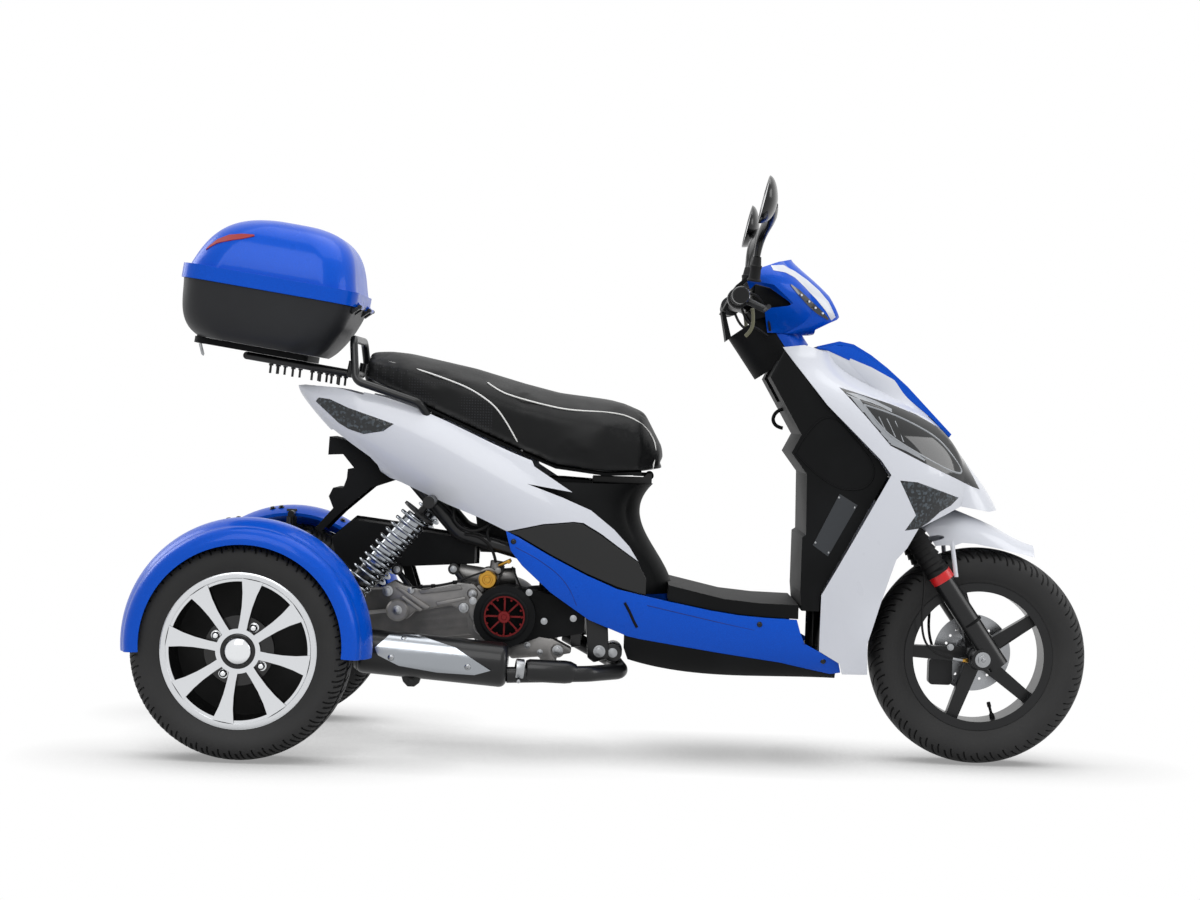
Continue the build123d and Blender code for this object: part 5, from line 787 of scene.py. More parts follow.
@dataclass
class Tyre:
    """Moulded tyre: a flat grid has its grooves sunk, and is then wrapped round the section and the axle."""

    node: str
    body: Body
    axle: tuple[float, float]
    middle: float
    radius: float
    half: float
    bead_r: float = 152.4
    pitches: int = 56
    slant: float = 0.55            # how far the grooves lean
    lean_pitches: float = 2.2      # pitches that a full lean crosses, from shoulder to middle
    groove_deep: float = 4.5
    groove_share: float = 0.26     # of a pitch
    short_share: float = 0.7       # width of a short groove, as a share of a long one's
    long_rows: tuple[int, int] = (9, 14)
    short_rows: tuple[int, int] = (8, 11)
    rings: tuple[int, ...] = ()
    walls: tuple[tuple[float, float], ...] = (
        (0.70, 0.0), (0.715, 0.075), (0.79, 0.135), (0.80, 0.165), (0.855, 0.225), (0.925, 0.34), (0.968, 0.44),
        (0.998, 0.56), (0.995, 0.66), (0.965, 0.745), (0.90, 0.825), (0.80, 0.89), (0.66, 0.94), (0.48, 0.970),
        (0.30, 0.988), (0.13, 0.998))

    def section(self) -> list[tuple[float, float]]:
        """Return the closed section as (distance from the middle, radius), from bead to bead."""
        wall = self.radius - self.bead_r
        right = [(-self.half * wide, self.bead_r + wall * high) for wide, high in self.walls]
        return right + [(-y, r) for y, r in reversed(right)]

    def build(self, shop: "Workshop") -> None:
        """Mould the tyre and replace the CAD one."""
        section = self.section()
        rows, columns = len(section) - 1, self.pitches * 4
        shape = bmesh.new()
        bmesh.ops.create_grid(shape, x_segments=columns, y_segments=rows, size=1.0)
        for vert in shape.verts:
            vert.co.x = round((vert.co.x + 1) / 2 * columns)
            vert.co.y = round((vert.co.y + 1) / 2 * rows)
        sunk = [face for face in shape.faces if self.is_groove(face.calc_center_median(), rows)]
        grown = bmesh.ops.extrude_face_region(shape, geom=sunk)["geom"]
        floor = [g for g in grown if isinstance(g, bmesh.types.BMVert)]
        bmesh.ops.translate(shape, verts=floor, vec=(0, 0, -self.groove_deep))
        bmesh.ops.delete(shape, geom=sunk, context="FACES_ONLY")
        for vert in shape.verts:
            vert.co = self.wrapped(vert.co, section, columns)
        bmesh.ops.remove_doubles(shape, verts=shape.verts, dist=0.02)
        bmesh.ops.bridge_loops(shape, edges=[e for e in shape.edges if e.is_boundary])
        bmesh.ops.recalc_face_normals(shape, faces=shape.faces)
        made = shop.piece(f"{self.node}_moulded", shape, TYRE, self.body, "tyre_rubber", 38.0)
        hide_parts(self.node)

    def is_groove(self, place: Vector, rows: int) -> bool:
        """Tell whether a cell of the flat grid is cut away."""
        row = int(place.y)
        from_wall = min(row, rows - 1 - row)
        shift = 2 if row * 2 > rows else 0
        step = (int(place.x) + shift) % 4
        if row in self.rings or rows - 1 - row in self.rings:
            return True
        if step == 0:
            return self.long_rows[0] <= from_wall <= self.long_rows[1]
        return step == 2 and self.short_rows[0] <= from_wall <= self.short_rows[1]

    def wrapped(self, flat: Vector, section: list[tuple[float, float]], columns: int) -> Vector:
        """Wrap a point of the flat grid round the tyre.

        Args:
            flat: Column, row and height of the point.
            section: The tyre's section.
            columns: Columns all round.

        Returns:
            The point in millimetres.
        """
        row = int(round(flat.y))
        y, radius = section[row]
        before, after = section[max(row - 1, 0)], section[min(row + 1, len(section) - 1)]
        out = Vector((before[1] - after[1], after[0] - before[0])).normalized()
        y, radius = y + out.x * flat.z, radius + out.y * flat.z
        column = int(round(flat.x))
        share = {0: 0.0, 1: self.groove_share, 2: 0.5, 3: 0.5 + self.groove_share * self.short_share}[column % 4]
        sweep = self.slant * (1.0 - abs(y) / self.half) * self.lean_pitches
        angle = math.tau * (column // 4 + share + sweep) / (columns // 4)
        return Vector((self.axle[0] + radius * math.cos(angle), self.middle + y,
                       self.axle[1] + radius * math.sin(angle)))


@dataclass
class Saddle:
    """Long seat for two: foam under vinyl, blown up by a cloth simulation, with white piping."""

    voxel_mm: float = 6.5
    shrink_mm: float = 3.0
    shrink_share: float = 0.3      # of that, before the swell
    pressure: float = 4.0
    stiffness: float = 18.0
    last_frame: int = 20
    cap_mm: float = 9.0
    held_facing: float = -0.75     # points that face down more than this stay flat on the pan
    free_over: float = 0.5         # and those that face up this much more swell fully
    rounds: int = 7
    piping_mm: float = 3.4
    panel: tuple[float, float] = (-545.0, -285.0)      # the dotted panel, from back to front
    panel_below: float = 8.0       # how far under the piping it starts
    panel_facing: float = 0.93     # faces that look up or down more than this aren't in it
    passenger_line: tuple[tuple[float, float], ...] = (
        (-560.0, 842.0), (-530.6, 836.0), (-448.1, 818.4), (-391.6, 801.0), (-341.4, 783.4), (-308.5, 765.2),
        (-279.8, 744.6), (-257.2, 715.3), (-236.5, 681.3), (-218.9, 652.9))
    rider_line: tuple[tuple[float, float], ...] = (
        (-300.8, 795.3), (-274.7, 777.6), (-233.4, 765.0), (-176.9, 751.9), (-122.8, 742.0), (-39.6, 740.7),
        (1.7, 735.2), (35.4, 718.4), (56.5, 696.5), (70.3, 664.3), (62.1, 622.4))

    def build(self, shop: "Workshop") -> None:
        """Blow up the foam, dress it and lay the piping on it."""
        shape = shop.node_shape("seat")
        bmesh.ops.scale(shape, vec=(MM, MM, MM), verts=shape.verts)
        mesh = bpy.data.meshes.new("seat_foam")
        shape.to_mesh(mesh)
        shape.free()
        foam = bpy.data.objects.new("seat_foam", mesh)
        bpy.context.scene.collection.objects.link(foam)
        grid = foam.modifiers.new("voxels", "REMESH")
        grid.mode = "VOXEL"
        grid.voxel_size = self.voxel_mm * MM
        mesh = self.applied(foam)
        shape = bmesh.new()
        shape.from_mesh(mesh)
        for _ in range(self.rounds):
            bmesh.ops.smooth_vert(shape, verts=shape.verts, factor=0.5, use_axis_x=True, use_axis_y=True,
                                  use_axis_z=True)
        shape.normal_update()
        for vert in shape.verts:
            vert.co -= vert.normal * self.shrink_mm * MM * self.shrink_share
        shape.to_mesh(mesh)
        rest = [(vert.co.copy(), vert.normal.z) for vert in shape.verts]
        shape.free()
        foam.data = mesh
        self.blow(foam, rest)
        shape = bmesh.new()
        shape.from_mesh(foam.data)
        bpy.data.objects.remove(foam)
        bmesh.ops.scale(shape, vec=(1 / MM, 1 / MM, 1 / MM), verts=shape.verts)
        pad = shop.piece("seat_pad", shape, VINYL, Body.SEAT, "seat_vinyl", 75.0)
        pad.data.materials.append(PIPS.material())
        for face in pad.data.polygons:
            x, _, z = face.center / MM
            inside = self.panel[0] < x < self.panel[1] and abs(face.normal.z) < self.panel_facing
            if inside and z < self.height(self.passenger_line, x) - self.panel_below:
                face.material_index = 1
        smooth = pad.modifiers.new("rounder", "SUBSURF")
        smooth.levels = smooth.render_levels = 1
        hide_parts("seat")
        self.lay_piping(shop, Skin(pad))

    def applied(self, thing: bpy.types.Object) -> bpy.types.Mesh:
        """Return the object's mesh with its modifiers applied, and remove them."""
        seen = thing.evaluated_get(bpy.context.evaluated_depsgraph_get())
        mesh = bpy.data.meshes.new_from_object(seen)
        thing.modifiers.clear()
        return mesh

    def blow(self, foam: bpy.types.Object, rest: list[tuple[Vector, float]]) -> None:
        """Swell the foam with Blender's cloth, and cap how far each point goes.

        Args:
            foam: The seat's object.
            rest: Its points before the simulation, with how far each one faces up.
        """
        cloth = foam.modifiers.new("swell", "CLOTH")
        cloth.settings.use_pressure = True
        cloth.settings.uniform_pressure_force = self.pressure
        cloth.settings.effector_weights.gravity = 0
        cloth.settings.quality = 5
        cloth.settings.tension_stiffness = self.stiffness
        cloth.settings.compression_stiffness = self.stiffness
        cloth.point_cache.frame_start = 1
        cloth.point_cache.frame_end = self.last_frame
        scene = bpy.context.scene
        for step in range(1, self.last_frame + 1):
            scene.frame_set(step)
        mesh = self.applied(foam)
        for vert, (old, facing) in zip(mesh.vertices, rest):
            move = vert.co - old
            far = max(move.length / MM, 1e-6)
            held = min(max((facing - self.held_facing) / self.free_over, 0.0), 1.0)
            vert.co = old + move * min(1.0, self.cap_mm / far) * held
        foam.data = mesh
        scene.frame_set(1)

    def height(self, line: Sequence[tuple[float, float]], x: float) -> float:
        """Return the height of a traced line at a place along the seat."""
        for (x0, z0), (x1, z1) in zip(line, line[1:]):
            if x0 <= x <= x1:
                return z0 + (z1 - z0) * (x - x0) / (x1 - x0)
        return line[0][1] if x < line[0][0] else line[-1][1]

    def lay_piping(self, shop: "Workshop", skin: Skin) -> None:
        """Lay the piping of both cushions on both sides."""
        routes = [[skin.beside(x, z, side, 1.2) for x, z in line]
                  for line in (self.passenger_line, self.rider_line) for side in SIDES]
        shop.cable("seat_piping", routes, self.piping_mm, PIPING, Body.SEAT, "seat_vinyl", resolution=12)


@dataclass
class RearWheels:
    """Nuts, caps and valves of the two driven wheels."""

    axle: tuple[float, float] = REAR_AXLE
    face: float = 413.0
    flange_back: float = 16.0
    nut_circle: float = 56.0
    nut_turn_deg: float = 32.0
    valve_circle: float = 143.0
    valve_side: float = 378.0
    valve_turn_deg: float = -66.0
    lip_back: float = 4.6

    def build(self, shop: "Workshop") -> None:
        """Make the fittings of each wheel."""
        for side, body in ((-1, Body.REAR_RIGHT), (1, Body.REAR_LEFT)):
            word = WORD[side]
            out = (0, side, 0)
            nuts, cap = Form(), Form()
            for step in range(4):
                angle = math.radians(side * self.nut_turn_deg + 90 * step)
                at = about(self.axle, self.nut_circle, angle, side * (self.face - self.flange_back))
                nuts.prism(at, out, 10.5, 3.0, 28, edge=0.6).prism(at, out, 9.2, 9.0, 6, edge=0.6)
                nuts.turned([(0, 17.5), (3.4, 16.8), (6.2, 14.6), (7.6, 11.5), (8.0, 8.0), (0, 8.0)], at, out, 24)
            hub = (self.axle[0], side * self.face, self.axle[1])
            cap.turned([(0, 11.4), (9, 10.6), (18, 8.2), (25, 4.6), (28.5, 1.0), (28.5, -0.6), (0, -0.6)], hub, out, 56)
            shop.piece(f"lug_nuts_{word}", nuts.mesh, CHROME, body, "silver_alloy")
            shop.piece(f"hub_cap_{word}", cap.mesh, CHROME, body, "silver_alloy", 60)
            ring = Form().turned([(28.6, -0.4), (28.6, 2.2), (32.5, 2.6), (35.5, 1.2), (36.5, -0.4)], hub, out, 56)
            shop.piece(f"cap_ring_{word}", ring.mesh, BLACK_GLOSS, body, "black_plastic", 50)
            angle = math.radians(self.valve_turn_deg)
            way = (-math.cos(angle), side * 0.35, -math.sin(angle))
            foot = about(self.axle, self.valve_circle, angle, side * self.valve_side)
            valve = Form().turned([(0, 31), (4.4, 31), (4.6, 22), (3.2, 21), (3.2, 9), (5.2, 7), (6.4, -3), (0, -3)],
                                  foot, way, 20)
            shop.piece(f"valve_{word}", valve.mesh, RUBBER, body, "black_rubber")
            rim = Form().turned([(147.8, 2.0), (149.4, 3.4), (157.6, 3.4), (160.2, 2.2), (160.8, -1.5), (147.8, -1.5),
                                 (147.8, 2.0)],
                                (self.axle[0], side * (self.face - self.lip_back), self.axle[1]), out, 120)
            shop.piece(f"rim_lip_{word}", rim.mesh, RIM_LIP, body, "silver_alloy", 40)


@dataclass
class FrontWheel:
    """Hub fittings, disc bolts and valve of the steered wheel."""

    axle: tuple[float, float] = FRONT_AXLE

    def build(self, shop: "Workshop") -> None:
        """Make the fittings."""
        x, z = self.axle
        seal = Form().turned([(0, 3.2), (13, 3.2), (15, 1.2), (20, 1.2), (22, 3.4), (24.5, 3.0), (26, 0.4), (26, -1),
                              (0, -1)],
                             (x, -48, z), RIGHT, 48)
        shop.piece("front_hub_seal", seal.mesh, RUBBER, Body.FRONT_WHEEL, "black_rubber")
        bolts = Form()
        for step in range(5):
            angle = math.tau * step / 5 + 0.3
            bolts.domed(about(self.axle, 31, angle, 60), LEFT, 6.0, 4.2)
        shop.piece("disc_bolts", bolts.mesh, ZINC, Body.FRONT_WHEEL, "bright_steel")
        valve = Form().turned([(0, 34), (4.2, 34), (4.4, 24), (3.1, 23), (3.1, 9), (5.0, 7), (6.2, -4), (0, -4)],
                              (x + 40.5, -6, z - 134), (-0.32, -0.2, 1), 20)
        shop.piece("front_valve", valve.mesh, RUBBER, Body.FRONT_WHEEL, "black_rubber")


@dataclass
class Fork:
    """Bands, axle ends, drive cable and brake hose of the fork."""

    up: tuple[float, float, float] = (-0.573576, 0.0, 0.819152)
    leg_side: float = 90.0
    slider_r: float = 23.0
    band_at: tuple[float, float] = (694.5, 411.0)
    cable_line: tuple[tuple[float, float, float], ...] = (
        (652, -84, 452), (656, -92, 420), (657, -112, 385), (652, -118, 340), (653, -116, 300), (662, -112, 268),
        (684, -106, 247), (712, -101, 238), (742, -97, 232))
    hose_line: tuple[tuple[float, float, float], ...] = (
        (664, 84, 452), (672, 116, 415), (690, 120, 380), (698, 118, 330), (694, 104, 280), (702, 78, 240),
        (712, 66, 222))

    def build(self, shop: "Workshop") -> None:
        """Make the fork's trim."""
        bands, rims = Form(), Form()
        radius = self.slider_r
        for side in SIDES:
            at = (self.band_at[0], side * self.leg_side, self.band_at[1])
            bands.turned([(radius, -11), (radius + 1.8, -10.6), (radius + 2.2, -9), (radius + 2.2, 9),
                          (radius + 1.8, 10.6), (radius, 11)], at, self.up, 44)
            foot = Vector(at) + Vector(self.up) * 14
            rims.turned([(radius, 0), (radius + 1.6, 0.6), (radius + 1.6, 14), (radius - 2, 17)], foot, self.up, 44)
            foot = Vector(at) - Vector(self.up) * 118
            rims.turned([(radius, -3), (radius + 1.3, -2.2), (radius + 1.3, 2.2), (radius, 3)], foot, self.up, 44)
        shop.piece("fork_bands", bands.mesh, RED_RUBBER, Body.STEERING, "red_plastic")
        shop.piece("fork_collars", rims.mesh, BLACK_ABS, Body.STEERING, "black_steel")
        ends = Form()
        for side in SIDES:
            at = (787.0, side * 113.5, 236.5)
            ends.bolt(at, (0, side, 0), 11.5)
            ends.turned([(0, 13), (3, 12.4), (4.6, 10.4), (4.6, 7), (0, 7)], at, (0, side, 0), 20)
        ends.bolt((716, -118.0, 262), RIGHT, 5)
        shop.piece("axle_nuts", ends.mesh, ZINC, Body.STEERING, "bright_steel")
        drive = Form().turned([(0, 6), (21, 6), (25, 3.4), (28, -1), (28, -12), (0, -12)], (787, -62, 236.5), RIGHT, 44)
        drive.prism((759, -66, 233), (-1, 0, -0.05), 6.5, 14, 20, edge=0.8)
        shop.piece("speed_drive", drive.mesh, BLACK_CAST, Body.STEERING, "black_alloy")
        shop.cable("speed_cable", [self.cable_line], 5.0, RUBBER, Body.STEERING, "black_rubber")
        ferrule = Form().prism((724, -98.5, 235.3), (1, 0.05, -0.12), 3.6, 22, 16, edge=0.5)
        shop.piece("cable_ferrule", ferrule.mesh, ZINC, Body.STEERING, "bright_steel")
        sleeve = Form().prism((744, -96, 232.4), (1, 0.3, -0.05), 5.0, 14, 6, edge=0.6)
        shop.piece("cable_sleeve", sleeve.mesh, BRASS, Body.STEERING, "bright_steel")
        shop.cable("brake_hose", [self.hose_line], 6.5, RUBBER, Body.STEERING, "black_rubber")
        caliper = Form().domed((716, 99.2, 210), LEFT, 10, 4).domed((748, 99.2, 190), LEFT, 10, 4)
        caliper.bolt((733, 99.0, 222), LEFT, 5.5)
        shop.piece("caliper_caps", caliper.mesh, ZINC, Body.STEERING, "black_alloy")


@dataclass
class Controls:
    """Grips, instrument housing, mirrors and cables at the handlebar."""

    grip: tuple[float, float] = (229.0, 992.0)
    grip_inner: float = 205.0
    grip_outer: float = 340.0
    grip_r: float = 16.0
    mirror_middle: tuple[float, float, float] = (268.0, 360.0, 1188.5)
    mirror_half: tuple[float, float, float] = (29.0, 74.0, 50.0)
    mirror_lean_deg: float = 12.2
    mirror_taper: float = 0.25     # thinner at the top
    mirror_belly: float = 0.15     # and fuller below
    mirror_rim: float = 3.5
    mirror_recess: float = 2.6

    def build(self, shop: "Workshop") -> None:
        """Make the handlebar's fittings."""
        ribs, ends, rings = Form(), Form(), Form()
        x, z = self.grip
        for side in SIDES:
            out = (0, side, 0)
            for step in range(13):
                at = (x, side * (self.grip_inner + 16 + step * 7.4), z)
                ribs.turned([(self.grip_r - 0.4, -2.4), (self.grip_r + 1.3, -1.5), (self.grip_r + 1.3, 1.5),
                             (self.grip_r - 0.4, 2.4)], at, out, 36)
            ends.turned([(0, 4), (6, 4), (6.4, 5.4), (13, 5.0), (17.6, 2.6), (18.6, -1), (18.6, -5), (15.6, -6)],
                        (x, side * (self.grip_outer - 3), z), out, 40)
            rings.turned([(15.8, -3), (20.5, -2.6), (21.2, 0), (20.5, 2.6), (15.8, 3)],
                         (x, side * (self.grip_inner + 5), z), out, 40)
        shop.piece("grip_ribs", ribs.mesh, RUBBER, Body.STEERING, "black_rubber", 50)
        shop.piece("grip_ends", ends.mesh, BLACK_GLOSS, Body.STEERING, "black_rubber", 40)
        shop.piece("grip_collars", rings.mesh, RUBBER, Body.STEERING, "black_rubber", 50)
        dark = Form().plate([(268, 950), (338, 972), (350, 986), (344, 994), (302, 1022), (268, 1030)], (0, 96, 0),
                            RIGHT, 192, edge=4)
        shop.piece("instrument_housing", dark.mesh, BLACK_ABS, Body.STEERING, "black_plastic")
        boots = Form()
        for side in SIDES:
            boots.turned([(0, 0), (15, 0), (15.5, 3), (12.6, 6), (11.4, 26), (12.6, 29), (12.8, 33), (10.6, 35),
                          (8.4, 52), (0, 52)],
                         (262, side * 190, 1030), (0.10, side * 0.16, 1), 36)
        shop.piece("mirror_boots", boots.mesh, RUBBER, Body.STEERING, "black_rubber")
        self.mirrors(shop)
        routes = []
        for side in SIDES:
            routes.append([(236, side * 172, 984), (244, side * 150, 958), (262, side * 124, 938),
                           (284, side * 98, 930), (300, side * 82, 918)])
            routes.append([(240, side * 170, 1004), (262, side * 146, 1008), (284, side * 120, 992),
                           (300, side * 92, 962), (306, side * 78, 930)])
        shop.cable("control_cables", routes, 6.0, RUBBER, Body.STEERING, "black_rubber")
        sheath = [[(262, side * 168, 972), (266, side * 158, 948), (262, side * 150, 926),
                   (250, side * 146, 914)] for side in SIDES]
        shop.cable("cable_sheaths", sheath, 8.5, SHEATH, Body.STEERING, "black_rubber")

    def mirrors(self, shop: "Workshop") -> None:
        """Blow the mirror shells up as half eggs on tapered stems, in place of the plain CAD ones."""
        stems = []
        shape = bmesh.new()
        for side in SIDES:
            egg = bmesh.ops.create_uvsphere(shape, u_segments=48, v_segments=32, radius=1.0)["verts"]
            for vert in egg:
                low = max(-vert.co.z, 0.0)
                vert.co.x *= 1.0 - self.mirror_taper * max(vert.co.z, 0.0) + self.mirror_belly * low
            lean = Matrix.Rotation(math.radians(self.mirror_lean_deg), 4, "Y")
            bmesh.ops.scale(shape, vec=self.mirror_half, verts=egg)
            ring = list({e for v in egg for e in v.link_edges})
            faces = list({f for v in egg for f in v.link_faces})
            cut = bmesh.ops.bisect_plane(shape, geom=egg + ring + faces, plane_co=(0, 0, 0), plane_no=(-1, 0, 0),
                                         clear_outer=True)["geom_cut"]
            edges = [g for g in cut if isinstance(g, bmesh.types.BMEdge)]
            disc = bmesh.ops.edgeloop_fill(shape, edges=edges)["faces"]
            inner = bmesh.ops.inset_region(shape, faces=disc, thickness=self.mirror_rim, use_even_offset=True)["faces"]
            bmesh.ops.translate(shape, verts=list({v for f in disc for v in f.verts}), vec=(self.mirror_recess, 0, 0))
            left = {v for f in disc + inner for v in f.verts}
            whole, queue = set(left), list(left)
            while queue:
                for edge in queue.pop().link_edges:
                    for vert in edge.verts:
                        if vert not in whole:
                            whole.add(vert)
                            queue.append(vert)
            bmesh.ops.transform(shape, verts=list(whole), matrix=Matrix.Translation(
                (self.mirror_middle[0], side * self.mirror_middle[1], self.mirror_middle[2])) @ lean)
            stems.append([(266, side * 196, 1078), (268, side * 204, 1100), (274, side * 228, 1128),
                          (284, side * 270, 1150), (288, side * 320, 1166), (284, side * 350, 1178)])
        bmesh.ops.recalc_face_normals(shape, faces=shape.faces)
        heads = shop.piece("mirror_shells", shape, BLACK_GLOSS, Body.STEERING, "black_plastic", 40)
        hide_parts("mirrors")
        shop.cable("mirror_stems", stems, 22.0, BLACK_GLOSS, Body.STEERING, "black_plastic",
                   radii=(0.62, 0.72, 0.95, 1.15, 1.25, 1.3))


@dataclass
class PowerUnit:
    """Fan trim, carburettor, hoses, cast arm, exhaust fittings, mounts and springs round the engine."""

    fan: tuple[float, float] = (-243.0, 299.0)
    spring_top: tuple[float, float, float] = (-409.0, 0.0, 538.0)
    spring_foot: tuple[float, float, float] = (-612.0, 0.0, 292.0)
    spring_side: float = 215.0
    wound: tuple[float, float] = (0.118, 0.802)        # where the coil starts and ends between them
    turns: int = 13
    points: int = 14               # for each turn
    coil_r: float = 30.5
    wire_mm: float = 7.4
    tube_r: float = 20.6
    tube_long: float = 150.0
    tube_from: float = 40.0

    def build(self, shop: "Workshop") -> None:
        """Make the small parts of the engine bay."""
        x, z = self.fan
        ring = Form().turned([(43.5, 0), (44.5, 3.6), (48, 5.0), (51.5, 3.6), (53, 0)], (x, -181.6, z), RIGHT, 64)
        shop.piece("fan_collar", ring.mesh, BLACK_ABS, Body.CHASSIS, "black_plastic", 50)
        boss = Form().turned([(0, 6.5), (5, 6.5), (6, 4.2), (12, 4.2), (13.5, 2.0), (13.5, -1), (0, -1)],
                             (x, -198.0, z), RIGHT, 32)
        for step in range(16):
            angle = math.tau * step / 16
            boss.turned([(0, 3.0), (1.6, 2.6), (2.7, 1.0), (2.7, -1), (0, -1)],
                        about(self.fan, 38.2, angle, -198.0), RIGHT, 12)
        shop.piece("fan_studs", boss.mesh, RED_ANODISED, Body.CHASSIS, "red_plastic")
        bolts = Form()
        for bx, bz, size in ((-311, 330, 5.5), (-300, 240, 5.5), (-192, 352, 5.0), (-158, 292, 5.0), (-96, 300, 5.0)):
            bolts.bolt((bx, -183.2, bz), RIGHT, size)
        shop.piece("shroud_bolts", bolts.mesh, ZINC, Body.CHASSIS, "bright_steel")
        carb = Form().turned([(0, 9), (6, 9), (7, 6.5), (10, 6.5), (11, 9), (17, 9), (19.5, 6.5), (20, 0), (20, -26),
                              (0, -26)],
                             (-283, -150, 374), RIGHT, 40)
        shop.piece("carburettor_cap", carb.mesh, BRASS, Body.CHASSIS, "bright_steel")
        body = Form().prism((-283, -124, 374), LEFT, 24, 62, 32, edge=2).prism((-283, -94, 374), (1, 0, 0.1), 19, 58,
                                                                               32, edge=2)
        body.prism((-283, -94, 374), (-1, 0, 0.12), 21, 66, 32, edge=2).prism((-272, -96, 350), (0.1, 0, 1), 15, 62, 24,
                                                                              edge=2)
        body.prism((-300, -112, 352), RIGHT, 9, 30, 20, edge=1).prism((-262, -112, 388), (0, -1, 0.2), 7, 26, 20,
                                                                      edge=1)
        shop.piece("carburettor", body.mesh, CASTING, Body.CHASSIS, "engine_alloy")
        fitting = Form().prism((-262, -118, 403), (1, -0.1, 0.5), 4, 30, 6, edge=0.6).prism((-240, -118, 413), RIGHT, 5,
                                                                                            16, 6, edge=0.6)
        shop.piece("fuel_fitting", fitting.mesh, BRASS, Body.CHASSIS, "bright_steel")
        hoses = [[(-362, -128, 524), (-363, -136, 506), (-352, -140, 487), (-322, -142, 474), (-292, -140, 484),
                  (-279, -134, 502), (-276, -120, 520)],
                 [(-366, -110, 466), (-348, -130, 468), (-312, -136, 468), (-290, -134, 455), (-274, -130, 436),
                  (-268, -124, 410)],
                 [(-262, -120, 502), (-282, -132, 490), (-290, -134, 470), (-278, -130, 448), (-262, -122, 436)]]
        shop.cable("engine_hoses", hoses, 6.5, RUBBER, Body.CHASSIS, "black_rubber")
        fine = [[(-443, -168, 352), (-425, -174, 356), (-395, -175, 358), (-350, -174, 368), (-312, -168, 384),
                 (-288, -156, 392)],
                [(-250, -136, 404), (-252, -142, 388), (-262, -146, 372), (-268, -150, 352)],
                [(-232, -132, 402), (-222, -140, 382), (-214, -144, 362), (-206, -140, 352)]]
        shop.cable("engine_cables", fine, 4.2, RUBBER, Body.CHASSIS, "black_rubber")
        clips = Form()
        for cx, cz in ((-425, 355.5), (-398, 357.6), (-352, 367)):
            clips.prism((cx - 4, -174, cz), (1, 0, 0.1), 4.2, 9, 16, edge=0.5)
        shop.piece("cable_clips", clips.mesh, BLACK_ABS, Body.CHASSIS, "black_plastic")
        self.arm(shop)
        self.exhaust(shop)
        self.mount(shop)
        self.coils(shop)

    def coils(self, shop: "Workshop") -> None:
        """Wind the two suspension springs closely, round bright damper tubes."""
        top, foot, out = Vector(self.spring_top), Vector(self.spring_foot), Vector(LEFT)
        down = (foot - top).normalized()
        flat = down.cross(out)
        first, last = (share * (foot - top).length for share in self.wound)
        steps = self.turns * self.points
        routes, tubes = [], Form()
        for side in SIDES:
            aside = Vector((0, side * self.spring_side, 0))
            route = []
            for k in range(steps + 1):
                angle = math.tau * k / self.points
                middle = top + down * (first + (last - first) * k / steps)
                route.append(middle + aside + (out * math.cos(angle) + flat * math.sin(angle)) * self.coil_r)
            routes.append(route)
            tubes.prism(top + down * self.tube_from + aside, down, self.tube_r, self.tube_long, 48, edge=1.5)
        wound = shop.cable("spring_coils", routes, self.wire_mm, SPRING_WIRE, Body.CHASSIS, "chrome_plate",
                           resolution=3)
        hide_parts("springs")
        shop.piece("damper_tubes", tubes.mesh, SHIELD, Body.CHASSIS, "chrome_plate")

    def arm(self, shop: "Workshop") -> None:
        """Make the cast arm beside the crankcase, with its ribs and bolts, as the photo shows it."""
        outline = [(-506, 352), (-492, 320), (-478, 286), (-452, 284), (-436, 300), (-360, 316), (-322, 300),
                   (-306, 262),
                   (-286, 246), (-286, 336), (-312, 364), (-346, 366), (-420, 348), (-462, 356), (-482, 366)]
        arm = Form().plate(outline, (0, -118, 0), RIGHT, 34, edge=4.0)
        for rib, thick in (([(-480, 350), (-470, 352), (-404, 312), (-414, 304)], 7),
                           ([(-470, 330), (-462, 334), (-420, 306), (-426, 300)], 7),
                           ([(-430, 346), (-340, 360), (-336, 352), (-424, 338)], 6),
                           ([(-392, 322), (-330, 336), (-326, 330), (-388, 314)], 6)):
            arm.plate(rib, (0, -150, 0), RIGHT, thick, edge=1.5)
        arm.turned([(0, 8), (20, 8), (24, 4), (24, -4), (0, -4)], (-474, -150, 302), RIGHT, 40)
        for bx, bz in ((-332, 312), (-314, 343), (-300, 282)):
            arm.turned([(0, 4), (10, 4), (12, 2), (13, -3), (0, -3)], (bx, -150, bz), RIGHT, 28)
        shop.piece("swing_arm", arm.mesh, CASTING, Body.CHASSIS, "engine_alloy")
        bolts = Form()
        for bx, bz, size in ((-332, 312, 7.5), (-314, 343, 5.5), (-300, 282, 5.5), (-496, 343, 8.0), (-474, 302, 7.0),
                             (-446, 346, 5)):
            bolts.bolt((bx, -153.6 if bx > -440 else -157.4, bz), RIGHT, size)
        shop.piece("arm_bolts", bolts.mesh, ZINC, Body.CHASSIS, "bright_steel")
        struts = Form()
        for foot, head in (((-480, -126, 388), (-441, -136, 338)), ((-358, -126, 393), (-326, -136, 358))):
            way = Vector(head) - Vector(foot)
            struts.prism(foot, way, 7.5, way.length, 4, edge=1.2, turn_deg=45)
            struts.prism(Vector(foot) + Vector((0, 8, 0)), RIGHT, 12, 18, 24, edge=1.5)
            struts.prism(Vector(head) + Vector((0, 6, 0)), RIGHT, 10, 16, 24, edge=1.5)
        shop.piece("box_struts", struts.mesh, BLACK_STEEL, Body.CHASSIS, "black_steel")
        heads = Form().bolt((-480, -136, 388), RIGHT, 5).bolt((-358, -136, 393), RIGHT, 5)
        shop.piece("strut_bolts", heads.mesh, ZINC, Body.CHASSIS, "bright_steel")

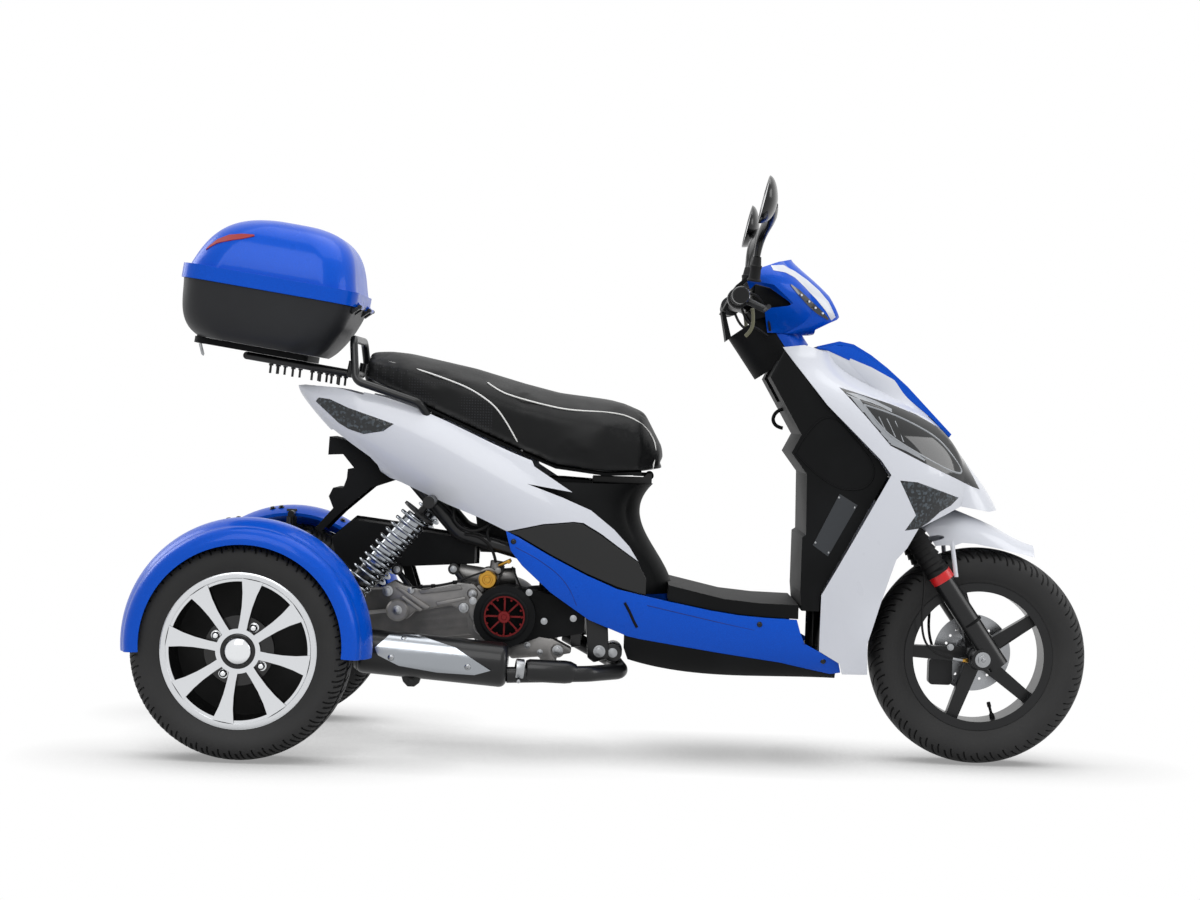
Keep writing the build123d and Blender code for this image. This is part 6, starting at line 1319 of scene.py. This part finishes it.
    def exhaust(self, shop: "Workshop") -> None:
        """Make the shield's screws, the clamp, the pipe's sleeve and the silencer's foot and end caps."""
        screws = Form()
        for sx, sz in ((-448.6, 251.0), (-472.3, 213.0), (-311.2, 199.0)):
            rise = math.asin(min(max((sz - 211) / 52.0, -1), 1))
            at = (sx, -232 - 52.2 * math.cos(rise), 211 + 52.2 * math.sin(rise))
            screws.domed(at, (0, -math.cos(rise), math.sin(rise)), 7.0, 4.4)
        shop.piece("shield_screws", screws.mesh, ZINC, Body.CHASSIS, "bright_steel")
        clamp = Form().turned([(17.2, 0), (22, 0.6), (22.6, 3), (22.6, 15), (22, 17.4), (17.2, 18)], (-214, -231, 193),
                              (1, 0.14, -0.08), 40)
        sleeve = Form().turned([(17.2, 0), (21, 1), (24, 8), (24.5, 84), (23, 96), (17.2, 108)], (-192, -228, 191),
                               (1, 0.17, -0.03), 48)
        shop.piece("pipe_sleeve", sleeve.mesh, BLACK_STEEL, Body.CHASSIS, "black_steel")
        clamp.prism((-205, -231, 170), RIGHT, 4, 30, 12, edge=0.6)
        shop.piece("pipe_clamp", clamp.mesh, ZINC, Body.CHASSIS, "bright_steel")
        foot = Form().plate([(-456, 176), (-410, 173), (-416, 156), (-426, 148), (-440, 148), (-450, 158)],
                            (0, -224, 0), RIGHT, 10, edge=1.5)
        foot.bolt((-432, -234, 160), RIGHT, 6.5)
        caps = Form().turned([(0, 5), (30, 5), (38, 3), (42, -3), (30, -4)], (-548, -232, 222), (-1, 0, 0.07), 40)
        shop.piece("silencer_foot", foot.mesh, BLACK_STEEL, Body.CHASSIS, "black_steel")
        shop.piece("silencer_caps", caps.mesh, BLACK_STEEL, Body.CHASSIS, "black_steel")

    def mount(self, shop: "Workshop") -> None:
        """Make the engine's front mount and the silver foot of the crankcase."""
        cast = Form().plate([(-248, 226), (-206, 240), (-168, 256), (-140, 252), (-100, 232), (-100, 222), (-128, 216),
                             (-132, 200),
                             (-112, 198), (-118, 190), (-160, 196), (-168, 212), (-226, 206)], (0, -100, 0), RIGHT, 46,
                            edge=3)
        cast.turned([(0, 6), (12, 6), (15, 3), (15, -3), (0, -3)], (-128, -146, 227), RIGHT, 32)
        shop.piece("crankcase_foot", cast.mesh, CASTING, Body.CHASSIS, "engine_alloy")
        black = Form().plate([(-70, 306), (-24, 306), (-18, 214), (-50, 204), (-64, 214)], (0, -96, 0), RIGHT, 52,
                             edge=3)
        black.plate([(-104, 280), (-78, 282), (-80, 236), (-100, 234)], (0, -110, 0), RIGHT, 26, edge=2)
        black.prism((-10, -60, 226), RIGHT, 20, 84, 32, edge=2)
        shop.piece("engine_bracket", black.mesh, BLACK_STEEL, Body.CHASSIS, "black_steel")
        bolts = Form().bolt((-38.7, -147.6, 228.5), RIGHT, 9).bolt((-128, -151.6, 227.4), RIGHT, 8)
        bolts.bolt((-194, -145.6, 236), RIGHT, 5).bolt((-166, -145.6, 222), RIGHT, 4.5).bolt((-10, -143.6, 226), RIGHT,
                                                                                             7)
        shop.piece("mount_bolts", bolts.mesh, ZINC, Body.CHASSIS, "bright_steel")


@dataclass
class TopCase:
    """Reflectors, rack pegs, lock and key of the top case."""
    def build(self, shop: "Workshop") -> None:
        """Make the case's fittings."""
        self.reflector(shop, Skin(bpy.data.objects["case_lid_skin"]))
        pegs = Form()
        for x, z in ((-776.0, 826.0), (-761.0, 824.5), (-727.3, 819.5), (-685.4, 813.5), (-667.3, 811.0),
                     (-642.4, 807.5), (-625.7, 805.0)):
            for side in SIDES:
                pegs.prism((x, side * 58, z), (-0.08, 0, -1), 2.7, 25, 12, edge=0.5)
                pegs.prism((x, side * 58, z - 4), (0, 0, -1), 5.2, 4.5, 6, edge=0.5)
        shop.piece("rack_bolts", pegs.mesh, BLACK_STEEL, Body.CHASSIS, "black_steel")
        lock = Form().prism((-948, 0, 921), (-0.9, 0, -0.35), 13, 8, 32, edge=1.0)
        lock.turned([(0, 1), (4, 1), (5, 2.6), (8.4, 2.6), (9.4, 0), (9.4, -3), (0, -3)], (-955, 0, 918),
                    (-0.9, 0, -0.35), 28)
        shop.piece("case_lock", lock.mesh, ZINC, Body.CHASSIS, "bright_steel")
        key = Form().plate([(-9, -12), (9, -12), (11, -4), (9, 11), (-9, 11), (-11, -4)], (-939.5, -4, 874), RIGHT, 7,
                           edge=1.6, turn_deg=-8)
        shop.piece("key_fob", key.mesh, RUBBER, Body.CHASSIS, "black_rubber")
        blade = Form().plate([(-3.4, 0), (3.4, 0), (3.4, 24), (0, 29), (-3.4, 25)], (-941.5, -6.5, 862), RIGHT, 2.0,
                             edge=0.4, turn_deg=196)
        shop.piece("key_blade", blade.mesh, ZINC, Body.CHASSIS, "bright_steel")
        ring = [[(-958, -4, 916), (-952, -8, 904), (-942, -7, 894), (-938, -5, 890), (-942, -3, 898), (-950, -1, 908),
                 (-958, -1, 915)]]
        shop.cable("key_ring", ring, 1.8, CHROME, Body.CHASSIS, "bright_steel")

    def reflector(self, shop: "Workshop", lid: Skin) -> None:
        """Lay the two tapered red reflectors over the lid's rear corners."""
        line = [(-908, 1058), (-884, 1072), (-858, 1078), (-830, 1083), (-805, 1090)]
        top = [(-904, 1064), (-884, 1081), (-860, 1091), (-832, 1094), (-806, 1093)]
        shape = bmesh.new()
        for side in SIDES:
            low = [shape.verts.new(lid.beside(x, z, side, 0.2)) for x, z in line]
            high = [shape.verts.new(lid.beside(x, z, side, 0.2)) for x, z in top]
            for a, b, c, d in zip(low, low[1:], high[1:], high):
                shape.faces.new((a, b, c, d))
        bmesh.ops.subdivide_edges(shape, edges=shape.edges[:], cuts=3, use_grid_fill=True, smooth=0.6)
        bmesh.ops.recalc_face_normals(shape, faces=shape.faces)
        for face in shape.faces:
            centre = face.calc_center_median()
            if face.normal.dot(centre - Vector((-780, 0, 1000))) < 0:
                face.normal_flip()
        shape.normal_update()
        flat = shape.faces[:]
        grown = bmesh.ops.extrude_face_region(shape, geom=flat, use_keep_orig=True)["geom"]
        for item in grown:
            if isinstance(item, bmesh.types.BMVert):
                item.co += item.normal * 2.2 if item.normal.length else Vector()
        bmesh.ops.recalc_face_normals(shape, faces=shape.faces)
        shop.piece("case_reflectors", shape, RED_LENS, Body.LID, "red_plastic", 50)


@dataclass
class Lamps:
    """Housings, bands and frame lines of the lamps."""

    inset_mm: float = 2.2

    def build(self, shop: "Workshop") -> None:
        """Line each lens with a dark housing, and lay the headlamps' bands, frame lines and fins."""
        for node in ("headlamps", "front_indicators", "tail_lamps"):
            shape = shop.node_shape(node)
            bmesh.ops.recalc_face_normals(shape, faces=shape.faces)
            shape.normal_update()
            moves = {v: v.normal.copy() for v in shape.verts}
            for vert, normal in moves.items():
                vert.co -= normal * self.inset_mm
            finish = LAMP_BLACK if node == "headlamps" else LAMP_FACET
            shop.piece(f"{node}_housing", shape, finish, Body.CHASSIS, shop.slots[node], 30)
        lens = Skin(bpy.data.objects["headlamps_skin"])
        inner = [(505, 776), (560, 762), (618, 738), (668, 712), (700, 680), (735, 634), (700, 640), (640, 668),
                 (580, 700), (540, 730), (505, 776)]
        frame = [[lens.beside(x, z, side, 0.3) for x, z in inner] for side in SIDES]
        shop.cable("lamp_frames", frame, 5.0, LAMP_TRIM, Body.CHASSIS, "bright_steel")
        band = bmesh.new()
        for side in SIDES:
            lens.strip(band, ((497, 788), (510, 770), (534, 738), (565, 709), (608, 688), (641, 664)),
                       ((462, 800), (484, 774), (518, 734), (556, 697), (598, 681), (639, 661)), side, 1.0)
            lens.strip(band, ((466, 802), (494, 799), (533, 786), (568, 770)),
                       ((497, 788), (520, 782), (548, 772), (568, 762)), side, 1.0)
        shop.piece("lamp_bands", band, LAMP_TRIM, Body.CHASSIS, "bright_steel")
        bars = [[lens.beside(x, z, side, 0.1) for x, z in line] for side in SIDES
                for line in (((538, 752), (556, 716)), ((556, 748), (574, 710)), ((574, 744), (592, 700)))]
        shop.cable("lamp_fins", bars, 2.6, LAMP_TRIM, Body.CHASSIS, "bright_steel")


@dataclass
class Bodywork:
    """Stripes, creases, screws, straps and the small fittings of the panels."""

    def build(self, shop: "Workshop") -> None:
        """Make the trim of the bodywork."""
        self.fender_fittings(shop)
        self.panel_lines(shop)
        self.leg_shield_fittings(shop)
        self.cowl_trim(shop)

    def fender_fittings(self, shop: "Workshop") -> None:
        """Bolt the rear fenders to their stays and straps."""
        bolts, straps = Form(), Form()
        for side, word in WORD.items():
            skin = Skin(bpy.data.objects[f"rear_fender_{word}_skin"])
            for x, z in ((-822.3, 520.0), (-799.3, 525.0), (-1045.0, 346.0), (-640.0, 490.0)):
                spot, out = skin.nearest((x, side * 304, z))
                bolts.bolt(spot, out, 5.0)
        straps.plate([(-12, -2), (12, -2), (12, 44), (-12, 44)], (-768, -291, 448), RIGHT, 3, edge=0.6)
        straps.both_sides()
        shop.piece("fender_bolts", bolts.mesh, BLACK_STEEL, Body.CHASSIS, "black_steel")
        shop.piece("fender_straps", straps.mesh, BLACK_STEEL, Body.CHASSIS, "black_steel")

    def panel_lines(self, shop: "Workshop") -> None:
        """Lay the shadow lines of the blue side panels, the vent recess and the screws."""
        lines, bolts, vents = [], Form(), []
        for side, word in WORD.items():
            skin = Skin(bpy.data.objects[f"side_panel_{word}_skin"])
            lines.append([skin.beside(x, z, side, -0.5) for x, z in
                          ((-224, 447), (-190, 432), (-156, 411), (-132, 394), (-112, 372), (-99, 350), (-90, 328))])
            lines.append([skin.beside(x, z, side, -0.5) for x, z in ((60, 334), (140, 318), (230, 300), (320, 284),
                                                                     (400, 262))])
            vents.append([skin.beside(x, z, side, -0.6) for x, z in ((12, 338), (22, 322), (32, 300), (40, 286))])
            for x, z in ((-229, 459), (300, 302), (440, 226)):
                bolts.domed(skin.beside(x, z, side), (0, side, 0), 6.0, 3.4)
        shop.cable("panel_creases", lines, 2.2, BLUE_SHADE, Body.CHASSIS, "blue_cowl")
        shop.cable("panel_vents", vents, 6.5, BLACK_ABS, Body.CHASSIS, "black_plastic")
        shop.piece("panel_screws", bolts.mesh, BLACK_STEEL, Body.CHASSIS, "black_steel")

    def leg_shield_fittings(self, shop: "Workshop") -> None:
        """Make the bare plate, the ignition lock, the pocket's lip and the bag hook of the leg shield."""
        skin = Skin(bpy.data.objects["leg_shield_skin"])
        corners = ((461, 585), (500, 562), (441, 451), (408, 474))
        plate = bmesh.new()
        skin.strip(plate, corners[:2], corners[:1:-1], -1, 0.9)
        shop.piece("bare_plate", plate, LABEL, Body.CHASSIS, "bright_steel")
        rivets = Form()
        middle, inward = Vector((452, 0, 518)), 0.12
        for x, z in corners:
            spot = Vector((x, 0, z)) + (middle - Vector((x, 0, z))) * inward
            rivets.domed(skin.beside(spot.x, spot.z, -1, 0.8), RIGHT, 2.6, 1.6)
        shop.piece("plate_rivets", rivets.mesh, ZINC, Body.CHASSIS, "bright_steel")
        lock = Form().turned([(0, 3), (5, 3), (6, 6), (13, 6), (15, 3), (15, -14), (0, -14)], (352, -52, 806),
                             (-1, 0, 0.35), 36)
        shop.piece("ignition_lock", lock.mesh, ZINC, Body.CHASSIS, "bright_steel")
        lip = [[skin.beside(x, z, side, 0.2) for x, z in ((364, 668), (380, 706), (432, 760), (488, 704), (542, 640),
                                                          (514, 590), (430, 600), (364, 668))] for side in SIDES]
        shop.cable("pocket_lips", lip, 3.6, BLACK_ABS, Body.CHASSIS, "black_plastic")
        hook = [[(372, 0, 768), (350, 0, 764), (330, 0, 756), (322, 0, 738), (332, 0, 722), (346, 0, 720)]]
        shop.cable("bag_hook", hook, 8.0, BLACK_ABS, Body.CHASSIS, "black_plastic")

    def cowl_trim(self, shop: "Workshop") -> None:
        """Lay the cowl's stripe and lamp slit, and close the gap beside the nose panel with thin walls."""
        skin = Skin(bpy.data.objects["handlebar_cowl_skin"])
        stripe = bmesh.new()
        upper = ((300, 1069), (330, 1073), (356, 1062), (384, 1044), (411, 1022), (433, 998), (450, 966))
        lower = ((306, 1058), (333, 1055), (354, 1046), (378, 1026), (404, 1002), (426, 978), (440, 958))
        for side in SIDES:
            skin.strip(stripe, upper, lower, side)
        shop.piece("cowl_stripe", stripe, WHITE, Body.STEERING, "white_cowl")
        parting = [(655, 758), (601, 800), (560, 831), (512, 858), (465, 878), (434, 891), (404, 894)]
        flank = [(410, 898), (430, 899), (450, 903), (470, 902), (490, 899), (510, 886), (530, 873), (550, 858),
                 (580, 833), (610, 807), (640, 777), (670, 746)]
        shoulder = [(412, 884), (430, 878), (450, 856), (470, 834), (500, 824), (530, 812), (550, 800), (580, 796),
                    (610, 784), (655, 748)]
        for name, outline, depth, finish, slot in (("nose_flanks", flank + parting, 4.8, BLUE, "blue_cowl"),
                                                   ("nose_shoulders", shoulder + parting, 4.2, WHITE, "white_cowl")):
            wall = Form().plate(outline, (0, -72, 0), RIGHT, depth, edge=0.8).both_sides()
            shop.piece(name, wall.mesh, finish, Body.CHASSIS, slot)
        slit = bmesh.new()
        for side in SIDES:
            skin.strip(slit, ((344, 1030), (364, 1019), (388, 1001), (412, 982), (434, 962)),
                       ((345, 1026), (362, 1008), (384, 988), (408, 970), (433, 958)), side, 2.0, 4)
        shop.piece("cowl_slit", slit, LAMP_BLACK, Body.STEERING, "smoked_lens")
        lamps = Form()
        for side in SIDES:
            for x, z in ((366, 1008), (384, 996), (402, 984), (418, 973)):
                lamps.turned([(0, 1.6), (1.8, 1.2), (2.8, 0), (2.8, -2), (0, -2)], skin.beside(x, z, side, 4.4),
                             (0.3, side, 0.4), 16)
        shop.piece("cowl_lamp_dots", lamps.mesh, REFLECTOR, Body.STEERING, "smoked_lens")


@dataclass
class Studio:
    """White sweep, soft lamps and the camera of the reference view."""

    camera_m: tuple[float, float, float] = (0.00925, -5.4, 0.737)
    lens_mm: float = 73.62
    pan_deg: float = 0.67
    tilt_deg: float = 0.84
    roll_deg: float = 2.0
    shadow_m: float = 0.30     # how far the soft shadow under the wheels reaches

    def build(self) -> None:
        """Make the floor, the world, the lamps and the camera."""
        self.sweep()
        self.world()
        self.lamp("key", (-0.8, -3.2, 3.4), (0.0, 0.0, 0.5), 2.6, 72.0)
        self.lamp("top", (0.3, 0.4, 3.8), (0.0, 0.0, 0.4), 3.2, 62.0)
        self.lamp("rear_rim", (-3.2, 1.6, 2.2), (0.0, 0.0, 0.6), 1.8, 34.0)
        self.lamp("front_rim", (3.4, -0.6, 1.9), (0.2, 0.0, 0.6), 1.8, 34.0)
        self.camera()
        bpy.context.scene.view_settings.view_transform = "Standard"

    def looked_at(self, tree: bpy.types.NodeTree) -> bpy.types.NodeSocket:
        """Return 1 for what the camera sees, also in metal and through glass, and 0 for what gives light."""
        path = add_node(tree, "ShaderNodeLightPath")
        mirrored = add_node(tree, "ShaderNodeMath", {"operation": "MAXIMUM"},
                            links={0: path.outputs["Is Glossy Ray"], 1: path.outputs["Is Transmission Ray"]})
        return add_node(tree, "ShaderNodeMath", {"operation": "MAXIMUM"},
                        links={0: path.outputs["Is Camera Ray"], 1: mirrored.outputs[0]}).outputs[0]

    def sweep(self) -> None:
        """Lay the floor: matt where it gives light, and white with a soft shadow where it is looked at."""
        shape = bmesh.new()
        bmesh.ops.create_grid(shape, x_segments=2, y_segments=2, size=14.0)
        mesh = bpy.data.meshes.new("studio_floor")
        shape.to_mesh(mesh)
        shape.free()
        floor = bpy.data.objects.new("studio_floor", mesh)
        bpy.context.scene.collection.objects.link(floor)
        material = bpy.data.materials.new("matt_white_sweep")
        material.use_nodes = True
        tree = material.node_tree
        tree.nodes.clear()
        matt = add_node(tree, "ShaderNodeBsdfDiffuse", values={"Color": linear("#e8e8e8")})
        hidden = add_node(tree, "ShaderNodeAmbientOcclusion", {"samples": 8, "only_local": False},
                          {"Distance": self.shadow_m})
        level = add_node(tree, "ShaderNodeMapRange", values={"From Min": 0.35, "From Max": 0.97, "To Min": 0.30,
                                                             "To Max": 1.0},
                         links={"Value": hidden.outputs["AO"]})
        glow = add_node(tree, "ShaderNodeEmission", values={"Color": linear("#ffffff")},
                        links={"Strength": level.outputs["Result"]})
        seen = add_node(tree, "ShaderNodeMixShader",
                        links={0: self.looked_at(tree), 1: matt.outputs[0], 2: glow.outputs[0]})
        add_node(tree, "ShaderNodeOutputMaterial", links={"Surface": seen.outputs[0]})
        mesh.materials.append(material)

    def world(self) -> None:
        """Light softly from all round, and show white behind the object."""
        world = bpy.data.worlds.new("studio_world")
        bpy.context.scene.world = world
        world.use_nodes = True
        tree = world.node_tree
        tree.nodes.clear()
        soft = add_node(tree, "ShaderNodeBackground", values={"Color": linear("#ffffff"), "Strength": 0.42})
        white = add_node(tree, "ShaderNodeBackground", values={"Color": linear("#ffffff"), "Strength": 1.0})
        mix = add_node(tree, "ShaderNodeMixShader",
                       links={0: self.looked_at(tree), 1: soft.outputs[0], 2: white.outputs[0]})
        add_node(tree, "ShaderNodeOutputWorld", links={"Surface": mix.outputs[0]})

    def lamp(self, name: str, place: tuple[float, float, float], aim: tuple[float, float, float], size: float,
             watts: float) -> None:
        """Hang a square soft lamp.

        Args:
            name: Name of the lamp.
            place: Its place in metres.
            aim: Point that it shines at.
            size: Its side in metres.
            watts: Its power.
        """
        data = bpy.data.lights.new(name, "AREA")
        data.size = size
        data.energy = watts
        made = bpy.data.objects.new(name, data)
        made.location = place
        made.rotation_euler = (Vector(aim) - Vector(place)).to_track_quat("-Z", "Y").to_euler()
        bpy.context.scene.collection.objects.link(made)

    def camera(self) -> None:
        """Set the camera up level with the vehicle's middle, a little turned and rolled."""
        data = bpy.data.cameras.new("camera")
        data.lens = self.lens_mm
        data.sensor_width = 36.0
        made = bpy.data.objects.new("camera", data)
        ahead = Vector((-math.tan(math.radians(self.pan_deg)), 1.0, -math.tan(math.radians(self.tilt_deg))))
        ahead.normalize()
        right = ahead.cross(Vector((0, 0, 1))).normalized()
        above = right.cross(ahead)
        roll = math.radians(self.roll_deg)
        side = right * math.cos(roll) + above * math.sin(roll)
        head = above * math.cos(roll) - right * math.sin(roll)
        made.matrix_world = Matrix.Translation(self.camera_m) @ Matrix(
            (side, head, -ahead)).transposed().to_4x4()
        bpy.context.scene.collection.objects.link(made)
        bpy.context.scene.camera = made


def main() -> None:
    """Build every sub-assembly and report it."""
    logging.basicConfig(level=logging.INFO, format="%(name)s: %(message)s")
    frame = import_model()
    shop = Workshop(frame)
    Studio().build()
    for node, finish in CAD_FINISHES.items():
        shop.refine(node, finish)
    Tyre("front_tyre", Body.FRONT_WHEEL, FRONT_AXLE, 0.0, 236.5, 59.0, pitches=46, slant=0.8,
         long_rows=(9, 13), short_rows=(8, 10), groove_share=0.2).build(shop)
    for side, body in ((-1, Body.REAR_RIGHT), (1, Body.REAR_LEFT)):
        Tyre(f"rear_tyre_{WORD[side]}", body, REAR_AXLE, side * REAR_MIDDLE, 228.0, 70.0, rings=(12,)).build(shop)
    for assembly in (Saddle(), RearWheels(), FrontWheel(), Fork(), Controls(), PowerUnit(), TopCase(), Lamps(),
                     Bodywork()):
        assembly.build(shop)


if __name__ == "__main__":
    main()
